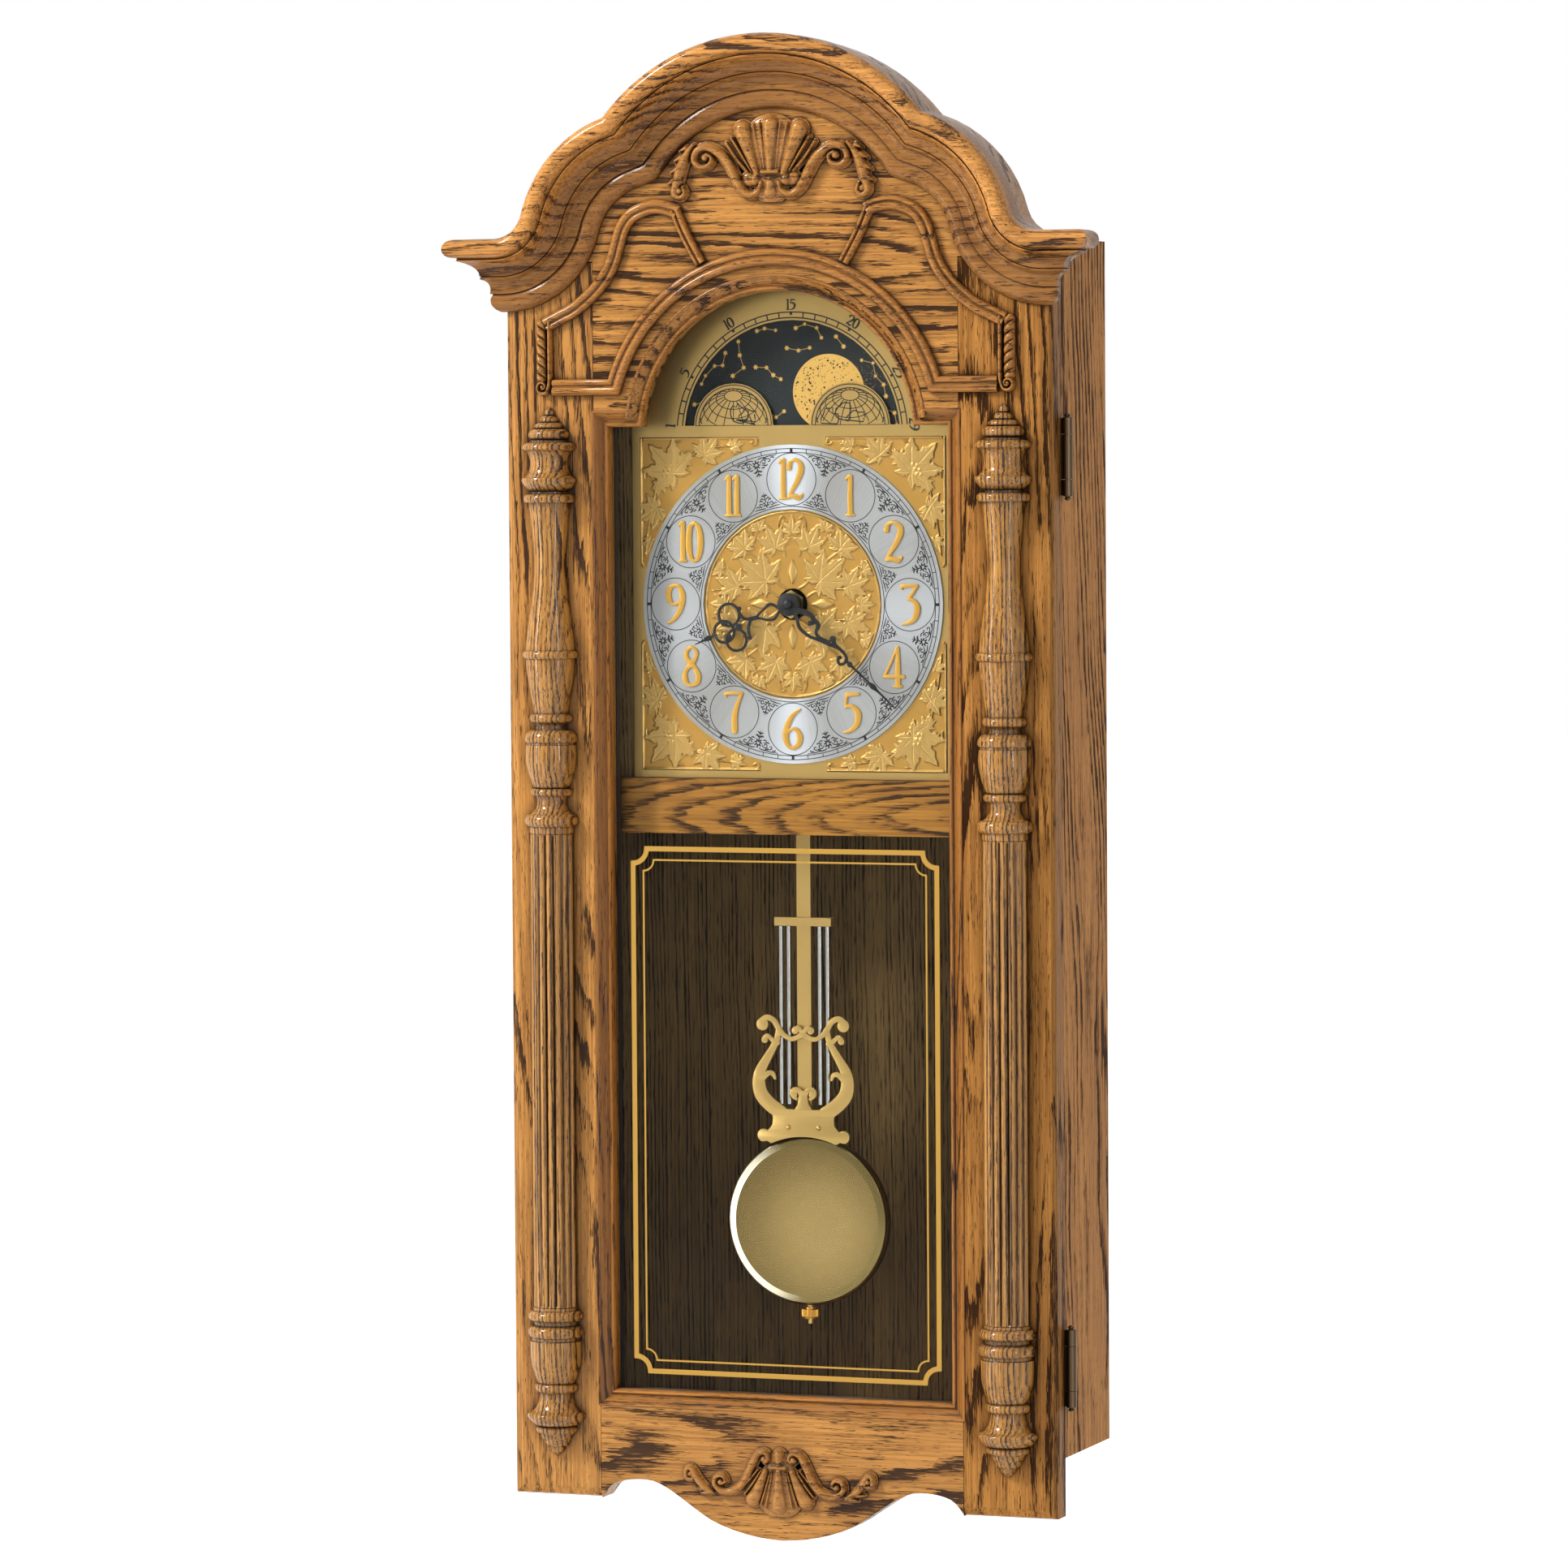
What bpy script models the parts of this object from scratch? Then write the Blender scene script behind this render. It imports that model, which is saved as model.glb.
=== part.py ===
"""Chiming wall clock: oak case, glazed door, moon dial and pendulum, as separate pieces."""
import math

import bmesh
import bpy
from mathutils import Matrix

# The frame: X to the viewer's right, Y into the wall, Z up.
# The origin is on the wall plane, in the middle of the case's back.

# Fits
GAP = 0.0003                 # between pieces that touch
RUNNING = 0.0001             # between a shaft and its hole
OVERRUN = 0.004              # how far a cutter passes the face it cuts

# Case
CASE_WIDTH = 0.339
CASE_HEIGHT = 0.714
CASE_DEPTH = 0.0865
BOARD = 0.015
BACK_THICKNESS = 0.006
RABBET = 0.007               # how far the back panel laps the side boards
UPPER_BAY = 0.3173           # case top down to the crossbar's top
CROSSBAR_HEIGHT = 0.0327
CROSSBAR_DEPTH = 0.016
CROSSBAR_SETBACK = 0.001
HANGING_RAIL_HEIGHT = 0.045
HANGING_RAIL_DEPTH = 0.014
HANGING_RAIL_DROP = 0.012    # case top's underside down to the rail

# Hanger plate, let into the back panel
HANGER_WIDTH = 0.062
HANGER_HEIGHT = 0.026
HANGER_THICKNESS = 0.0016
KEYHOLE_RADIUS = 0.0052
KEY_SLOT_RADIUS = 0.0028
KEY_SLOT_LENGTH = 0.010
SCREW_HEAD_POCKET = 0.006

# Door
DOOR_OVERLAP = 0.0015        # the door past each side of the case
DOOR_GAP = 0.0024            # door to case, room for the hinge leaves
DOOR_THICKNESS = 0.0196
DOOR_DROP = 0.0335           # case bottom down to the door's bottom edge
APRON_DROP = 0.0205
NOTCH_RISE = 0.0120
# from the seam with the stile in to the centre, and up from the apron's foot, as shares
APRON_SHARES = (
    (1.0, 0.63), (0.97, 0.78), (0.93, 0.90), (0.87, 0.97), (0.80, 1.0), (0.72, 0.985), (0.645, 0.88),
    (0.57, 0.72), (0.49, 0.53), (0.39, 0.31), (0.27, 0.15), (0.13, 0.04), (0.0, 0.0),
)
BOTTOM_RAIL = 0.0655         # door's bottom edge up to the sight opening
SIGHT_HALF = 0.106
STICKING_WIDTH = 0.0085
STICKING_DEPTH = 0.0085
EDGE_BEVEL = 0.006
PANEL_ARM = 0.0135           # pediment panel above the stiles
PEDIMENT_INSET = 0.001
GLASS_THICKNESS = 0.0025
GLASS_LAP = 0.006            # glass behind the sight edge
GLASS_DEPTH = 0.0115         # door face back to the glass
STOP_WIDTH = 0.0055
STOP_THICKNESS = 0.0050

# Pediment and cornice
PEDIMENT_FLAT_LIFT = 0.0038  # case top up to the cornice's flat ends
CORNICE_RISE = 0.1174
CORNICE_ARCH_RADIUS = 0.1275
VALLEY_HALF = 0.0991
SHOULDER_RADIUS = 0.0800
SHOULDER_CENTRE_HALF = 0.0740
FOOT_FILLET_RADIUS = 0.0190
CORNICE_HEIGHT = 0.043
CORNICE_PROJECTION = 0.0250
CORNICE_RETURN = 0.030       # past the door's edge
# down the profile, and out from the face, as shares of its height and projection
CORNICE_PROFILE_SHARES = (
    (0.0, 0.80), (0.035, 0.94), (0.12, 1.0), (0.21, 0.97), (0.27, 0.86), (0.30, 0.77),
    (0.40, 0.60), (0.51, 0.42), (0.63, 0.31), (0.76, 0.25), (0.78, 0.20), (0.88, 0.18),
    (0.96, 0.12), (1.0, 0.05),
)

# Dial
DIAL_HALF_WIDTH = 0.1015
DIAL_HALF_HEIGHT = 0.1035
DIAL_THICKNESS = 0.0009
DIAL_SETBACK = 0.0300        # door face back to the dial's face
CHAPTER_RADIUS = 0.0946
CHAPTER_BORE = 0.0565
CHAPTER_THICKNESS = 0.0008
MOON_RISE = 0.100            # hand arbor up to the moon disc's arbor
MOON_WINDOW_RADIUS = 0.0681
MOON_WINDOW_LIFT = 0.0060    # moon arbor up to the window's lower edge
HUMP_RADIUS = 0.0250
HUMP_HALF = 0.0368
DIAL_ARCH_RADIUS = 0.094
ARCH_OPENING_RADIUS = 0.085
SHOULDER_LIFT = 0.0055       # moon arbor up to the sight opening's shoulders
DIAL_BOARD_THICKNESS = 0.009
DIAL_BOARD_TOP_GAP = 0.0004
MOON_DISC_RADIUS = 0.0715
MOON_DISC_THICKNESS = 0.0006
MOON_POCKET_DEPTH = 0.0018
MOON_POST_RADIUS = 0.0020
MOON_POST_HEAD_RADIUS = 0.0042

# Movement
MOVEMENT_HALF_WIDTH = 0.062
MOVEMENT_BELOW = 0.062       # hand arbor down to the movement's underside
MOVEMENT_ABOVE = 0.042
MOVEMENT_DEPTH = 0.033
MOVEMENT_CORNER = 0.004
BUSHING_RADIUS = 0.0045
BUSHING_RISE = 0.0036        # past the chapter ring's face
NUT_ACROSS_CORNERS_RADIUS = 0.0085
NUT_THICKNESS = 0.0022
BATTERY_RADIUS = 0.0131
BATTERY_LENGTH = 0.0495
BATTERY_BAY_LIFT = 0.006     # movement's underside up to the bay
COVER_THICKNESS = 0.0018
COVER_LAP = 0.004
SPEAKER_RADIUS = 0.033
SPEAKER_DEPTH = 0.019
SPEAKER_MAGNET_RADIUS = 0.016
SPEAKER_FLANGE = 0.003
SWITCH_LENGTH = 0.006
SWITCH_HEIGHT = 0.0045
SWITCH_TRAVEL = 0.008
SWITCH_POCKET_DEPTH = 0.0025
SWITCH_STAND = 0.003         # past the movement's back
SWITCH_SPREAD = 0.032        # hand arbor out to each switch's pocket
SWITCH_RISE = 0.028
SERVICE_MARGIN = 0.014       # back opening past the movement
KNOB_RADIUS = 0.0085
KNOB_DEPTH = 0.0055
KNOB_FLUTES = 12
KNOB_FLUTE_RADIUS = 0.0011

# Hands
ARBOR_RADIUS = 0.0012
PIPE_RADIUS = 0.0026
HAND_THICKNESS = 0.0007
HAND_SPACING = 0.0026        # hour hand's face to the minute hand's face
HOUR_HAND_LENGTH = 0.0644
MINUTE_HAND_LENGTH = 0.0909
HOUR_BOSS_RADIUS = 0.0068
MINUTE_BOSS_RADIUS = 0.0060
HAND_NUT_RADIUS = 0.0032
HAND_NUT_HEIGHT = 0.0024
HOUR_ANGLE = math.radians(248.2)
MINUTE_ANGLE = math.radians(132.3)

# Pendulum
PIVOT_DROP = 0.009           # movement's underside down to the pivot
PIVOT_RADIUS = 0.0015
PIVOT_HEAD_RADIUS = 0.0026
ROD_SETBACK = 0.0452         # door face back to the rod's face
ROD_WIDTH = 0.0088
ROD_THICKNESS = 0.0014
EYE_RADIUS = 0.0046
TUBE_CAP_WIDTH = 0.036
TUBE_CAP_HEIGHT = 0.005
TUBE_CAP_DEPTH = 0.0056
TUBE_RADIUS = 0.00155
TUBE_INNER_HALF = 0.0098
TUBE_OUTER_HALF = 0.0148
LYRE_HALF_WIDTH = 0.0323
LYRE_THICKNESS = 0.0016
BOB_THICKNESS = 0.0125
BOB_RIM = 0.0016
BOB_FRONT_SETBACK = 0.0015   # rod's face back to the bob's front
STUD_RADIUS = 0.0016
STUD_TAIL = 0.0030           # below the rating nut
RATING_NUT_RADIUS = 0.0059
RATING_NUT_HEIGHT = 0.0072
RATING_TRAVEL = 0.002
PENDULUM_SHOULDER = 0.0030
# of the bay below the crossbar, so that the pendulum always fits it
TUBE_CAP_DROP_SHARE = 0.3324
TUBE_LENGTH_SHARE = 0.3052
LYRE_DROP_SHARE = 0.1547
LYRE_HEIGHT_SHARE = 0.2066
BOB_DROP_SHARE = 0.2023
BOB_RADIUS_SHARE = 0.1490

# Columns
COLUMN_AXIS_HALF = 0.1425
COLUMN_TOP_DROP = 0.1000     # cornice's flat ends down to the column's tip
COLUMN_LENGTH = 0.6270
COLUMN_RADIUS = 0.0172
COLUMN_REEDS = 8
REED_GROOVE_RADIUS = 0.0009
# down the column from its top tip, and out from its axis, as shares of length and radius
COLUMN_PROFILE_SHARES = (
    (0.0, 0.0), (0.0008, 0.10), (0.0065, 0.31), (0.0120, 0.50), (0.0200, 0.69), (0.0300, 0.74),
    (0.0353, 0.95), (0.0400, 0.90), (0.0516, 0.71), (0.0640, 0.88), (0.0700, 0.94), (0.0780, 0.70),
    (0.0850, 0.91), (0.0900, 0.74), (0.1180, 0.66), (0.1503, 0.57), (0.1850, 0.68), (0.2253, 0.88),
    (0.2310, 0.90), (0.2345, 1.0), (0.2400, 0.88), (0.2905, 0.62), (0.2969, 0.74), (0.3044, 0.55),
    (0.3126, 0.92), (0.3180, 0.86), (0.3240, 0.92), (0.3360, 0.91), (0.3613, 0.62), (0.3668, 0.73),
    (0.3748, 0.52), (0.3862, 0.76), (0.3931, 0.95), (0.4012, 0.76), (0.4045, 0.765),
    (0.8565, 0.765), (0.8581, 0.81), (0.8651, 0.97), (0.8729, 0.78), (0.8807, 0.98), (0.8877, 0.88),
    (0.8893, 0.92), (0.9095, 0.91), (0.9302, 0.68), (0.9357, 0.75), (0.9412, 0.60), (0.9575, 0.84),
    (0.9614, 1.05), (0.9674, 0.89), (0.9713, 0.67), (0.9771, 0.73), (0.9849, 0.51), (0.9905, 0.40),
    (0.9966, 0.18), (1.0, 0.0),
)
SHAFT_TOP_SHARE = 0.4045
SHAFT_BOTTOM_SHARE = 0.8565
SHAFT_RADIUS_SHARE = 0.765

# Applied mouldings and carvings
TRIM_WIDTH = 0.0095
TRIM_THICKNESS = 0.0042
TRIM_BEVEL = 0.0014
ARCH_TRIM_RADIUS = 0.1095
TRIM_FOOT_LIFT = 0.0244      # moon arbor up to the foot's underside
ROPE_HALF = 0.1450           # centre out to the rope's middle
ROPE_WIDTH = 0.0104
SCROLL_WIDTH = 0.0084
STRUT_WIDTH = 0.0062
SCROLL_RISE = 0.1353         # moon arbor up to the scroll's crest
# rope, scroll and strut: out from the centre and up from the moon arbor, as shares
ROPE_PATH_SHARES = ((1.0, 0.180), (1.0, 0.487))
SCROLL_PATH_SHARES = (
    (0.929, 0.523), (0.874, 0.551), (0.821, 0.593), (0.767, 0.645), (0.72, 0.709), (0.690, 0.775),
    (0.672, 0.843), (0.650, 0.910), (0.611, 0.962), (0.550, 0.992), (0.497, 1.0), (0.432, 0.985),
)
STRUT_PATH_SHARES = ((0.374, 0.873), (0.309, 0.747))
CROWN_HALF_WIDTH = 0.0630
CROWN_HEIGHT = 0.0500
CROWN_DROP = 0.0470          # pediment's top down to the carving's top
CROWN_THICKNESS = 0.0065
BASE_HALF_WIDTH = 0.0610
BASE_HEIGHT = 0.0400
BASE_LIFT = 0.0155           # apron's lowest point up to the carving's
BASE_THICKNESS = 0.0060
CARVING_BEVEL = 0.0022
# half outlines, from the top of the centre line round to its foot, as shares of half width and height
CROWN_OUTLINE_SHARES = (
    (0.0, 1.0), (0.06, 0.98), (0.10, 0.93), (0.12, 0.88), (0.18, 0.89), (0.205, 0.85), (0.26, 0.89),
    (0.32, 0.87), (0.365, 0.80), (0.39, 0.73), (0.42, 0.70), (0.495, 0.72), (0.576, 0.728), (0.65, 0.69),
    (0.687, 0.64), (0.752, 0.62), (0.82, 0.55), (0.89, 0.45), (0.95, 0.32), (0.99, 0.17), (1.0, 0.08),
    (0.96, 0.02), (0.89, 0.02), (0.84, 0.08), (0.79, 0.19), (0.75, 0.345), (0.70, 0.46), (0.65, 0.475),
    (0.56, 0.46), (0.476, 0.50), (0.41, 0.47), (0.35, 0.374), (0.305, 0.25), (0.26, 0.154),
    (0.18, 0.076), (0.10, 0.05), (0.06, 0.03), (0.0, 0.0),
)
BASE_OUTLINE_SHARES = (
    (0.0, 1.0), (0.06, 0.99), (0.095, 0.965), (0.145, 0.99), (0.22, 0.93), (0.28, 0.80), (0.344, 0.64),
    (0.41, 0.52), (0.45, 0.485), (0.484, 0.545), (0.54, 0.593), (0.60, 0.533), (0.625, 0.42),
    (0.674, 0.40), (0.76, 0.51), (0.83, 0.63), (0.91, 0.70), (0.98, 0.65), (1.0, 0.53), (0.98, 0.43),
    (0.90, 0.38), (0.82, 0.33), (0.72, 0.26), (0.625, 0.246), (0.575, 0.27), (0.475, 0.26), (0.39, 0.28),
    (0.344, 0.21), (0.294, 0.13), (0.21, 0.114), (0.17, 0.15), (0.11, 0.08), (0.062, 0.04), (0.0, 0.0),
)

# Hinges and catch
HINGE_LENGTH = 0.0450
KNUCKLE_END = 0.0092
BARREL_RADIUS = 0.0031
PIN_RADIUS = 0.0015
LEAF_THICKNESS = 0.0008
LEAF_INSET = 0.0015          # from the board's inner face
HINGE_STANDOFF = 0.0034      # door's edge out to the hinge's axis
UPPER_HINGE_DROP = 0.1270    # case top down to the upper hinge's middle
LOWER_HINGE_LIFT = 0.0535    # case bottom up to the lower hinge's middle
CATCH_LENGTH = 0.030
CATCH_HEIGHT = 0.010
CATCH_DEPTH = 0.012
STRIKE_THICKNESS = 0.0010

# Facets
ROUND_STEPS = 32
SMALL_STEPS = 16
ARC_STEPS = 20
SOFT_ANGLE = math.radians(35)

# Places worked out from the sizes above
CASE_HALF = CASE_WIDTH / 2
CASE_TOP = CASE_HEIGHT / 2
CASE_BOTTOM = -CASE_TOP
CASE_FRONT = -CASE_DEPTH
INNER_HALF = CASE_HALF - BOARD
BACK_HALF = INNER_HALF + RABBET - GAP
DOOR_HALF = CASE_HALF + DOOR_OVERLAP
DOOR_BACK = CASE_FRONT - DOOR_GAP
DOOR_FACE = DOOR_BACK - DOOR_THICKNESS
DOOR_BOTTOM = CASE_BOTTOM - DOOR_DROP
SIGHT_BOTTOM = DOOR_BOTTOM + BOTTOM_RAIL
SEAM_HALF = SIGHT_HALF + STICKING_WIDTH
CROSSBAR_TOP = CASE_TOP - UPPER_BAY
DIAL_FACE = DOOR_FACE + DIAL_SETBACK
DIAL_BACK = DIAL_FACE + DIAL_THICKNESS
DIAL_BOTTOM = CROSSBAR_TOP + GAP
ARBOR_Z = DIAL_BOTTOM + DIAL_HALF_HEIGHT
MOON_Z = ARBOR_Z + MOON_RISE
SHOULDER_Z = MOON_Z + SHOULDER_LIFT
BOARD_FRONT = DIAL_BACK + GAP
BOARD_BACK = BOARD_FRONT + DIAL_BOARD_THICKNESS
MOVEMENT_FRONT = BOARD_BACK + GAP
MOVEMENT_BACK = MOVEMENT_FRONT + MOVEMENT_DEPTH
MOVEMENT_BOTTOM = ARBOR_Z - MOVEMENT_BELOW
PEDIMENT_FLAT = CASE_TOP + PEDIMENT_FLAT_LIFT
PEDIMENT_TOP = PEDIMENT_FLAT + CORNICE_RISE
STILE_TOP = PEDIMENT_FLAT - PEDIMENT_INSET - PANEL_ARM
GLASS_FRONT = DOOR_FACE + GLASS_DEPTH
GLASS_BACK = GLASS_FRONT + GLASS_THICKNESS
HINGE_X = DOOR_HALF + HINGE_STANDOFF
HINGE_Y = (CASE_FRONT + DOOR_BACK) / 2
PIVOT_Z = MOVEMENT_BOTTOM - PIVOT_DROP
LOWER_BAY = CASE_HEIGHT - BOARD - UPPER_BAY - CROSSBAR_HEIGHT
TUBE_CAP_DROP = LOWER_BAY * TUBE_CAP_DROP_SHARE      # pivot down to the tube cap's top
TUBE_LENGTH = LOWER_BAY * TUBE_LENGTH_SHARE
LYRE_DROP = LOWER_BAY * LYRE_DROP_SHARE              # tube cap's underside down to the lyre's top
LYRE_HEIGHT = LOWER_BAY * LYRE_HEIGHT_SHARE
BOB_DROP = LOWER_BAY * BOB_DROP_SHARE                # lyre's top down to the bob's top edge
BOB_RADIUS = LOWER_BAY * BOB_RADIUS_SHARE
ROD_FACE = DOOR_FACE + ROD_SETBACK
ROD_BACK = ROD_FACE + ROD_THICKNESS
CAP_TOP = PIVOT_Z - TUBE_CAP_DROP
CAP_BOTTOM = CAP_TOP - TUBE_CAP_HEIGHT
LYRE_TOP = CAP_BOTTOM - LYRE_DROP
LYRE_BOTTOM = LYRE_TOP - LYRE_HEIGHT
TUBE_Y = (ROD_FACE + ROD_BACK) / 2
LYRE_BACK = TUBE_Y - TUBE_RADIUS - GAP
BOB_FRONT = ROD_FACE + BOB_FRONT_SETBACK
BOB_BACK = BOB_FRONT + BOB_THICKNESS
BOB_TOP = LYRE_TOP - BOB_DROP
BOB_Z = BOB_TOP - BOB_RADIUS
STUD_Y = (BOB_FRONT + BOB_BACK) / 2
NUT_TOP = BOB_Z - BOB_RADIUS - GAP
CHAPTER_FACE = DIAL_FACE - GAP - CHAPTER_THICKNESS
BUSHING_FRONT = CHAPTER_FACE - BUSHING_RISE
HOUR_FACE = BUSHING_FRONT - GAP - HAND_THICKNESS
MINUTE_FACE = HOUR_FACE - HAND_SPACING
BAY_BOTTOM = MOVEMENT_BOTTOM + BATTERY_BAY_LIFT
BAY_TOP = BAY_BOTTOM + (BATTERY_RADIUS + GAP) * 2
BAY_HALF = BATTERY_LENGTH + GAP * 2
SERVICE_HALF = MOVEMENT_HALF_WIDTH + SERVICE_MARGIN
SERVICE_BOTTOM = MOVEMENT_BOTTOM - SERVICE_MARGIN
SERVICE_TOP = ARBOR_Z + MOVEMENT_ABOVE + SERVICE_MARGIN
RAIL_TOP = CASE_TOP - BOARD - HANGING_RAIL_DROP
RAIL_Z = RAIL_TOP - HANGING_RAIL_HEIGHT / 2
KEYHOLE_Z = RAIL_Z - KEY_SLOT_LENGTH / 2

# Finishes: colour, roughness, metallic
OAK = ((0.36, 0.15, 0.045), 0.38, 0.0)
DARK_WOOD = ((0.07, 0.045, 0.028), 0.6, 0.0)
BRASS = ((0.72, 0.52, 0.22), 0.3, 1.0)
SATIN_BRASS = ((0.66, 0.50, 0.24), 0.42, 1.0)
SILVER = ((0.72, 0.72, 0.70), 0.35, 1.0)
CHROME = ((0.75, 0.75, 0.76), 0.12, 1.0)
STEEL = ((0.55, 0.55, 0.56), 0.35, 1.0)
BRONZE = ((0.05, 0.035, 0.022), 0.45, 0.9)
BLACK = ((0.012, 0.012, 0.012), 0.4, 0.0)
PLASTIC = ((0.03, 0.03, 0.032), 0.5, 0.0)
SLATE = ((0.02, 0.026, 0.028), 0.5, 0.2)
CELL = ((0.25, 0.26, 0.28), 0.4, 0.3)
CLEAR = ((0.9, 0.93, 0.92), 0.03, 0.0)

for old in list(bpy.data.objects):
    bpy.data.objects.remove(old, do_unlink=True)
clock = bpy.data.collections.new("chiming_wall_clock")
cutters = bpy.data.collections.new("cutters")
bpy.context.scene.collection.children.link(clock)
bpy.context.scene.collection.children.link(cutters)
carriers = {}


def carrier(name, place, parent=None):
    """An empty on a moving body's joint axis, which carries that body's pieces."""
    empty = bpy.data.objects.new(name, None)
    empty.empty_display_size = BOARD
    clock.objects.link(empty)
    start = carriers[parent][1] if parent else (0, 0, 0)
    empty.location = [a - b for a, b in zip(place, start)]
    if parent:
        empty.parent = carriers[parent][0]
    carriers[name] = (empty, place)


def finished(name, finish):
    colour, roughness, metallic = finish
    material = bpy.data.materials.new(name)
    material.use_nodes = True
    shader = material.node_tree.nodes["Principled BSDF"]
    shader.inputs["Base Color"].default_value = (*colour, 1)
    shader.inputs["Roughness"].default_value = roughness
    shader.inputs["Metallic"].default_value = metallic
    if finish is CLEAR:
        shader.inputs["Transmission Weight"].default_value = 1
    return material


def piece(name, mesh, finish, body=None, smooth=False):
    """Names a mesh as one piece of the clock and hangs it on its body's empty."""
    mesh.name = name
    mesh.materials.clear()
    mesh.materials.append(finished(name, finish))
    if smooth:
        mesh.shade_smooth()
        mesh.set_sharp_from_angle(angle=SOFT_ANGLE)
    item = bpy.data.objects.new(name, mesh)
    clock.objects.link(item)
    if body:
        empty, place = carriers[body]
        item.parent = empty
        item.location = [-value for value in place]
    return item


def cutter(name, mesh):
    item = bpy.data.objects.new(name, mesh)
    item.hide_render = True
    item.display_type = "WIRE"
    cutters.objects.link(item)
    return item


def combine(item, other, operation):
    change = item.modifiers.new(other.name, "BOOLEAN")
    change.operation = operation
    change.solver = "EXACT"
    change.object = other


def cut(item, name, mesh):
    combine(item, cutter(name, mesh), "DIFFERENCE")


def join(item, name, mesh):
    combine(item, cutter(name, mesh), "UNION")


def kept(bm, name):
    bmesh.ops.recalc_face_normals(bm, faces=bm.faces[:])
    mesh = bpy.data.meshes.new(name)
    bm.to_mesh(mesh)
    bm.free()
    return mesh


def box(low, high):
    middle = [(a + b) / 2 for a, b in zip(low, high)]
    size = [b - a for a, b in zip(low, high)]
    bm = bmesh.new()
    bmesh.ops.create_cube(bm, size=1, matrix=Matrix.Translation(middle) @ Matrix.Diagonal((*size, 1)))
    return kept(bm, "box")


def rod(start, end, radius, steps=SMALL_STEPS, end_radius=None):
    """A cylinder, or a cone, from one point to another."""
    way = [b - a for a, b in zip(start, end)]
    length = math.sqrt(sum(value * value for value in way))
    turn = Matrix(((1, 0, 0), (0, 1, 0), (0, 0, 1))).to_4x4()
    if abs(way[1]) > length / 2:
        turn = Matrix.Rotation(-math.copysign(math.pi / 2, way[1]), 4, "X")
    elif abs(way[0]) > length / 2:
        turn = Matrix.Rotation(math.copysign(math.pi / 2, way[0]), 4, "Y")
    elif way[2] < 0:
        turn = Matrix.Rotation(math.pi, 4, "X")
    middle = [(a + b) / 2 for a, b in zip(start, end)]
    bm = bmesh.new()
    bmesh.ops.create_cone(
        bm, cap_ends=True, segments=steps, radius1=radius, depth=length,
        radius2=radius if end_radius is None else end_radius,
        matrix=Matrix.Translation(middle) @ turn)
    return kept(bm, "rod")


def arc(x, z, radius, start, end, steps=ARC_STEPS):
    turns = [start + (end - start) * step / steps for step in range(steps + 1)]
    return [(x + radius * math.cos(turn), z + radius * math.sin(turn)) for turn in turns]


def circle(x, z, radius, steps=ROUND_STEPS):
    return arc(x, z, radius, 0, math.tau, steps)[:-1]


def rectangle(x0, z0, x1, z1):
    return [(x0, z0), (x1, z0), (x1, z1), (x0, z1)]


def mirrored(loop):
    return [(-x, z) for x, z in reversed(loop)]


def plate(loops, front, back, bevel=0, keep=None):
    """A flat outline in the XZ plane, holes included, as thick as front to back.

    With a bevel, the front edges that keep(x, z) accepts are rounded.
    """
    curve = bpy.data.curves.new("outline", "CURVE")
    curve.dimensions = "2D"
    curve.fill_mode = "BOTH"
    curve.extrude = (back - front) / 2
    for loop in loops:
        spline = curve.splines.new("POLY")
        spline.points.add(len(loop) - 1)
        for point, (x, z) in zip(spline.points, loop):
            point.co = (x, z, 0, 1)
        spline.use_cyclic_u = True
    holder = bpy.data.objects.new("outline", curve)
    cutters.objects.link(holder)
    seen = holder.evaluated_get(bpy.context.evaluated_depsgraph_get())
    mesh = bpy.data.meshes.new_from_object(seen)
    bpy.data.objects.remove(holder)
    bm = bmesh.new()
    bm.from_mesh(mesh)
    bmesh.ops.remove_doubles(bm, verts=bm.verts[:], dist=GAP / 20)
    upright = Matrix.Translation((0, (front + back) / 2, 0)) @ Matrix.Rotation(math.pi / 2, 4, "X")
    bmesh.ops.transform(bm, matrix=upright, verts=bm.verts[:])
    bmesh.ops.dissolve_limit(bm, angle_limit=math.radians(1), verts=bm.verts[:], edges=bm.edges[:])
    if bevel:
        rounded = []
        for edge in bm.edges:
            ends = [vert.co for vert in edge.verts]
            middle = (ends[0] + ends[1]) / 2
            on_front = all(abs(end.y - front) < GAP for end in ends)
            if on_front and len(edge.link_faces) == 2 and (keep is None or keep(middle.x, middle.z)):
                rounded.append(edge)
        bmesh.ops.bevel(
            bm, geom=rounded, offset=bevel, segments=2, profile=0.6, affect="EDGES", clamp_overlap=True)
    return kept(bm, "plate")


def tapered(outer, inner, front, back):
    """A plug whose outline changes evenly from one loop at the front to another at the back."""
    bm = bmesh.new()
    rings = []
    for loop, y in ((outer, front), (inner, back)):
        rings.append([bm.verts.new((x, y, z)) for x, z in loop])
    count = len(outer)
    for index in range(count):
        after = (index + 1) % count
        bm.faces.new((rings[0][index], rings[0][after], rings[1][after], rings[1][index]))
    bm.faces.new(rings[0])
    bm.faces.new(list(reversed(rings[1])))
    return kept(bm, "plug")


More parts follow.
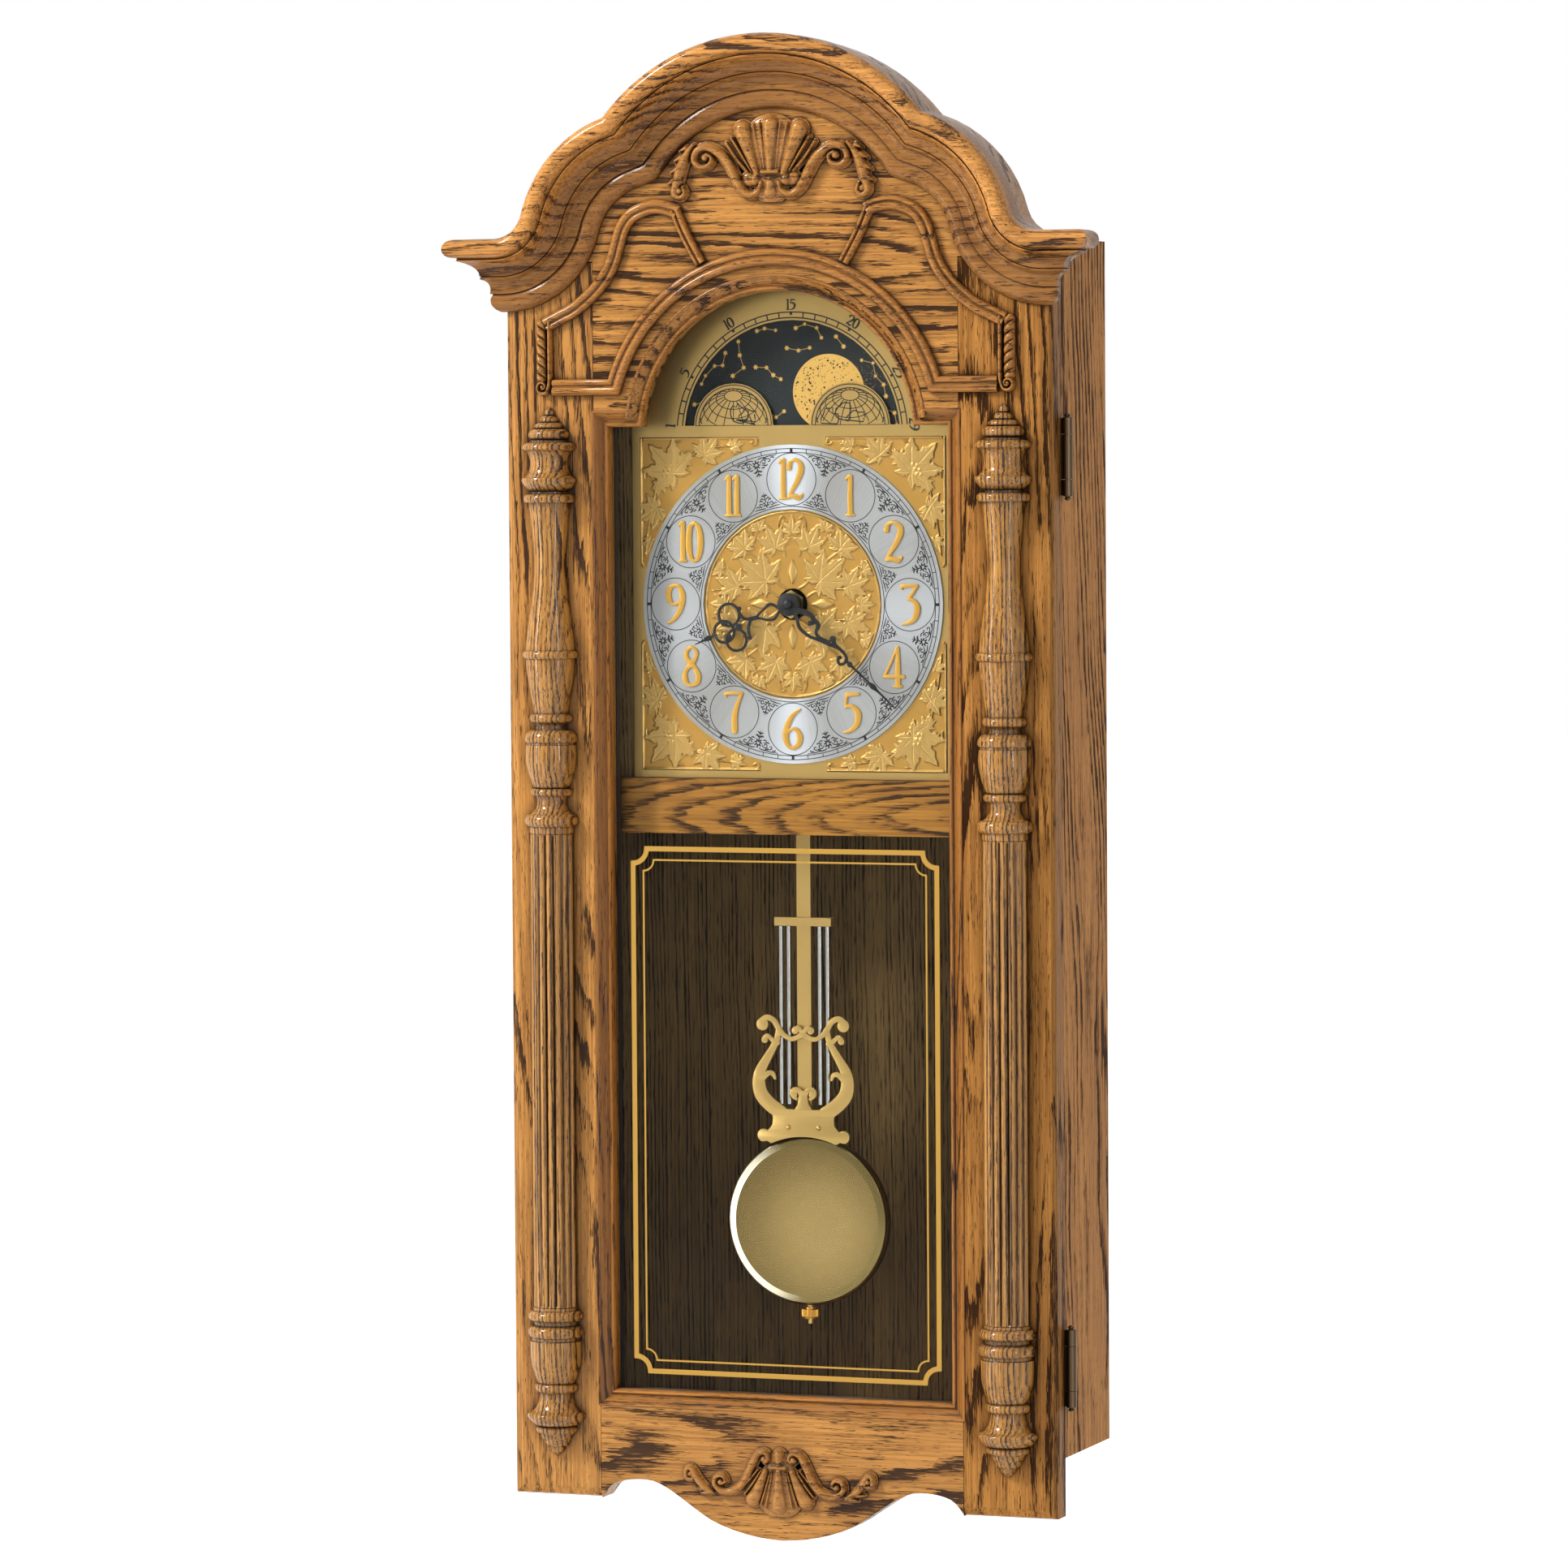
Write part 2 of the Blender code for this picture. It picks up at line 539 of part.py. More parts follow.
def turned(name, profile, finish, body, place, steps=ROUND_STEPS, facing_front=False):
    """A turned piece: radius and height pairs, top to bottom, swept round the local Z axis."""
    bm = bmesh.new()
    chain = [bm.verts.new((radius, 0, height)) for radius, height in profile]
    for one, two in zip(chain, chain[1:]):
        bm.edges.new((one, two))
    if profile[0][0] > 0:
        bm.edges.new((chain[-1], chain[0]))
    mesh = bpy.data.meshes.new(name)
    bm.to_mesh(mesh)
    bm.free()
    item = piece(name, mesh, finish, body)
    item.location = [a + b for a, b in zip(item.location, place)]
    if facing_front:
        item.rotation_euler = (math.pi / 2, 0, 0)
    spin = item.modifiers.new("turn", "SCREW")
    spin.axis = "Z"
    spin.steps = steps
    spin.render_steps = steps
    spin.use_merge_vertices = True
    spin.merge_threshold = GAP / 30
    spin.use_smooth_shade = True
    return item


# Outlines that several pieces share

def sight_outline(grow):
    """The door's opening: a rectangle with an arch on its shoulders, grown all round."""
    shoulder = SHOULDER_Z + grow
    radius = ARCH_OPENING_RADIUS + grow
    rise = math.asin((shoulder - MOON_Z) / radius)
    half = SIGHT_HALF + grow
    bottom = SIGHT_BOTTOM - grow
    head = arc(0, MOON_Z, radius, rise, math.pi - rise)
    return [(-half, bottom), (half, bottom), (half, shoulder), *head, (-half, shoulder)]


def pediment_half():
    """The pediment's top edge, from its middle out to where its flat end starts."""
    centre = PEDIMENT_TOP - CORNICE_ARCH_RADIUS
    valley_turn = math.acos(VALLEY_HALF / CORNICE_ARCH_RADIUS)
    crown = arc(0, centre, CORNICE_ARCH_RADIUS, math.pi / 2, valley_turn, 12)
    valley_z = crown[-1][1]
    reach = VALLEY_HALF - SHOULDER_CENTRE_HALF
    shoulder_z = valley_z - math.sqrt(SHOULDER_RADIUS ** 2 - reach ** 2)
    fillet_z = PEDIMENT_FLAT + FOOT_FILLET_RADIUS
    both = SHOULDER_RADIUS + FOOT_FILLET_RADIUS
    lean = math.asin((fillet_z - shoulder_z) / both)
    start = math.atan2(valley_z - shoulder_z, reach)
    shoulder = arc(SHOULDER_CENTRE_HALF, shoulder_z, SHOULDER_RADIUS, start, lean, 9)
    fillet_x = SHOULDER_CENTRE_HALF + both * math.cos(lean)
    fillet = arc(fillet_x, fillet_z, FOOT_FILLET_RADIUS, math.pi + lean, math.pi * 3 / 2, 5)
    return crown + shoulder[1:] + fillet[1:]


# Case

def make_case():
    for side, sign in (("left", -1), ("right", 1)):
        board = piece(f"case_side_{side}", box(
            (min(sign * INNER_HALF, sign * CASE_HALF), CASE_FRONT, CASE_BOTTOM),
            (max(sign * INNER_HALF, sign * CASE_HALF), 0, CASE_TOP)), OAK)
        lap = sign * (INNER_HALF + RABBET)
        cut(board, f"rabbet_{side}", box(
            (min(sign * (INNER_HALF - OVERRUN), lap), -BACK_THICKNESS - GAP, CASE_BOTTOM - OVERRUN),
            (max(sign * (INNER_HALF - OVERRUN), lap), OVERRUN, CASE_TOP + OVERRUN)))
    inner = INNER_HALF - GAP
    behind = -BACK_THICKNESS - GAP * 2
    piece("case_top", box((-inner, CASE_FRONT, CASE_TOP - BOARD), (inner, behind, CASE_TOP)), OAK)
    piece("case_bottom", box((-inner, CASE_FRONT, CASE_BOTTOM), (inner, behind, CASE_BOTTOM + BOARD)), OAK)
    make_back(inner)
    crossbar_front = CASE_FRONT + CROSSBAR_SETBACK
    piece("crossbar", box(
        (-inner, crossbar_front, CROSSBAR_TOP - CROSSBAR_HEIGHT),
        (inner, crossbar_front + CROSSBAR_DEPTH, CROSSBAR_TOP)), OAK)


def keyhole(grow):
    """A round hole with a narrower slot above it, as one outline."""
    entry = KEYHOLE_RADIUS + grow
    slot = KEY_SLOT_RADIUS + grow
    shoulder = math.acos(slot / entry)
    lower = arc(0, KEYHOLE_Z, entry, math.pi - shoulder, math.tau + shoulder)
    upper = arc(0, KEYHOLE_Z + KEY_SLOT_LENGTH, slot, 0, math.pi, SMALL_STEPS)
    return lower + upper


def make_back(inner):
    panel = piece("back_panel", box(
        (-BACK_HALF, -BACK_THICKNESS, CASE_BOTTOM), (BACK_HALF, 0, CASE_TOP)), DARK_WOOD)
    cut(panel, "service_opening", box(
        (-SERVICE_HALF, -BACK_THICKNESS - OVERRUN, SERVICE_BOTTOM), (SERVICE_HALF, OVERRUN, SERVICE_TOP)))
    across = HANGER_WIDTH / 2
    up = HANGER_HEIGHT / 2
    cut(panel, "hanger_recess", box(
        (-across - GAP, -BACK_THICKNESS - OVERRUN, RAIL_Z - up - GAP),
        (across + GAP, OVERRUN, RAIL_Z + up + GAP)))
    rail_back = -BACK_THICKNESS - GAP
    rail = piece("hanging_rail", box(
        (-inner, rail_back - HANGING_RAIL_DEPTH, RAIL_TOP - HANGING_RAIL_HEIGHT),
        (inner, rail_back, RAIL_TOP)), OAK)
    cut(rail, "screw_head_pocket", plate(
        [keyhole(KEY_SLOT_RADIUS)], rail_back - SCREW_HEAD_POCKET, rail_back + OVERRUN))
    plate_front = rail_back + GAP
    piece("hanger_plate", plate(
        [rectangle(-across, RAIL_Z - up, across, RAIL_Z + up), keyhole(0)],
        plate_front, plate_front + HANGER_THICKNESS), STEEL)


# Dial

def make_dial():
    inner = INNER_HALF - GAP
    board = piece("dial_board", box(
        (-inner, BOARD_FRONT, CROSSBAR_TOP + GAP),
        (inner, BOARD_BACK, CASE_TOP - BOARD - DIAL_BOARD_TOP_GAP)), DARK_WOOD)
    cut(board, "moon_pocket", rod(
        (0, BOARD_FRONT - OVERRUN, MOON_Z), (0, BOARD_FRONT + MOON_POCKET_DEPTH, MOON_Z),
        MOON_DISC_RADIUS + RUNNING * 2, ROUND_STEPS * 2))
    cut(board, "bushing_hole", rod(
        (0, BOARD_FRONT - OVERRUN, ARBOR_Z), (0, BOARD_BACK + OVERRUN, ARBOR_Z), BUSHING_RADIUS + GAP))
    cut(board, "moon_post_hole", rod(
        (0, BOARD_FRONT, MOON_Z), (0, BOARD_BACK + OVERRUN, MOON_Z), MOON_POST_RADIUS + GAP))

    outline = [
        (-DIAL_HALF_WIDTH, DIAL_BOTTOM), (DIAL_HALF_WIDTH, DIAL_BOTTOM), (DIAL_HALF_WIDTH, SHOULDER_Z),
        *arc(0, MOON_Z, DIAL_ARCH_RADIUS, math.asin(SHOULDER_LIFT / DIAL_ARCH_RADIUS),
             math.pi - math.asin(SHOULDER_LIFT / DIAL_ARCH_RADIUS), ARC_STEPS),
        (-DIAL_HALF_WIDTH, SHOULDER_Z)]
    piece("dial_plate", plate(
        [outline, moon_window(), circle(0, ARBOR_Z, BUSHING_RADIUS + GAP, SMALL_STEPS)],
        DIAL_FACE, DIAL_BACK), SATIN_BRASS)
    piece("chapter_ring", plate(
        [circle(0, ARBOR_Z, CHAPTER_RADIUS, ROUND_STEPS * 2),
        circle(0, ARBOR_Z, CHAPTER_BORE, ROUND_STEPS)],
        CHAPTER_FACE, CHAPTER_FACE + CHAPTER_THICKNESS), SILVER)

    carrier("moon_carrier", (0, DIAL_BACK, MOON_Z))
    disc_back = BOARD_FRONT + MOON_POCKET_DEPTH - GAP
    disc_front = disc_back - MOON_DISC_THICKNESS
    piece("moon_disc", plate(
        [circle(0, MOON_Z, MOON_DISC_RADIUS, ROUND_STEPS * 2),
         circle(0, MOON_Z, MOON_POST_RADIUS + RUNNING, SMALL_STEPS)],
        disc_front, disc_back), SLATE, "moon_carrier")
    post_front = (DIAL_BACK + disc_front) / 2
    post = piece("moon_post", rod(
        (0, BOARD_BACK - GAP, MOON_Z), (0, post_front, MOON_Z), MOON_POST_RADIUS), BRASS, smooth=True)
    head_back = disc_front - (disc_front - DIAL_BACK) / 4
    join(post, "moon_post_head", rod(
        (0, head_back, MOON_Z), (0, DIAL_BACK + (disc_front - DIAL_BACK) / 4, MOON_Z),
        MOON_POST_HEAD_RADIUS))


def moon_window():
    """The opening over the moon disc: a half round whose foot is taken up by two humps."""
    foot = MOON_Z + MOON_WINDOW_LIFT
    rise = math.asin(MOON_WINDOW_LIFT / MOON_WINDOW_RADIUS)
    head = arc(0, MOON_Z, MOON_WINDOW_RADIUS, rise, math.pi - rise, ARC_STEPS + 4)
    left = arc(-HUMP_HALF, foot, HUMP_RADIUS, math.pi, 0, ARC_STEPS - 4)
    right = arc(HUMP_HALF, foot, HUMP_RADIUS, math.pi, 0, ARC_STEPS - 4)
    return head + left + right


# Movement, battery bay, speaker and controls

def make_movement():
    top = ARBOR_Z + MOVEMENT_ABOVE
    half = MOVEMENT_HALF_WIDTH
    corner = MOVEMENT_CORNER
    outline = []
    for x, z, start in ((half, top, 0), (-half, top, 1), (-half, MOVEMENT_BOTTOM, 2),
        (half, MOVEMENT_BOTTOM, 3)):
        turn = start * math.pi / 2
        inward_x = x - math.copysign(corner, x)
        inward_z = z - corner if start < 2 else z + corner
        outline += arc(inward_x, inward_z, corner, turn, turn + math.pi / 2, 3)
    case = piece("movement_case", plate([outline], MOVEMENT_FRONT, MOVEMENT_BACK), PLASTIC)
    join(case, "bushing", rod(
        (0, MOVEMENT_FRONT + OVERRUN, ARBOR_Z), (0, BUSHING_FRONT, ARBOR_Z), BUSHING_RADIUS))
    join(case, "pendulum_ear", box(
        (-EYE_RADIUS, ROD_BACK + GAP * 2, PIVOT_Z - EYE_RADIUS),
        (EYE_RADIUS, MOVEMENT_BACK - OVERRUN, MOVEMENT_BOTTOM + OVERRUN)))
    join(case, "pendulum_pivot", rod(
        (0, MOVEMENT_BACK - OVERRUN * 2, PIVOT_Z), (0, ROD_FACE - ROD_THICKNESS, PIVOT_Z), PIVOT_RADIUS))
    join(case, "pendulum_pivot_head", rod(
        (0, ROD_FACE - GAP, PIVOT_Z), (0, ROD_FACE - ROD_THICKNESS - GAP, PIVOT_Z), PIVOT_HEAD_RADIUS))
    cut(case, "pipe_bore", rod(
        (0, BUSHING_FRONT - OVERRUN, ARBOR_Z), (0, MOVEMENT_FRONT + OVERRUN, ARBOR_Z),
        PIPE_RADIUS + RUNNING))
    cut(case, "arbor_bore", rod(
        (0, MOVEMENT_FRONT, ARBOR_Z), (0, MOVEMENT_BACK + OVERRUN, ARBOR_Z), ARBOR_RADIUS + RUNNING))
    bay_front = MOVEMENT_BACK - (BATTERY_RADIUS + GAP) * 2
    cut(case, "battery_bay",
        box((-BAY_HALF, bay_front, BAY_BOTTOM), (BAY_HALF, MOVEMENT_BACK + OVERRUN, BAY_TOP)))
    battery_z = (BAY_BOTTOM + BAY_TOP) / 2
    battery_y = bay_front + GAP + BATTERY_RADIUS
    for side, sign in (("left", -1), ("right", 1)):
        piece(f"battery_{side}", rod(
            (sign * GAP / 2, battery_y, battery_z),
            (sign * (BATTERY_LENGTH + GAP / 2), battery_y, battery_z),
            BATTERY_RADIUS, ROUND_STEPS), CELL, smooth=True)
    piece("battery_cover", box(
        (-BAY_HALF - COVER_LAP, MOVEMENT_BACK + GAP, BAY_BOTTOM - COVER_LAP),
        (BAY_HALF + COVER_LAP, MOVEMENT_BACK + GAP + COVER_THICKNESS, BAY_TOP + COVER_LAP)), PLASTIC)
    make_nut()
    make_speaker()
    make_switches(case)


def make_nut():
    nut_back = CHAPTER_FACE
    item = piece("movement_nut", rod(
        (0, nut_back, ARBOR_Z), (0, nut_back - NUT_THICKNESS, ARBOR_Z), NUT_ACROSS_CORNERS_RADIUS, 6),
        BRASS)
    cut(item, "nut_bore", rod(
        (0, nut_back + OVERRUN, ARBOR_Z), (0, nut_back - NUT_THICKNESS - OVERRUN, ARBOR_Z),
        BUSHING_RADIUS + GAP))


def make_speaker():
    back = BOARD_BACK + GAP
    x = -(MOVEMENT_HALF_WIDTH + SPEAKER_RADIUS + (INNER_HALF - MOVEMENT_HALF_WIDTH - SPEAKER_RADIUS * 2) / 2)
    basket = SPEAKER_DEPTH - SPEAKER_FLANGE
    steps = (
        (0, 0), (SPEAKER_MAGNET_RADIUS, 0), (SPEAKER_MAGNET_RADIUS, -basket / 2),
        (SPEAKER_RADIUS - SPEAKER_FLANGE, -basket), (SPEAKER_RADIUS, -basket),
        (SPEAKER_RADIUS, -SPEAKER_DEPTH), (0, -SPEAKER_DEPTH))
    item = turned("speaker", steps, PLASTIC, None, (x, back + SPEAKER_DEPTH, ARBOR_Z))
    item.rotation_euler = (-math.pi / 2, 0, 0)


def make_switches(case):
    for name, side in (("chime_switch", -1), ("volume_switch", 1)):
        travel = SWITCH_TRAVEL + SWITCH_LENGTH + GAP * 2
        start = side * SWITCH_SPREAD - travel / 2
        z = ARBOR_Z + SWITCH_RISE
        half = SWITCH_HEIGHT / 2
        pocket_front = MOVEMENT_BACK - SWITCH_POCKET_DEPTH
        cut(case, f"{name}_pocket", box(
            (start, pocket_front, z - half - GAP),
            (start + travel, MOVEMENT_BACK + OVERRUN, z + half + GAP)))
        x = start + GAP
        carrier(f"{name}_carrier", (x, MOVEMENT_BACK, z))
        piece(name, box(
            (x, pocket_front + GAP, z - half), (x + SWITCH_LENGTH, MOVEMENT_BACK + SWITCH_STAND, z + half)),
            STEEL, f"{name}_carrier")


# Hands

def clockwise(loop, angle):
    """Turns a loop drawn pointing up round the hand arbor, clockwise as seen from the front."""
    sine = math.sin(angle)
    cosine = math.cos(angle)
    return [(x * cosine + z * sine, ARBOR_Z - x * sine + z * cosine) for x, z in loop]


def ribbon(points, widths):
    """A band along points, as wide as widths says at each, with square ends."""
    left = []
    right = []
    for index, (x, z) in enumerate(points):
        before = points[max(index - 1, 0)]
        after = points[min(index + 1, len(points) - 1)]
        one = (x - before[0], z - before[1])
        two = (after[0] - x, after[1] - z)
        one_length = math.hypot(*one) or 1
        two_length = math.hypot(*two) or 1
        along = (one[0] / one_length + two[0] / two_length, one[1] / one_length + two[1] / two_length)
        length = math.hypot(*along)
        across = (-along[1] / length, along[0] / length)
        spread = 1
        if 0 < index < len(points) - 1:
            spread = max(length / 2, 1 / 2)
        half = widths[index] / 2 / spread
        left.append((x + across[0] * half, z + across[1] * half))
        right.append((x - across[0] * half, z - across[1] * half))
    return left + right[::-1]


# along the hand from its arbor, aside of its middle, and width, as shares of the hand's length
MINUTE_HAND_SHARES = (
    (0.0, 0.0, 0.045), (0.14, -0.010, 0.040), (0.24, -0.045, 0.030), (0.34, -0.040, 0.028),
    (0.42, 0.010, 0.040), (0.50, 0.036, 0.030), (0.58, 0.030, 0.026), (0.66, -0.012, 0.034),
    (0.74, -0.020, 0.026), (0.80, 0.0, 0.020), (0.88, 0.0, 0.030), (1.0, 0.0, 0.004),
)
HOUR_STEM_SHARES = (
    (0.0, 0.0, 0.075), (0.20, 0.020, 0.060), (0.36, 0.032, 0.045), (0.50, 0.0, 0.045),
    (0.60, 0.0, 0.050), (0.80, 0.0, 0.045), (0.90, 0.0, 0.060), (1.0, 0.0, 0.008),
)
HOUR_RING_SHARES = ((0.585, 0.09), (0.585, -0.09), (0.73, 0.0))
HOUR_RING_RADIUS_SHARE = 0.098
HOUR_RING_BORE_SHARE = 0.062


def hand_outline(shares, length, angle):
    points = [(aside * length, along * length) for along, aside, width in shares]
    return clockwise(ribbon(points, [width * length for along, aside, width in shares]), angle)


def make_hands():
    carrier("hour_carrier", (0, HOUR_FACE, ARBOR_Z))
    hour_back = HOUR_FACE + HAND_THICKNESS
    step = HAND_THICKNESS / 8
    hour = piece("hour_hand", plate(
        [circle(0, ARBOR_Z, HOUR_BOSS_RADIUS, SMALL_STEPS)], HOUR_FACE, hour_back), BLACK, "hour_carrier")
    join(hour, "hour_stem", plate(
        [hand_outline(HOUR_STEM_SHARES, HOUR_HAND_LENGTH, HOUR_ANGLE)], HOUR_FACE + step, hour_back - step))
    for index, (along, aside) in enumerate(HOUR_RING_SHARES):
        centre = clockwise([(aside * HOUR_HAND_LENGTH, along * HOUR_HAND_LENGTH)], HOUR_ANGLE)[0]
        ring = circle(*centre, HOUR_RING_RADIUS_SHARE * HOUR_HAND_LENGTH, SMALL_STEPS)
        bore = circle(*centre, HOUR_RING_BORE_SHARE * HOUR_HAND_LENGTH, SMALL_STEPS)
        depth = step * (index + 1) / 4
        join(hour, f"hour_ring_{index}", plate([ring, bore], HOUR_FACE + depth, hour_back - depth))
    cut(hour, "hour_bore", rod(
        (0, HOUR_FACE - OVERRUN, ARBOR_Z), (0, hour_back + OVERRUN, ARBOR_Z), PIPE_RADIUS + GAP))
    pipe_front = HOUR_FACE - GAP
    pipe = piece("hour_pipe", rod(
        (0, MOVEMENT_FRONT + OVERRUN - GAP, ARBOR_Z), (0, pipe_front, ARBOR_Z), PIPE_RADIUS), BRASS,
        "hour_carrier", smooth=True)
    cut(pipe, "pipe_hollow", rod(
        (0, MOVEMENT_FRONT + OVERRUN * 2, ARBOR_Z), (0, pipe_front - OVERRUN, ARBOR_Z),
        ARBOR_RADIUS + RUNNING))

    carrier("minute_carrier", (0, MINUTE_FACE, ARBOR_Z))
    minute_back = MINUTE_FACE + HAND_THICKNESS
    minute = piece("minute_hand", plate(
        [circle(0, ARBOR_Z, MINUTE_BOSS_RADIUS, SMALL_STEPS)], MINUTE_FACE, minute_back), BLACK,
        "minute_carrier")
    join(minute, "minute_stem", plate(
        [hand_outline(MINUTE_HAND_SHARES, MINUTE_HAND_LENGTH, MINUTE_ANGLE)], MINUTE_FACE, minute_back))
    cut(minute, "minute_bore", rod(
        (0, MINUTE_FACE - OVERRUN, ARBOR_Z), (0, minute_back + OVERRUN, ARBOR_Z), ARBOR_RADIUS + GAP))
    nut_back = MINUTE_FACE - GAP
    nut_front = nut_back - HAND_NUT_HEIGHT
    knob_front = MOVEMENT_BACK + GAP
    knob_back = knob_front + KNOB_DEPTH
    piece("minute_arbor", rod(
        (0, knob_back - GAP, ARBOR_Z), (0, nut_front + GAP, ARBOR_Z), ARBOR_RADIUS), STEEL,
        "minute_carrier", smooth=True)
    nut = piece("hand_nut", rod(
        (0, nut_back, ARBOR_Z), (0, nut_front, ARBOR_Z), HAND_NUT_RADIUS, SMALL_STEPS,
        HAND_NUT_RADIUS * 0.8),
        BLACK, "minute_carrier", smooth=True)
    cut(nut, "hand_nut_bore", rod(
        (0, nut_back + OVERRUN, ARBOR_Z), (0, nut_front - OVERRUN, ARBOR_Z), ARBOR_RADIUS + GAP))
    knob = piece("time_set_knob", rod(
        (0, knob_front, ARBOR_Z), (0, knob_back, ARBOR_Z), KNOB_RADIUS, ROUND_STEPS), PLASTIC,
        "minute_carrier", smooth=True)
    cut(knob, "knob_bore", rod(
        (0, knob_front - OVERRUN, ARBOR_Z), (0, knob_back + OVERRUN, ARBOR_Z), ARBOR_RADIUS + GAP))
    for flute in range(KNOB_FLUTES):
        turn = flute * math.tau / KNOB_FLUTES
        x = KNOB_RADIUS * math.cos(turn)
        z = ARBOR_Z + KNOB_RADIUS * math.sin(turn)
        cut(knob, f"knob_flute_{flute}", rod(
            (x, knob_front - OVERRUN, z), (x, knob_back + OVERRUN, z), KNOB_FLUTE_RADIUS, 6))


# Pendulum

# half outline of the lyre's frame and of its opening, as shares of its half width and height
LYRE_OUTER_SHARES = (
    (0.0, 0.72), (0.20, 0.76), (0.42, 0.74), (0.50, 0.82), (0.46, 0.92), (0.60, 1.0), (0.80, 0.99),
    (0.86, 0.90), (0.78, 0.84), (0.72, 0.78), (0.80, 0.68), (0.96, 0.54), (1.0, 0.42), (0.90, 0.30),
    (0.66, 0.22), (0.58, 0.16), (0.66, 0.10), (0.80, 0.08), (0.80, 0.01), (0.62, 0.0), (0.30, 0.03),
    (0.0, 0.04),
)
LYRE_INNER_SHARES = (
    (0.0, 0.66), (0.18, 0.70), (0.44, 0.66), (0.58, 0.68), (0.68, 0.56), (0.72, 0.44), (0.64, 0.34),
    (0.44, 0.27), (0.20, 0.30), (0.0, 0.27),
)


def symmetric(shares, half, height, base):
    """A closed loop from a half outline that starts and ends on the centre line."""
    right = [(x * half, base + z * height) for x, z in shares]
    return right + [(-x, z) for x, z in reversed(right[1:-1])]


def make_pendulum():
    carrier("pendulum_carrier", (0, TUBE_Y, PIVOT_Z))
    half = ROD_WIDTH / 2
    foot = LYRE_BOTTOM + PENDULUM_SHOULDER
    strip = rectangle(-half, foot, half, PIVOT_Z - EYE_RADIUS / 2)
    item = piece("pendulum_rod", plate([strip], ROD_FACE, ROD_BACK), SATIN_BRASS, "pendulum_carrier")
    join(item, "rod_eye", plate([circle(0, PIVOT_Z, EYE_RADIUS, SMALL_STEPS)], ROD_FACE, ROD_BACK))
    cut(item, "rod_eye_hole", rod(
        (0, ROD_FACE - OVERRUN, PIVOT_Z), (0, ROD_BACK + OVERRUN, PIVOT_Z), PIVOT_RADIUS + RUNNING))
    shoulder_bottom = BOB_TOP + RATING_TRAVEL + GAP * 2
    join(item, "rod_shoulder", box(
        (-STUD_RADIUS * 2, ROD_FACE, shoulder_bottom),
        (STUD_RADIUS * 2, STUD_Y + STUD_RADIUS * 2, foot + PENDULUM_SHOULDER)))
    stud_end = NUT_TOP - RATING_NUT_HEIGHT - STUD_TAIL
    join(item, "rating_stud", rod(
        (0, STUD_Y, shoulder_bottom + PENDULUM_SHOULDER / 2), (0, STUD_Y, stud_end), STUD_RADIUS))

    cap_front = TUBE_Y - TUBE_CAP_DEPTH / 2
    cap = piece("tube_cap", box(
        (-TUBE_CAP_WIDTH / 2, cap_front, CAP_BOTTOM),
        (TUBE_CAP_WIDTH / 2, cap_front + TUBE_CAP_DEPTH, CAP_TOP)), SATIN_BRASS, "pendulum_carrier")
    cut(cap, "cap_slot", box(
        (-half - GAP, ROD_FACE - GAP, CAP_BOTTOM - OVERRUN),
        (half + GAP, ROD_BACK + GAP, CAP_TOP + OVERRUN)))
    tubes = (-TUBE_OUTER_HALF, -TUBE_INNER_HALF, TUBE_INNER_HALF, TUBE_OUTER_HALF)
    for index, x in enumerate(tubes):
        top = CAP_BOTTOM - GAP
        piece(f"tube_{index + 1}", rod(
            (x, TUBE_Y, top - TUBE_LENGTH), (x, TUBE_Y, top), TUBE_RADIUS), CHROME, "pendulum_carrier",
            smooth=True)

    outer = symmetric(LYRE_OUTER_SHARES, LYRE_HALF_WIDTH, LYRE_HEIGHT, LYRE_BOTTOM)
    inner = symmetric(LYRE_INNER_SHARES, LYRE_HALF_WIDTH, LYRE_HEIGHT, LYRE_BOTTOM)
    piece("lyre", plate([outer, inner], LYRE_BACK - LYRE_THICKNESS, LYRE_BACK), SATIN_BRASS,
        "pendulum_carrier")
    make_bob()


def make_bob():
    carrier("bob_carrier", (0, STUD_Y, BOB_Z), "pendulum_carrier")
    sag = BOB_THICKNESS / 2 - BOB_RIM / 2
    radius = (BOB_RADIUS ** 2 + sag ** 2) / (2 * sag)
    sweep = math.asin(BOB_RADIUS / radius)
    rise = radius - BOB_THICKNESS / 2
    front = [(radius * math.sin(sweep * step / 8),
        radius * math.cos(sweep * step / 8) - rise) for step in range(9)]
    profile = front + [(x, -z) for x, z in reversed(front)]
    centre = (0, (BOB_FRONT + BOB_BACK) / 2, BOB_Z)
    bob = turned("bob", profile, BRASS, "bob_carrier", centre, facing_front=True)
    cut(bob, "bob_bore", rod(
        (0, STUD_Y, BOB_Z - BOB_RADIUS - OVERRUN), (0, STUD_Y, BOB_Z + BOB_RADIUS + OVERRUN),
        STUD_RADIUS + RUNNING))
    carrier("nut_carrier", (0, STUD_Y, NUT_TOP), "bob_carrier")
    nut = piece("rating_nut", rod(
        (0, STUD_Y, NUT_TOP - RATING_NUT_HEIGHT), (0, STUD_Y, NUT_TOP), RATING_NUT_RADIUS, ROUND_STEPS),
        BRASS, "nut_carrier")
    cut(nut, "rating_nut_bore", rod(
        (0, STUD_Y, NUT_TOP - RATING_NUT_HEIGHT - OVERRUN), (0, STUD_Y, NUT_TOP + OVERRUN),
        STUD_RADIUS + RUNNING))


# Door

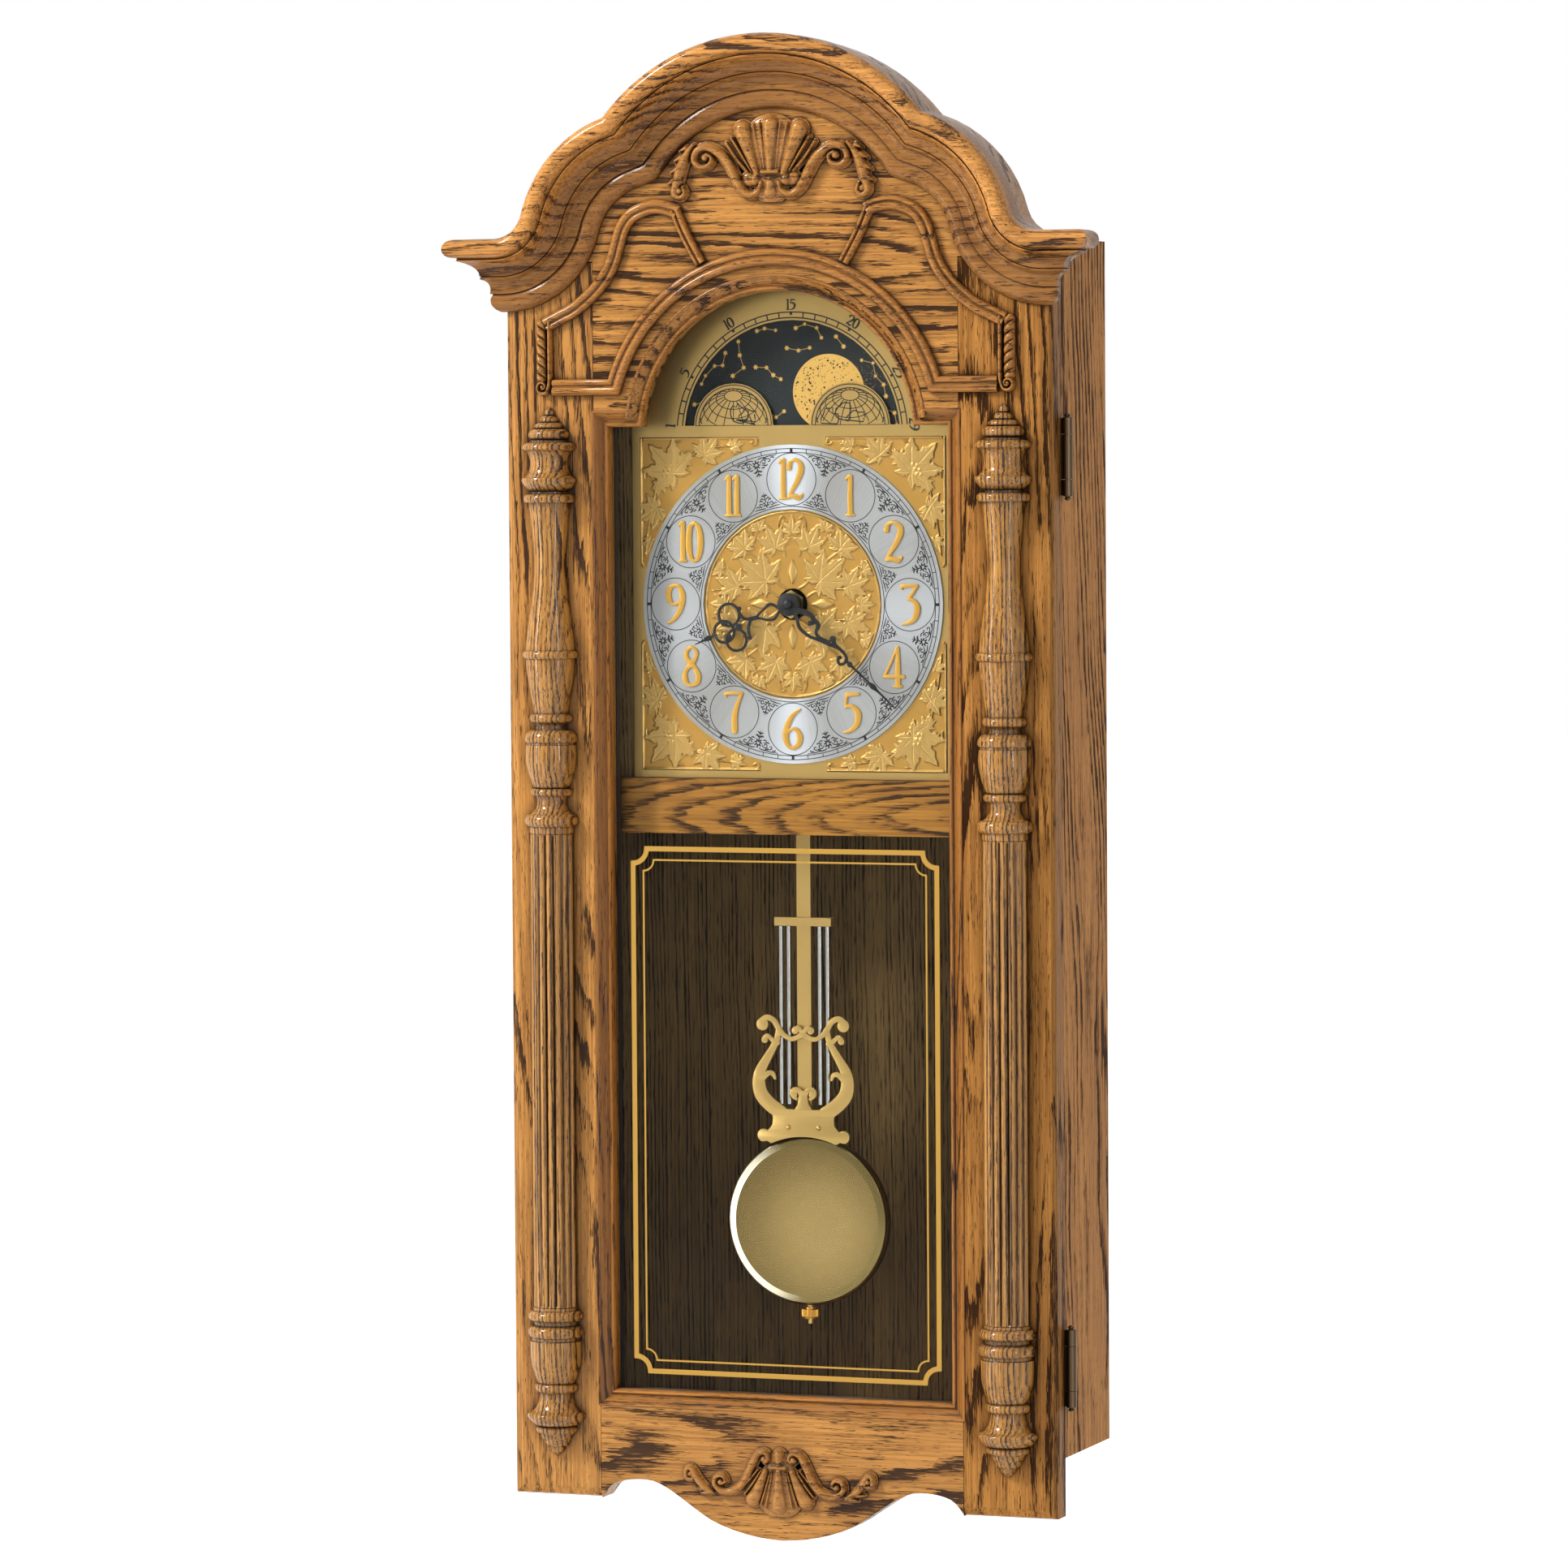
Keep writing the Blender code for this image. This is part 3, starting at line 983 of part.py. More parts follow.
def make_door():
    carrier("door_carrier", (HINGE_X, HINGE_Y, (CASE_TOP + CASE_BOTTOM) / 2))
    seam = SEAM_HALF + GAP / 2
    for side, sign in (("left", -1), ("right", 1)):
        outline = [
            (DOOR_HALF, DOOR_BOTTOM), (DOOR_HALF, STILE_TOP), (seam, STILE_TOP),
            (seam, SHOULDER_Z + STICKING_WIDTH), (SIGHT_HALF, SHOULDER_Z - GAP / 2),
            (SIGHT_HALF, SIGHT_BOTTOM + GAP / 2), (seam, SIGHT_BOTTOM - STICKING_WIDTH),
            (seam, DOOR_BOTTOM)]
        outline = [(sign * x, z) for x, z in outline]
        stile = piece(f"stile_{side}", plate(
            [outline], DOOR_FACE, DOOR_BACK, EDGE_BEVEL,
            lambda x, z: abs(abs(x) - DOOR_HALF) < GAP or z < DOOR_BOTTOM + GAP), OAK, "door_carrier")
        open_for_glass(stile, f"stile_{side}")

    rail = piece("bottom_rail", plate(
        [rail_outline()], DOOR_FACE, DOOR_BACK, EDGE_BEVEL / 2, lambda x,
        z: z < DOOR_BOTTOM + NOTCH_RISE + GAP
        and abs(x) < SEAM_HALF - GAP), OAK, "door_carrier")
    open_for_glass(rail, "bottom_rail")
    panel = piece("arch_panel", plate(
        [panel_outline()], DOOR_FACE, DOOR_BACK, EDGE_BEVEL, lambda x, z: abs(abs(x) - DOOR_HALF) < GAP),
        OAK, "door_carrier")
    open_for_glass(panel, "arch_panel")
    piece("glass", plate(
        [sight_outline(GLASS_LAP - GAP)], GLASS_FRONT, GLASS_BACK), CLEAR, "door_carrier")
    make_stops()
    make_cornice()


def open_for_glass(board, name):
    """Cuts the moulded sight edge on the face and the rabbet for the glass behind it."""
    reach = OVERRUN * STICKING_WIDTH / STICKING_DEPTH
    cut(board, f"{name}_sticking", tapered(
        sight_outline(STICKING_WIDTH + reach - GAP), sight_outline(-GAP),
        DOOR_FACE - OVERRUN, DOOR_FACE + STICKING_DEPTH))
    cut(board, f"{name}_rabbet", plate(
        [sight_outline(GLASS_LAP)], GLASS_FRONT - GAP, DOOR_BACK + OVERRUN))


def rail_outline():
    """Bottom rail: mitred to the stiles' moulding, with a scrolled apron below."""
    seam = SEAM_HALF - GAP / 2
    apron = DOOR_BOTTOM - APRON_DROP
    height = APRON_DROP + NOTCH_RISE
    lower = smooth_path([(x * seam, apron + z * height) for x, z in APRON_SHARES], 2)
    upper = [(seam, SIGHT_BOTTOM - STICKING_WIDTH), (SIGHT_HALF - GAP / 2, SIGHT_BOTTOM)]
    return [(-x, z) for x, z in upper] + upper[::-1] + lower + mirrored(lower)[1:]


def panel_outline():
    """Arched panel: mitred to the stiles' moulding, with the pediment's outline above."""
    seam = SEAM_HALF - GAP / 2
    rise = math.asin(SHOULDER_LIFT / ARCH_OPENING_RADIUS)
    arm = STILE_TOP + GAP
    top = []
    for x, z in pediment_half():
        if x < DOOR_HALF - GAP:
            top.append((x, z - PEDIMENT_INSET))
    top.append((DOOR_HALF, PEDIMENT_FLAT - PEDIMENT_INSET))
    head = arc(0, MOON_Z, ARCH_OPENING_RADIUS, math.pi - rise, rise)
    right = [
        (SIGHT_HALF - GAP / 2, SHOULDER_Z), (seam, SHOULDER_Z + STICKING_WIDTH), (seam, arm + GAP),
        (DOOR_HALF, arm)]
    return head + right + top[::-1] + mirrored(top)[::-1][1:] + mirrored(right)


def make_stops():
    """Strips that hold the glass in its rabbet, from behind."""
    front = GLASS_BACK + GAP
    back = front + STOP_THICKNESS
    outer = GLASS_LAP - GAP
    inner = GLASS_LAP - STOP_WIDTH
    bottom = SIGHT_BOTTOM - outer
    half = SIGHT_HALF + outer
    top = SHOULDER_Z - GAP
    for side, sign in (("left", -1), ("right", 1)):
        low = min(sign * half, sign * (SIGHT_HALF + inner))
        high = max(sign * half, sign * (SIGHT_HALF + inner))
        piece(f"glass_stop_{side}", box((low, front, bottom), (high, back, top)), PLASTIC, "door_carrier")
    across = SIGHT_HALF + inner - GAP
    piece("glass_stop_bottom", box(
        (-across, front, bottom), (across, back, SIGHT_BOTTOM - inner)), PLASTIC, "door_carrier")


def make_cornice():
    """Crown moulding swept along the pediment's top, with its profile returned at both ends."""
    path = pediment_half()
    end = DOOR_HALF
    right = [(x, z) for x, z in path if x < end - GAP] + [(end, PEDIMENT_FLAT)]
    path = mirrored(right) + right[1:]
    back = DOOR_FACE - GAP
    bm = bmesh.new()
    sections = []
    for index, (x, z) in enumerate(path):
        before = path[max(index - 1, 0)]
        after = path[min(index + 1, len(path) - 1)]
        slopes = []
        for one, two in ((before, (x, z)), ((x, z), after)):
            run = math.hypot(two[0] - one[0], two[1] - one[1])
            if run > 0:
                slopes.append((-(two[1] - one[1]) / run, (two[0] - one[0]) / run))
        normal = [sum(values) / len(slopes) for values in zip(*slopes)]
        size = math.hypot(*normal)
        normal = [value / size / size for value in normal]
        at_end = (index == len(path) - 1) - (index == 0)
        fronts = []
        backs = []
        for down, out in CORNICE_PROFILE_SHARES:
            depth = down * CORNICE_HEIGHT
            px = x - normal[0] * depth + at_end * out * CORNICE_RETURN
            pz = z - normal[1] * depth
            fronts.append(bm.verts.new((px, back - out * CORNICE_PROJECTION, pz)))
            backs.append(bm.verts.new((px, back, pz)))
        sections.append(fronts + backs[::-1])
    for one, two in zip(sections, sections[1:]):
        count = len(one)
        for index in range(count):
            after = (index + 1) % count
            bm.faces.new((one[index], one[after], two[after], two[index]))
    points = len(CORNICE_PROFILE_SHARES)
    for section in (sections[0], sections[-1]):
        for index in range(points - 1):
            lower = len(section) - 1 - index
            bm.faces.new((section[index], section[index + 1], section[lower - 1], section[lower]))
    piece("cornice", kept(bm, "cornice"), OAK, "door_carrier", smooth=True)


# Columns, mouldings and carvings on the door

def make_columns():
    top = PEDIMENT_FLAT - COLUMN_TOP_DROP
    face = DOOR_FACE - GAP
    profile = [(out * COLUMN_RADIUS, -down * COLUMN_LENGTH) for down, out in COLUMN_PROFILE_SHARES]
    shaft_top = top - SHAFT_TOP_SHARE * COLUMN_LENGTH - REED_GROOVE_RADIUS
    shaft_bottom = top - SHAFT_BOTTOM_SHARE * COLUMN_LENGTH + REED_GROOVE_RADIUS
    reach = COLUMN_RADIUS + OVERRUN
    for side, sign in (("left", -1), ("right", 1)):
        x = sign * COLUMN_AXIS_HALF
        column = turned(f"column_{side}", profile, OAK, "door_carrier", (x, face, top), 24)
        cut(column, f"column_{side}_back", box(
            (x - reach, face, top - COLUMN_LENGTH - OVERRUN), (x + reach, face + reach, top + OVERRUN)))
        radius = SHAFT_RADIUS_SHARE * COLUMN_RADIUS
        for reed in range(1, COLUMN_REEDS):
            turn = math.pi * reed / COLUMN_REEDS
            groove_x = x + radius * math.cos(turn)
            groove_y = face - radius * math.sin(turn)
            cut(column, f"column_{side}_groove_{reed}", rod(
                (groove_x, groove_y, shaft_bottom), (groove_x, groove_y, shaft_top), REED_GROOVE_RADIUS, 4))


def make_trims():
    front = DOOR_FACE - GAP - TRIM_THICKNESS
    back = DOOR_FACE - GAP
    foot = MOON_Z + TRIM_FOOT_LIFT
    inner_radius = ARCH_TRIM_RADIUS - TRIM_WIDTH
    outer_rise = math.asin((TRIM_FOOT_LIFT + TRIM_WIDTH) / ARCH_TRIM_RADIUS)
    inner_rise = math.asin(TRIM_FOOT_LIFT / inner_radius)
    over = arc(0, MOON_Z, ARCH_TRIM_RADIUS, outer_rise, math.pi - outer_rise, ARC_STEPS)
    under = arc(0, MOON_Z, inner_radius, math.pi - inner_rise, inner_rise, ARC_STEPS)
    foot_half = ROPE_HALF - ROPE_WIDTH / 2 - GAP
    left_foot = [(-foot_half, foot + TRIM_WIDTH), (-foot_half, foot)]
    right_foot = [(foot_half, foot), (foot_half, foot + TRIM_WIDTH)]
    piece("arch_trim", plate([over + left_foot + under + right_foot], front, back, TRIM_BEVEL), OAK,
        "door_carrier")

    bands = ((ROPE_PATH_SHARES, ROPE_WIDTH), (SCROLL_PATH_SHARES, SCROLL_WIDTH),
        (STRUT_PATH_SHARES, STRUT_WIDTH))
    path = []
    widths = []
    for shares, width in bands:
        path += [(x * ROPE_HALF, MOON_Z + z * SCROLL_RISE) for x, z in shares]
        widths += [width] * len(shares)
    outline = ribbon(path, widths)
    for side, loop in (("left", mirrored(outline)), ("right", outline)):
        piece(f"scroll_trim_{side}", plate([loop], front, back, TRIM_BEVEL), OAK, "door_carrier")

    crown_top = PEDIMENT_TOP - CROWN_DROP
    crown = symmetric(CROWN_OUTLINE_SHARES, CROWN_HALF_WIDTH, CROWN_HEIGHT, crown_top - CROWN_HEIGHT)
    piece("crown_carving", plate(
        [crown], back - CROWN_THICKNESS, back, CARVING_BEVEL), OAK, "door_carrier")
    base_foot = DOOR_BOTTOM - APRON_DROP + BASE_LIFT
    base = symmetric(BASE_OUTLINE_SHARES, BASE_HALF_WIDTH, BASE_HEIGHT, base_foot)
    piece("base_carving", plate([base], back - BASE_THICKNESS, back, CARVING_BEVEL), OAK, "door_carrier")


def smooth_path(points, steps):
    """Points along a curve that passes through each given point."""
    path = []
    ends = [points[0]] + list(points) + [points[-1]]
    for a, b, c, d in zip(ends, ends[1:], ends[2:], ends[3:]):
        for step in range(steps):
            t = step / steps
            path.append(tuple(
                (2 * b[k] + (c[k] - a[k]) * t + (2 * a[k] - 5 * b[k] + 4 * c[k] - d[k]) * t * t
                 + (3 * b[k] - a[k] - 3 * c[k] + d[k]) * t ** 3) / 2 for k in (0, 1)))
    path.append(points[-1])
    return path


# Hinges and catch

def make_hinges():
    places = (("upper", CASE_TOP - UPPER_HINGE_DROP), ("lower", CASE_BOTTOM + LOWER_HINGE_LIFT))
    half = HINGE_LENGTH / 2
    for name, middle in places:
        low = middle - half
        high = middle + half
        leaf_end = INNER_HALF + LEAF_INSET
        case_y = CASE_FRONT - GAP / 2
        case_leaf = piece(f"hinge_leaf_case_{name}", box(
            (leaf_end, case_y - LEAF_THICKNESS, low), (HINGE_X, case_y, high)), BRONZE)
        join(case_leaf, f"{name}_case_knuckles", rod(
            (HINGE_X, HINGE_Y, low), (HINGE_X, HINGE_Y, high), BARREL_RADIUS))
        clear = BARREL_RADIUS + GAP * 2
        cut(case_leaf, f"{name}_case_gap", box(
            (HINGE_X - clear, HINGE_Y - clear, low + KNUCKLE_END),
            (HINGE_X + clear, HINGE_Y + clear, high - KNUCKLE_END)))
        bore_leaf(case_leaf, f"{name}_case_bore", low, high)

        door_y = DOOR_BACK + GAP / 2
        middle_low = low + KNUCKLE_END + GAP
        middle_high = high - KNUCKLE_END - GAP
        door_leaf = piece(f"hinge_leaf_door_{name}", box(
            (leaf_end, door_y, low), (HINGE_X - clear, door_y + LEAF_THICKNESS, high)), BRONZE,
            "door_carrier")
        join(door_leaf, f"{name}_door_neck", box(
            (HINGE_X - clear - OVERRUN, door_y, middle_low),
            (HINGE_X, door_y + LEAF_THICKNESS, middle_high)))
        join(door_leaf, f"{name}_door_knuckle", rod(
            (HINGE_X, HINGE_Y, middle_low), (HINGE_X, HINGE_Y, middle_high), BARREL_RADIUS))
        bore_leaf(door_leaf, f"{name}_door_bore", low, high)
        piece(f"hinge_pin_{name}", rod(
            (HINGE_X, HINGE_Y, low + GAP), (HINGE_X, HINGE_Y, high - GAP), PIN_RADIUS), BRONZE, smooth=True)


def bore_leaf(leaf, name, low, high):
    cut(leaf, name, rod(
        (HINGE_X, HINGE_Y, low - OVERRUN), (HINGE_X, HINGE_Y, high + OVERRUN), PIN_RADIUS + RUNNING))


def make_catch():
    z = CROSSBAR_TOP - CROSSBAR_HEIGHT * 2
    outer = -(INNER_HALF - GAP)
    front = CASE_FRONT - GAP / 2
    piece("catch_magnet", box(
        (outer, front, z - CATCH_LENGTH / 2),
        (outer + CATCH_HEIGHT, front + CATCH_DEPTH, z + CATCH_LENGTH / 2)),
        PLASTIC)
    strike_back = DOOR_BACK + GAP / 2
    piece("strike_plate", box(
        (outer, strike_back, z - CATCH_LENGTH / 2),
        (outer + CATCH_HEIGHT, strike_back + STRIKE_THICKNESS, z + CATCH_LENGTH / 2)), STEEL,
        "door_carrier")


make_case()
make_dial()
make_movement()
make_hands()
make_pendulum()
make_door()
make_columns()
make_trims()
make_hinges()
make_catch()
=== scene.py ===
import math

import bmesh
import bpy
import numpy as np
from mathutils import Matrix, Vector


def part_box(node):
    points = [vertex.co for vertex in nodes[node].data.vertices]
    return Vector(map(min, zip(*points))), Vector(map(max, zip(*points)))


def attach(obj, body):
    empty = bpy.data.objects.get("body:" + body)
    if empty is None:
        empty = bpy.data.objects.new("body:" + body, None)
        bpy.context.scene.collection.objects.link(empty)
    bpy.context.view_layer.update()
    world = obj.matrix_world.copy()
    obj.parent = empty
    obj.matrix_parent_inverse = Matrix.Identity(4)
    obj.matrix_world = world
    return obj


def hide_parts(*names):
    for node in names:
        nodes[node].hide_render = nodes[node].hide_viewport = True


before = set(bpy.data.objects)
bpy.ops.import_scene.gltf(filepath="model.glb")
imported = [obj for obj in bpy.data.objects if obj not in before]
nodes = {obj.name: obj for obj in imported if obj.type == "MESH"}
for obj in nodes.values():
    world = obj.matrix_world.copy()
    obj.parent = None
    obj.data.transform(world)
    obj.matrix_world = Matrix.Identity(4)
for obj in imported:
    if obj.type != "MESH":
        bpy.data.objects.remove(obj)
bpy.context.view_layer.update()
scene = bpy.context.scene


# Node helpers

def plug(tree, socket, value):
    if isinstance(value, bpy.types.NodeSocket):
        tree.links.new(value, socket)
    elif isinstance(value, (tuple, list)) and len(value) == 3 and socket.type == "RGBA":
        socket.default_value = (*value, 1)
    else:
        socket.default_value = value


def plugAll(tree, node, inputs):
    for name, value in inputs.items():
        plug(tree, node.inputs[name], value)


def addNode(tree, kind, inputs=None, **settings):
    node = tree.nodes.new(kind)
    for name, value in settings.items():
        setattr(node, name, value)
    plugAll(tree, node, inputs or {})
    return node


def calc(tree, operation, *values, clamp=False):
    inputs = dict(enumerate(values))
    return addNode(tree, "ShaderNodeMath", inputs, operation=operation, use_clamp=clamp).outputs[0]


def vectorCalc(tree, operation, *values):
    return addNode(tree, "ShaderNodeVectorMath", dict(enumerate(values)), operation=operation).outputs[0]


def axesOf(tree, vector):
    return addNode(tree, "ShaderNodeSeparateXYZ", {"Vector": vector}).outputs


def blendColour(tree, factor, one, two, mode="MIX"):
    inputs = {0: factor, 6: one, 7: two}
    return addNode(tree, "ShaderNodeMix", inputs, data_type="RGBA", blend_type=mode).outputs[2]


def ramp(tree, value, low, high, start=0.0, end=1.0):
    inputs = {"Value": value, "From Min": low, "From Max": high, "To Min": start, "To Max": end}
    return addNode(tree, "ShaderNodeMapRange", inputs, interpolation_type="SMOOTHSTEP").outputs[0]


def cloud(tree, vector, scale, detail=2.0, rough=0.5, output="Fac"):
    inputs = {"Vector": vector, "Scale": scale, "Detail": detail, "Roughness": rough}
    return addNode(tree, "ShaderNodeTexNoise", inputs).outputs[output]


def streaks(tree, vector, stretch, detail=2.0, rough=0.5):
    return cloud(tree, vectorCalc(tree, "MULTIPLY", vector, stretch), 1.0, detail, rough)


def bumped(tree, height, strength, distance):
    inputs = {"Height": height, "Strength": strength, "Distance": distance}
    return addNode(tree, "ShaderNodeBump", inputs).outputs[0]


def newGroup(name, inputs, outputs):
    group = bpy.data.node_groups.new(name, "ShaderNodeTree")
    for label, kind, value in inputs:
        socket = group.interface.new_socket(label, in_out="INPUT", socket_type=f"NodeSocket{kind}")
        if value is not None:
            socket.default_value = (*value, 1) if kind == "Color" else value
    for label, kind in outputs:
        group.interface.new_socket(label, in_out="OUTPUT", socket_type=f"NodeSocket{kind}")
    return group, addNode(group, "NodeGroupInput").outputs, addNode(group, "NodeGroupOutput")


def useGroup(tree, group, inputs):
    return addNode(tree, "ShaderNodeGroup", inputs, node_tree=group).outputs


def srgb(red, green, blue):
    values = []
    for value in (red / 255, green / 255, blue / 255):
        values.append(value / 12.92 if value < 0.04045 else ((value + 0.055) / 1.055) ** 2.4)
    return tuple(values)


# Shared effects

surface = (("Color", "Color"), ("Height", "Float"), ("Roughness", "Float"))
grainLook = {
    "drift": (1.0, 1.0, 0.32), "driftScale": 9.0, "lean": 0.1, "patch": (28.0, 28.0, 9.0),
    # stretch, detail and weight of the ragged edges of the rings
    "ragged": (((210.0, 210.0, 16.0), 3.0, 1.0), ((1100.0, 1100.0, 60.0), 2.0, 0.5)),
    # stretch, weight and limit of fine and coarse pores
    "pores": (((1900.0, 1900.0, 110.0), -0.3, 0.645), ((900.0, 900.0, 40.0), -0.28, 0.695)),
    "fibre": (620.0, 620.0, 13.0),
}


def makeOakGrain():
    # rings round a trunk's axis along Z, with open pores in the early wood
    group, given, result = newGroup("oakGrain", (
        ("Vector", "Vector", None), ("Ring Width", "Float", 0.007), ("Wander", "Float", 0.03),
        ("Contrast", "Float", 1.0), ("Even", "Float", 0.2), ("Light", "Color", (0.5, 0.25, 0.05)),
        ("Warm", "Color", (0.4, 0.15, 0.03)), ("Pore", "Color", (0.06, 0.03, 0.01))), surface)
    place = given["Vector"]
    slow = vectorCalc(group, "MULTIPLY", place, grainLook["drift"])
    drift = cloud(group, slow, grainLook["driftScale"], output="Color")
    drift = vectorCalc(group, "SUBTRACT", drift, (0.5, 0.5, 0.5))
    drift = addNode(group, "ShaderNodeVectorMath", {0: drift, "Scale": given["Wander"]}, operation="SCALE")
    parts = axesOf(group, vectorCalc(group, "ADD", place, drift.outputs[0]))
    lean = calc(group, "MULTIPLY_ADD", parts["Z"], grainLook["lean"], parts["Y"])
    away = calc(group, "MULTIPLY_ADD", parts["X"], parts["X"], calc(group, "MULTIPLY", lean, lean))
    rings = calc(group, "DIVIDE", calc(group, "SQRT", away), given["Ring Width"])
    for stretch, detail, weight in grainLook["ragged"]:
        ragged = streaks(group, place, stretch, detail, 0.6)
        rings = calc(group, "MULTIPLY_ADD", ragged, weight, rings)
    number = {"W": calc(group, "FLOOR", rings)}
    each = addNode(group, "ShaderNodeTexWhiteNoise", number, noise_dimensions="1D")
    early = calc(group, "SUBTRACT", 1.0, ramp(group, calc(group, "FRACT", rings), 0.05, 0.62))
    early = calc(group, "MULTIPLY", early, ramp(group, each.outputs["Value"], 0.0, 1.0, 0.35, 1.0))
    patch = streaks(group, place, grainLook["patch"])
    early = calc(group, "MULTIPLY", early, ramp(group, patch, 0.38, 0.6, given["Even"], 1.0))
    early = calc(group, "MULTIPLY", early, given["Contrast"])
    dark = None
    for size, weight, bias in grainLook["pores"]:
        pores = streaks(group, place, size, 2.0, 0.55)
        limit = calc(group, "MULTIPLY_ADD", early, weight, bias)
        found = ramp(group, calc(group, "SUBTRACT", pores, limit), -0.03, 0.06)
        dark = found if dark is None else calc(group, "MAXIMUM", dark, found)
    fibre = streaks(group, place, grainLook["fibre"], 4.0, 0.6)
    tone = calc(group, "MULTIPLY_ADD", early, 0.5, ramp(group, fibre, 0.32, 0.7, 0.0, 0.55))
    tone = calc(group, "MULTIPLY_ADD", patch, 0.55, calc(group, "SUBTRACT", tone, 0.22), clamp=True)
    base = blendColour(group, tone, given["Light"], given["Warm"])
    plugAll(group, result, {
        "Color": blendColour(group, calc(group, "MULTIPLY", dark, 0.92), base, given["Pore"]),
        "Height": calc(group, "SUBTRACT", fibre, calc(group, "MULTIPLY", dark, 1.6)),
        "Roughness": calc(group, "MULTIPLY_ADD", dark, 0.22, 0.36)})
    return group


def makeCrevice():
    # dark glaze of the finish in corners and hollows, with painted shade: darker wherever ambient occlusion
    # finds surfaces close by
    group, given, result = newGroup("glazeAndShade", (
        ("Color", "Color", (0.5, 0.3, 0.1)), ("GlazeShade", "Color", (0.02, 0.01, 0.005)),
        ("Reach", "Float", 0.005), ("Amount", "Float", 0.8)), surface[:1])
    hidden = addNode(group, "ShaderNodeAmbientOcclusion", {"Distance": given["Reach"]}, samples=5)
    clear = ramp(group, hidden.outputs["AO"], 0.42, 0.94)
    mask = calc(group, "MULTIPLY", calc(group, "SUBTRACT", 1.0, clear), given["Amount"])
    plug(group, result.inputs["Color"], blendColour(group, mask, given["Color"], given["GlazeShade"]))
    return group


def makeBrushed():
    # fine lines along one direction, and a faint unevenness
    group, given, result = newGroup("brushedMetal", (
        ("Vector", "Vector", None), ("Stretch", "Vector", (1.0, 1.0, 1.0)),
        ("Color", "Color", (0.6, 0.4, 0.1)), ("Strength", "Float", 0.2)), surface)
    lines = streaks(group, given["Vector"], given["Stretch"], 3.0, 0.6)
    smudge = cloud(group, given["Vector"], 14.0, 3.0)
    change = calc(group, "MULTIPLY_ADD", lines, given["Strength"], calc(group, "MULTIPLY", smudge, 0.1))
    darker = blendColour(group, 1.0, given["Color"], (0.62, 0.58, 0.52), "MULTIPLY")
    plugAll(group, result, {
        "Color": blendColour(group, change, given["Color"], darker), "Height": lines,
        "Roughness": calc(group, "MULTIPLY_ADD", smudge, 0.14, 0.24)})
    return group


def makeDust():
    # a thin film on upward faces
    group, given, result = newGroup("dustFilm", (
        ("Color", "Color", (0.5, 0.3, 0.1)), ("Dust", "Color", (0.5, 0.47, 0.42)),
        ("Amount", "Float", 0.1)), surface[:1])
    facing = axesOf(group, addNode(group, "ShaderNodeNewGeometry").outputs["Normal"])["Z"]
    spots = cloud(group, addNode(group, "ShaderNodeTexCoord").outputs["Object"], 60.0, 4.0)
    mask = calc(group, "MULTIPLY", ramp(group, facing, 0.55, 1.0), ramp(group, spots, 0.35, 0.7))
    mask = calc(group, "MULTIPLY", mask, given["Amount"])
    plug(group, result.inputs["Color"], blendColour(group, mask, given["Color"], given["Dust"]))
    return group


oakGrain = makeOakGrain()
glazeAndShade = makeCrevice()
brushedMetal = makeBrushed()
dustFilm = makeDust()


# Finishes

def newMaterial(name):
    material = bpy.data.materials.new(name)
    material.use_nodes = True
    tree = material.node_tree
    where = addNode(tree, "ShaderNodeTexCoord").outputs["Object"]
    return material, tree, tree.nodes["Principled BSDF"], where


oakLook = {
    "trunk": (0.0, 0.03, 0.0),
    "ring": 0.0075,
    "wander": 0.045,
    "contrast": 1.0,
    "even": 0.2,
    "light": srgb(218, 154, 80),
    "warm": srgb(112, 67, 29),
    "pore": srgb(46, 27, 13),
    # colour of the glaze and painted shade in corners and hollows, with its amount and reach
    "glazeShade": srgb(40, 23, 11),
    "amount": 0.92,
    "reach": 0.009,
    "dust": 0.12,
    # painted shade where a moulding lies deep: depths and amount, then its colour
    "hollow": None,
    "deepShade": srgb(84, 48, 21),
    "coat": 0.24,
    "coatRoughness": 0.12,
    "specular": 0.1,
    "sheenTint": (0.95, 0.62, 0.34),
    "grainDepth": 0.00012,
}


def woodMaterial(name, across=False, **changes):
    look = {**oakLook, **changes}
    material, tree, shader, where = newMaterial(name)
    turn = (0.0, math.pi / 2, 0.0) if across else (0.0, 0.0, 0.0)
    moved = vectorCalc(tree, "SUBTRACT", where, look["trunk"])
    aligned = addNode(tree, "ShaderNodeMapping", {"Vector": moved, "Rotation": turn}).outputs[0]
    own = {key.title(): look[key] for key in ("wander", "contrast", "even", "light", "warm", "pore")}
    grain = useGroup(tree, oakGrain, {"Vector": aligned, "Ring Width": look["ring"], **own})
    grainAndDeepShade = grain["Color"]
    if look["hollow"]:
        # painted shade: darker where the moulding lies deep
        deep = ramp(tree, axesOf(tree, where)["Y"], *look["hollow"])
        grainAndDeepShade = blendColour(tree, deep, grainAndDeepShade, look["deepShade"])
    # glaze and painted shade in corners and hollows, from ambient occlusion
    glazedShaded = useGroup(tree, glazeAndShade, {
        "Color": grainAndDeepShade, "GlazeShade": look["glazeShade"], "Reach": look["reach"], "Amount": look["amount"]})
    dusty = useGroup(tree, dustFilm, {"Color": glazedShaded["Color"], "Amount": look["dust"]})
    plugAll(tree, shader, {
        "Base Color": dusty["Color"], "Roughness": grain["Roughness"],
        "Specular IOR Level": look["specular"], "Specular Tint": look["sheenTint"],
        "Coat Weight": look["coat"], "Coat Roughness": look["coatRoughness"],
        "Normal": bumped(tree, grain["Height"], 0.5, look["grainDepth"])})
    return material


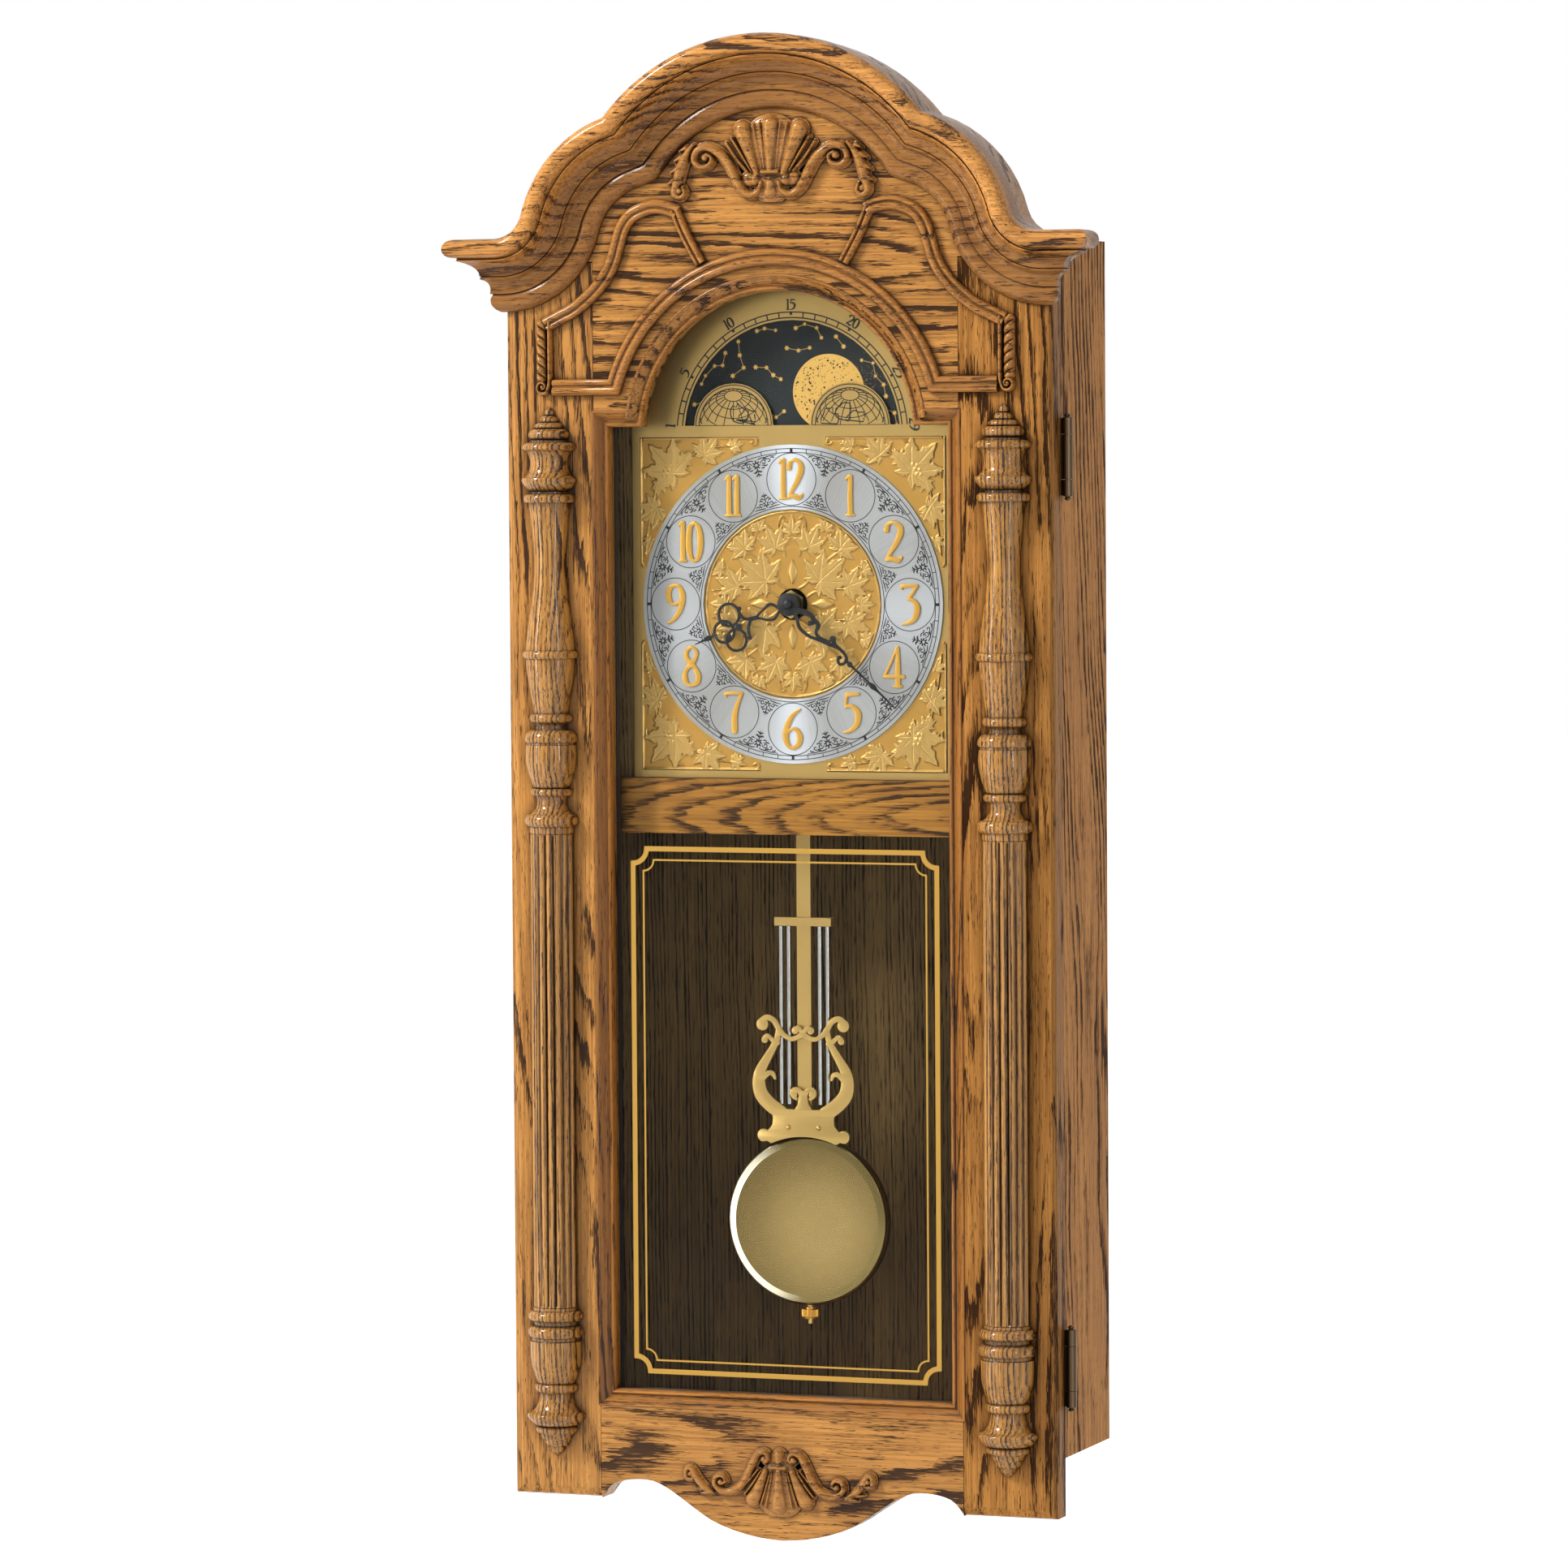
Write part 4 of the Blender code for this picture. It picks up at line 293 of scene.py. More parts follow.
def metalMaterial(name, colour, stretch=(900.0, 900.0, 14.0), strength=0.2, metallic=1.0, roughness=None,
                  depth=0.00002):
    material, tree, shader, where = newMaterial(name)
    brushed = useGroup(tree, brushedMetal, {
        "Vector": where, "Stretch": stretch, "Color": colour, "Strength": strength})
    plugAll(tree, shader, {
        "Base Color": brushed["Color"], "Metallic": metallic, "Specular IOR Level": 0.3,
        "Roughness": brushed["Roughness"] if roughness is None else roughness,
        "Normal": bumped(tree, brushed["Height"], 0.3, depth)})
    return material


def shadedBrass(name, point, reach, near, far, roughness):
    # polished brass with painted light: a painted reflection brightest at a point of its face, with painted
    # shade further from it
    material, tree, shader, where = newMaterial(name)
    parts = axesOf(tree, where)
    aside, above = (calc(tree, "SUBTRACT", parts[axis], value) for axis, value in zip("XZ", point))
    away = calc(tree, "SQRT", calc(tree, "MULTIPLY_ADD", aside, aside, calc(tree, "MULTIPLY", above, above)))
    tone = blendColour(tree, ramp(tree, away, *reach), near, far)
    brushed = useGroup(tree, brushedMetal, {
        "Vector": where, "Stretch": (900.0, 900.0, 14.0), "Color": tone, "Strength": 0.02})
    plugAll(tree, shader, {"Base Color": brushed["Color"], "Metallic": 1.0, "Roughness": roughness})
    return material


def paintMaterial(name, colour, roughness, speckle, scale, metallic=0.0):
    material, tree, shader, where = newMaterial(name)
    spots = cloud(tree, where, scale, 3.0)
    paler = tuple(min(1.0, value * 1.6 + 0.01) for value in colour)
    mixed = blendColour(tree, calc(tree, "MULTIPLY", spots, speckle), colour, paler)
    dusty = useGroup(tree, dustFilm, {"Color": mixed, "Amount": 0.15})
    wear = cloud(tree, where, 40.0, 3.0)
    plugAll(tree, shader, {
        "Base Color": dusty["Color"], "Metallic": metallic, "Specular IOR Level": 0.25,
        "Roughness": calc(tree, "MULTIPLY_ADD", wear, 0.2, roughness - 0.1),
        "Normal": bumped(tree, spots, 0.2, 0.00003)})
    return material


def silverMaterial():
    # sunburst brushing lines round the hand arbor, with painted reflections: bright wedges at 12 and 6,
    # fainter ones at 3 and 9
    material, tree, shader, where = newMaterial("silverSunburstPaintedGlint")
    parts = axesOf(tree, vectorCalc(tree, "SUBTRACT", where, (0.0, 0.0, clock["arborZ"])))
    angle = calc(tree, "ARCTAN2", parts["X"], parts["Z"])
    twice = calc(tree, "COSINE", calc(tree, "MULTIPLY", angle, 2.0))
    swirl = addNode(tree, "ShaderNodeCombineXYZ", {
        "X": calc(tree, "MULTIPLY", angle, 70.0), "Y": calc(tree, "MULTIPLY", twice, 3.0)}).outputs[0]
    lines = cloud(tree, swirl, 1.0, 4.0, 0.7)
    glintAndBrushing = 0.18
    # painted reflections: bright wedges at 12 and 6, fainter at 3 and 9
    for operation, sharpness, weight in (("COSINE", 60.0, 0.64), ("SINE", 10.0, 0.22)):
        glintWedge = calc(tree, "ABSOLUTE", calc(tree, operation, angle))
        glintAndBrushing = calc(tree, "MULTIPLY_ADD", calc(tree, "POWER", glintWedge, sharpness), weight, glintAndBrushing)
    wave = calc(tree, "COSINE", calc(tree, "MULTIPLY_ADD", angle, 7.0, 0.9))
    glintAndBrushing = calc(tree, "MULTIPLY_ADD", wave, 0.07, glintAndBrushing)
    glintAndBrushing = calc(tree, "MULTIPLY_ADD", calc(tree, "SUBTRACT", lines, 0.5), 0.3, glintAndBrushing, clamp=True)
    plugAll(tree, shader, {
        "Base Color": blendColour(tree, glintAndBrushing, srgb(144, 142, 136), srgb(218, 223, 230)),
        "Metallic": 0.35, "Specular IOR Level": 0.2,
        "Roughness": calc(tree, "MULTIPLY_ADD", lines, 0.15, 0.36)})
    return material


def glassMaterial():
    material, tree, shader, where = newMaterial("clearGlass")
    smear = cloud(tree, where, 9.0, 3.0)
    plugAll(tree, shader, {
        "Roughness": ramp(tree, smear, 0.45, 0.9, 0.0, 0.03), "Base Color": (0.97, 0.985, 0.98),
        "Transmission Weight": 1.0, "Metallic": 0.0, "IOR": 1.12})
    through = addNode(tree, "ShaderNodeBsdfTransparent")
    rays = addNode(tree, "ShaderNodeLightPath").outputs
    soft = calc(tree, "MAXIMUM", rays["Is Shadow Ray"], rays["Is Diffuse Ray"])
    mixed = addNode(tree, "ShaderNodeMixShader", {0: soft, 1: shader.outputs[0], 2: through.outputs[0]})
    plug(tree, tree.nodes["Material Output"].inputs["Surface"], mixed.outputs[0])
    return material


clock = {
    "face": -0.1085,
    "moulding": -0.1088,
    "arborZ": 0.1435,
    "moonZ": 0.2435,
    "dialFace": -0.0785,
    "chapterFace": -0.0796,
    "pedimentTop": 0.4782,
    "pedimentFlat": 0.3608,
}
toArbor = Matrix.Translation((0, 0, clock["arborZ"]))

oak = {
    "stileLeft": woodMaterial(
        "oakStileLeft", trunk=(-0.1, -0.06, 0.1), ring=0.0052, wander=0.034, contrast=1.25),
    # the right stile's oak is darker than the left's: painted shade, as if the light came from the left
    "stileRight": woodMaterial(
        "oakStileRight", trunk=(0.118, -0.075, -0.35), ring=0.006, wander=0.042, contrast=1.25,
        light=srgb(204, 142, 73), coat=0.06, specular=0.03),
    "panel": woodMaterial(
        "oakPanel", True, trunk=(0.3, -0.07, 0.335), ring=0.0086, wander=0.09, contrast=1.5, even=0.12),
    "rail": woodMaterial(
        "oakRail", True, trunk=(-0.25, -0.092, -0.352), ring=0.006, wander=0.055, contrast=1.35),
    # the cornice's deep coves get painted shade
    "cornice": woodMaterial(
        "oakCornice", True, trunk=(0.4, -0.045, 0.4), ring=0.0066, wander=0.05, contrast=0.95,
        light=srgb(240, 168, 88), warm=srgb(122, 73, 32), amount=0.95, coat=0.3,
        hollow=(-0.129, -0.118, 0.0, 0.56)),
    "turned": woodMaterial(
        "oakTurned", trunk=(0.0, -0.126, -0.05), ring=0.0026, wander=0.004, reach=0.006, amount=1.0,
        even=0.9, light=srgb(216, 154, 74), warm=srgb(108, 65, 26), coat=0.7),
    "carved": woodMaterial(
        "oakCarved", True, trunk=(0.1, -0.08, 0.1), ring=0.006, wander=0.03, contrast=0.7,
        light=srgb(202, 140, 68), warm=srgb(138, 87, 38), reach=0.0034, amount=0.95, coat=0.45),
    "moulded": woodMaterial(
        "oakMoulded", True, trunk=(-0.4, -0.05, 0.28), ring=0.0055, wander=0.04, contrast=0.8,
        light=srgb(200, 135, 63), warm=srgb(112, 66, 28), reach=0.0065, amount=0.95, coat=0.45),
    "upright": woodMaterial(
        "oakUpright", trunk=(0.09, -0.05, 0.28), ring=0.0055, wander=0.03,
        light=srgb(184, 121, 54), warm=srgb(116, 68, 28), reach=0.0055, coat=0.4),
    # the right side's oak is lighter and warmer than the left side's: painted light, making up for the lamps
    # standing to the left
    "side": woodMaterial(
        "oakSide", trunk=(0.15, -0.048, 0.0), ring=0.0066, wander=0.06, contrast=1.5,
        light=srgb(238, 164, 84), warm=srgb(142, 88, 40), pore=srgb(58, 36, 20), coat=0.0, specular=0.03),
    "sideLeft": woodMaterial(
        "oakSideLeft", trunk=(-0.152, -0.04, 0.1), ring=0.0066, wander=0.05, contrast=1.3, coat=0.08,
        specular=0.05),
    "case": woodMaterial("oakCase", True, trunk=(0.0, -0.02, 0.33), ring=0.0055),
    "crossbar": woodMaterial(
        "oakCrossbar", True, trunk=(0.2, -0.085, 0.018), ring=0.0034, wander=0.018, contrast=1.1,
        even=0.4, light=srgb(196, 138, 58)),
    "back": woodMaterial(
        "walnutBack", trunk=(0.9, 0.09, 0.0), ring=0.0026, wander=0.01, contrast=1.1, even=0.6,
        light=srgb(122, 98, 60), warm=srgb(84, 66, 42), pore=srgb(34, 26, 17), coat=0.0, amount=0.3,
        specular=0.05),
}
finish = {
    "satinBrass": metalMaterial("satinBrass", srgb(180, 149, 88), metallic=0.75),
    "polishedBrass": metalMaterial(
        "polishedBrass", srgb(178, 150, 92), strength=0.02, roughness=0.24, depth=0.0),
    # the bob's dome: a painted reflection right of the middle, with painted shade towards the rim
    "bobBrassPaintedShade": shadedBrass(
        "bobBrassPaintedShade", (0.01, -0.228), (0.01, 0.056), srgb(154, 131, 82), srgb(114, 96, 56), 0.26),
    # the bob's rim: a painted highlight, a bright crescent on the left, darker round to the right
    "rimBrassPaintedHighlight": shadedBrass(
        "rimBrassPaintedHighlight", (-0.052, -0.232), (0.04, 0.066), srgb(240, 230, 200), srgb(120, 104, 62), 0.16),
    "nutBrass": metalMaterial("nutBrass", srgb(186, 138, 60), strength=0.1, roughness=0.3, depth=0.0),
    "chrome": metalMaterial("chromeTube", srgb(158, 156, 152), strength=0.05, roughness=0.14),
    "steel": metalMaterial("brushedSteel", srgb(176, 178, 182)),
    "bronze": metalMaterial("darkBronze", srgb(84, 68, 50), strength=0.3, metallic=0.9, roughness=0.3),
    "numeral": metalMaterial(
        "numeralGold", srgb(204, 156, 68), strength=0.08, metallic=0.5, roughness=0.34),
    "gilt": metalMaterial("giltLine", srgb(196, 152, 68), strength=0.1, metallic=0.4, roughness=0.4),
    "silver": silverMaterial(),
    "handBlack": paintMaterial("handBlack", (0.006, 0.006, 0.006), 0.42, 0.1, 700.0),
    "plastic": paintMaterial("blackPlastic", (0.022, 0.022, 0.024), 0.5, 0.5, 1600.0),
    "slate": paintMaterial("moonSlate", srgb(24, 29, 29), 0.75, 0.06, 500.0),
    "cell": paintMaterial("cellWrap", srgb(120, 126, 134), 0.4, 0.2, 300.0, 0.3),
    "ink": paintMaterial("blackInk", (0.012, 0.012, 0.012), 0.5, 0.1, 800.0),
    "skyGold": paintMaterial("skyGold", srgb(206, 164, 84), 0.5, 0.15, 400.0, 0.2),
    "glass": glassMaterial(),
}


def dress(material, *names):
    for name in names:
        item = nodes[name]
        if not item.material_slots:
            item.data.materials.append(material)
        for slot in item.material_slots:
            slot.link = "OBJECT"
            slot.material = material


worn = {
    "side": ("case_side_right",),
    "sideLeft": ("case_side_left",),
    "case": ("case_top", "case_bottom", "hanging_rail"),
    "crossbar": ("crossbar",),
    "back": ("back_panel", "dial_board"),
    "stileLeft": ("stile_left",),
    "stileRight": ("stile_right",),
    "panel": ("arch_panel",),
    "rail": ("bottom_rail",),
    "cornice": ("cornice",),
    "turned": ("column_left", "column_right"),
    "moulded": ("arch_trim", "scroll_trim_left", "scroll_trim_right"),
    "carved": ("crown_carving", "base_carving"),
    "satinBrass": ("dial_plate", "pendulum_rod", "tube_cap", "lyre"),
    "polishedBrass": ("bob", "rating_nut", "movement_nut", "moon_post", "hour_pipe"),
    "chrome": ("tube_1", "tube_2", "tube_3", "tube_4"),
    "steel": ("minute_arbor", "hanger_plate", "strike_plate", "chime_switch", "volume_switch"),
    "bronze": ("hinge_leaf_case_upper", "hinge_leaf_case_lower", "hinge_leaf_door_upper",
               "hinge_leaf_door_lower", "hinge_pin_upper", "hinge_pin_lower"),
    "silver": ("chapter_ring",),
    "handBlack": ("hour_hand", "minute_hand", "hand_nut"),
    "plastic": ("movement_case", "battery_cover", "time_set_knob", "speaker", "catch_magnet",
                "glass_stop_left", "glass_stop_right", "glass_stop_bottom"),
    "slate": ("moon_disc",),
    "cell": ("battery_left", "battery_right"),
    "glass": ("glass",),
}
for look, names in worn.items():
    dress(oak.get(look) or finish[look], *names)
print("frame dressed")


# Shapes

def smoothPath(points, steps=6):
    path = []
    ends = [points[0]] + list(points) + [points[-1]]
    for a, b, c, d in zip(ends, ends[1:], ends[2:], ends[3:]):
        for step in range(steps):
            t = step / steps
            path.append(tuple(
                (2 * b[k] + (c[k] - a[k]) * t + (2 * a[k] - 5 * b[k] + 4 * c[k] - d[k]) * t * t
                 + (3 * b[k] - a[k] - 3 * c[k] + d[k]) * t ** 3) / 2 for k in range(len(b))))
    path.append(tuple(points[-1]))
    return path


def arcPath(x, z, radius, start, end, steps=24):
    turns = [math.radians(start + (end - start) * step / steps) for step in range(steps + 1)]
    return [(x + radius * math.cos(turn), z + radius * math.sin(turn)) for turn in turns]


def spiral(x, z, startRadius, endRadius, start, end, startWidth, endWidth, steps):
    path = []
    for step in range(steps + 1):
        t = step / steps
        radius = startRadius + (endRadius - startRadius) * t
        turn = math.radians(start + (end - start) * t)
        width = startWidth + (endWidth - startWidth) * t
        path.append((x + radius * math.cos(turn), z + radius * math.sin(turn), width))
    return path


def flip(path):
    return [(-point[0], *point[1:]) for point in path]


def buildMesh(name, verts, faces):
    merge = 0.000002
    bm = bmesh.new()
    made = [bm.verts.new(vert) for vert in verts]
    for face in faces:
        bm.faces.new([made[index] for index in face])
    bmesh.ops.remove_doubles(bm, verts=bm.verts[:], dist=merge)
    bmesh.ops.dissolve_degenerate(bm, dist=merge, edges=bm.edges[:])
    bmesh.ops.recalc_face_normals(bm, faces=bm.faces[:])
    mesh = bpy.data.meshes.new(name)
    bm.to_mesh(mesh)
    bm.free()
    return mesh


def selectOnly(item):
    bpy.ops.object.select_all(action="DESELECT")
    item.select_set(True)
    bpy.context.view_layer.objects.active = item


def keepPiece(name, mesh, look, body, angle=35, replaced=()):
    mesh.materials.clear()
    mesh.materials.append(oak.get(look) or finish[look])
    item = bpy.data.objects.new(name, mesh)
    scene.collection.objects.link(item)
    selectOnly(item)
    bpy.ops.object.shade_smooth_by_angle(angle=math.radians(angle))
    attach(item, body)
    if replaced:
        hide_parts(*replaced)


def keepBuilt(name, shape, look, body, angle=30, replaced=()):
    keepPiece(name, buildMesh(name, *shape), look, body, angle, replaced)


def joined(parts):
    verts, faces = [], []
    for partVerts, partFaces in parts:
        start = len(verts)
        verts += partVerts
        faces += [tuple(start + index for index in face) for face in partFaces]
    return verts, faces


def leftOf(path, index, closed=False):
    # the mean of the unit normals before and after a point
    count = len(path)
    here = path[index]
    before = path[index - 1] if index or closed else here
    after = path[(index + 1) % count] if index < count - 1 or closed else here
    ways = []
    for one, two in ((before, here), (here, after)):
        run = math.hypot(two[0] - one[0], two[1] - one[1])
        if run > 1e-9:
            ways.append((-(two[1] - one[1]) / run, (two[0] - one[0]) / run))
    return [sum(values) / len(ways) for values in zip(*ways)]


def tubeWalls(count, ring, closed=False):
    faces = []
    for one in range(count if closed else count - 1):
        two = (one + 1) % count
        for k in range(ring):
            m = (k + 1) % ring
            faces.append((one * ring + k, one * ring + m, two * ring + m, two * ring + k))
    return faces


def tubeEnds(count, ring):
    return [tuple(range(ring)), tuple((count - 1) * ring + k for k in range(ring))]


def swept(path, profile, closed=False, face=clock["moulding"]):
    # profile: pairs of (left of the way, out of the face), once round the moulding's section
    verts = []
    for index, (x, z) in enumerate(path):
        left = leftOf(path, index, closed)
        size = max(left[0] ** 2 + left[1] ** 2, 0.3)
        aside, up = left[0] / size, left[1] / size
        verts += [(x + aside * side, face - out, z + up * side) for side, out in profile]
    faces = tubeWalls(len(path), len(profile), closed)
    return verts, faces if closed else faces + tubeEnds(len(path), len(profile))


def ribbonPrism(points, front, back):
    # a flat stroke of varying width, points as (x, z, width), as thick as front to back
    verts, faces = [], []
    count = len(points)
    for index, (x, z, width) in enumerate(points):
        before = points[max(index - 1, 0)]
        after = points[min(index + 1, count - 1)]
        run = math.hypot(after[0] - before[0], after[1] - before[1]) or 1
        across = (-(after[1] - before[1]) / run * width / 2, (after[0] - before[0]) / run * width / 2)
        for y in (front, back):
            verts.append((x + across[0], y, z + across[1]))
            verts.append((x - across[0], y, z - across[1]))
    for index in range(count - 1):
        a, b = index * 4, index * 4 + 4
        faces += [(a, a + 1, b + 1, b), (a + 2, b + 2, b + 3, a + 3)]
        faces += [(a, b, b + 2, a + 2), (a + 1, a + 3, b + 3, b + 1)]
    end = (count - 1) * 4
    faces += [(0, 2, 3, 1), (end, end + 1, end + 3, end + 2)]
    return verts, faces


def discPrism(x, z, radius, front, back, steps=10, turn=0.0, star=1.0):
    verts, faces = [], []
    for y in (front, back):
        for step in range(steps):
            angle = turn + math.tau * step / steps
            reach = radius * (star if step % 2 else 1.0)
            verts.append((x + reach * math.sin(angle), y, z + reach * math.cos(angle)))
    faces.append(tuple(range(steps)))
    faces.append(tuple(range(steps, steps * 2)))
    for step in range(steps):
        after = (step + 1) % steps
        faces.append((step, after, steps + after, steps + step))
    return verts, faces


def spunMesh(name, profile, centre, axis, steps, angle=math.tau, closed=False):
    # profile: (radius, along the axis) pairs; spun in edit mode
    verts = [Vector(centre) + Vector((radius, 0, 0)) + Vector(axis) * height for radius, height in profile]
    edges = [(index, index + 1) for index in range(len(verts) - 1)]
    if closed:
        edges.append((len(verts) - 1, 0))
    mesh = bpy.data.meshes.new(name)
    mesh.from_pydata([tuple(vert) for vert in verts], edges, [])
    item = bpy.data.objects.new(name, mesh)
    scene.collection.objects.link(item)
    selectOnly(item)
    bpy.ops.object.mode_set(mode="EDIT")
    bpy.ops.mesh.select_all(action="SELECT")
    bpy.ops.mesh.spin(steps=steps, angle=angle, center=centre, axis=axis)
    bpy.ops.mesh.select_all(action="SELECT")
    bpy.ops.mesh.remove_doubles(threshold=0.000003)
    bpy.ops.mesh.normals_make_consistent(inside=False)
    bpy.ops.object.mode_set(mode="OBJECT")
    bpy.data.objects.remove(item)
    return mesh


# Fields: how far inside a drawn shape each point of a grid lies, and how high it stands

whole = (slice(None), slice(None))
leafShape = {
    # angle and length of each lobe
    "lobes": ((0, 1.0), (42, 0.9), (-42, 0.9), (86, 0.74), (-86, 0.74), (132, 0.46), (-132, 0.46)),
    "broad": 0.27,
    "fullness": 0.72,
    "teeth": 4.5,
    "toothLow": 0.74,
    "toothHigh": 0.3,
    "veinWidth": 0.00042,
    "veinEnd": 0.86,
    "ribSlant": 0.9,
    "ribWidth": 0.1,
    "ribDepth": 0.45,
    "edge": 0.0004,
    "groove": 0.4,
}
reliefEdge = {"leastSlope": 0.4, "near": 1.5, "most": 1.3, "height": 0.35}


def segmentShare(x, z, start, end):
    # share along a segment, and the distance from it
    (ax, az), (bx, bz) = start, end
    long = max((bx - ax) ** 2 + (bz - az) ** 2, 1e-12)
    t = np.clip(((x - ax) * (bx - ax) + (z - az) * (bz - az)) / long, 0, 1)
    return t, np.hypot(x - ax - t * (bx - ax), z - az - t * (bz - az))


class Field:
    def __init__(self, low, high, step):
        self.step = step
        self.xs = np.arange(low[0], high[0] + step, step)
        self.zs = np.arange(low[1], high[1] + step, step)
        self.x, self.z = np.meshgrid(self.xs, self.zs)
        self.inside = np.full(self.x.shape, -1.0)
        self.height = np.zeros(self.x.shape)

    def window(self, lowX, lowZ, highX, highZ):
        c0 = int(max(0, (lowX - self.xs[0]) / self.step))
        c1 = int(min(len(self.xs), (highX - self.xs[0]) / self.step + 2))
        r0 = int(max(0, (lowZ - self.zs[0]) / self.step))
        r1 = int(min(len(self.zs), (highZ - self.zs[0]) / self.step + 2))
        return slice(r0, max(r0, r1)), slice(c0, max(c0, c1))

    def stroke(self, points, high=0.0):
        for (ax, az, aw), (bx, bz, bw) in zip(points, points[1:]):
            reach = max(aw, bw) / 2 + self.step * 3
            part = self.window(min(ax, bx) - reach, min(az, bz) - reach, max(ax, bx) + reach,
                               max(az, bz) + reach)
            x, z = self.x[part], self.z[part]
            if x.size == 0:
                continue
            t, away = segmentShare(x, z, (ax, az), (bx, bz))
            half = (aw + t * (bw - aw)) / 2
            self.add(part, half - away, high * np.clip(1 - (away / half) ** 2, 0, 1) ** 0.5)

    def around(self, x, z, reach):
        part = self.window(x - reach, z - reach, x + reach, z + reach)
        return part, self.x[part] - x, self.z[part] - z

    def ball(self, x, z, radius, high=0.0):
        part, dx, dz = self.around(x, z, radius * 1.5)
        away = np.hypot(dx, dz)
        self.add(part, radius - away, high * np.clip(1 - (away / radius) ** 2, 0, 1) ** 0.5)

    def polygon(self, points):
        x, z = self.x, self.z
        away = np.full(x.shape, 1.0)
        odd = np.zeros(x.shape, bool)
        for (ax, az), (bx, bz) in zip(points, points[1:] + points[:1]):
            away = np.minimum(away, segmentShare(x, z, (ax, az), (bx, bz))[1])
            if az != bz:
                odd ^= ((az > z) != (bz > z)) & (x < (bx - ax) * (z - az) / (bz - az) + ax)
        self.add(whole, np.where(odd, away, -away), 0.0)

    def leaf(self, x, z, size, aim, high):
        part, dx, dz = self.around(x, z, size * 1.1)
        inside = np.full(dx.shape, -1.0)
        groove = np.zeros(dx.shape)
        look = leafShape
        for angle, length in look["lobes"]:
            turn = math.radians(aim + angle)
            reach = size * length
            along = (dx * math.cos(turn) + dz * math.sin(turn)) / reach
            across = np.abs(dz * math.cos(turn) - dx * math.sin(turn)) / reach
            shape = look["broad"] * np.sin(math.pi * np.clip(along, 0, 1) ** look["fullness"])
            tooth = np.abs((along * look["teeth"]) % 1 - 0.5) * 2
            found = (shape * (look["toothLow"] + look["toothHigh"] * tooth) - across) * reach * 0.8
            found = np.where((along > 0) & (along < 1), found, -1.0)
            vein = np.clip(1 - across * reach / look["veinWidth"], 0, 1) * (along < look["veinEnd"])
            phase = ((along - across * look["ribSlant"]) * look["teeth"]) % 1 - 0.5
            rib = np.clip(1 - np.abs(phase) / look["ribWidth"], 0, 1) * look["ribDepth"]
            groove = np.where(found > inside, np.maximum(vein, rib), groove)
            inside = np.maximum(inside, found)
        rise = high * np.clip(inside / look["edge"], 0, 1) * (1 - look["groove"] * groove)
        self.add(part, inside, rise)

    def add(self, part, inside, rise):
        self.inside[part] = np.maximum(self.inside[part], inside)
        self.height[part] = np.maximum(self.height[part], rise)


# the edges by which an outline enters and leaves a square, for each set of its corners inside
squareWays = {
    1: ((3, 0),), 2: ((0, 1),), 3: ((3, 1),), 4: ((1, 2),), 5: ((3, 2), (1, 0)), 6: ((0, 2),), 7: ((3, 2),),
    8: ((2, 3),), 9: ((2, 0),), 10: ((0, 3), (2, 1)), 11: ((2, 1),), 12: ((1, 3),), 13: ((1, 0),),
    14: ((0, 3),),
}


def contours(field):
    # the outlines of all that lies inside a field, by marching squares
    values = np.where(np.abs(field.inside) < 1e-9, 1e-9, field.inside)
    values[0, :] = values[-1, :] = -1
    values[:, 0] = values[:, -1] = -1
    full = values > 0
    code = full[:-1, :-1] * 1 + full[:-1, 1:] * 2 + full[1:, 1:] * 4 + full[1:, :-1] * 8
    following, places = {}, {}
    for row, column in zip(*np.nonzero((code > 0) & (code < 15))):
        edges = (("h", row, column), ("v", row, column + 1), ("h", row + 1, column), ("v", row, column))
        for start, end in squareWays[int(code[row, column])]:
            following[edges[start]] = edges[end]
            for key in (edges[start], edges[end]):
                if key not in places:
                    kind, r, c = key
                    r2, c2 = (r, c + 1) if kind == "h" else (r + 1, c)
                    a, b = values[r, c], values[r2, c2]
                    t = a / (a - b)
                    places[key] = (field.xs[c] + t * (field.xs[c2] - field.xs[c]),
                                   field.zs[r] + t * (field.zs[r2] - field.zs[r]))
    loops = []
    while following:
        key, after = following.popitem()
        loop = [places[key]]
        while after in following:
            loop.append(places[after])
            after = following.pop(after)
        if len(loop) > 7:
            loops.append(thinned(loop, field.step * 0.12))
    return loops


def thinned(loop, most):
    # drops points that lie on the line between their neighbours
    points = np.array(loop)
    for _ in range(2):
        kept = np.ones(len(points), bool)
        before, after = np.roll(points, 1, 0), np.roll(points, -1, 0)
        way = after - before
        long = np.hypot(way[:, 0], way[:, 1]) + 1e-12
        gap = points - before
        off = np.abs(way[:, 0] * gap[:, 1] - way[:, 1] * gap[:, 0]) / long
        kept[(off < most) & (np.arange(len(points)) % 2 == 1)] = False
        if kept.sum() > 7:
            points = points[kept]
    return [tuple(point) for point in points]


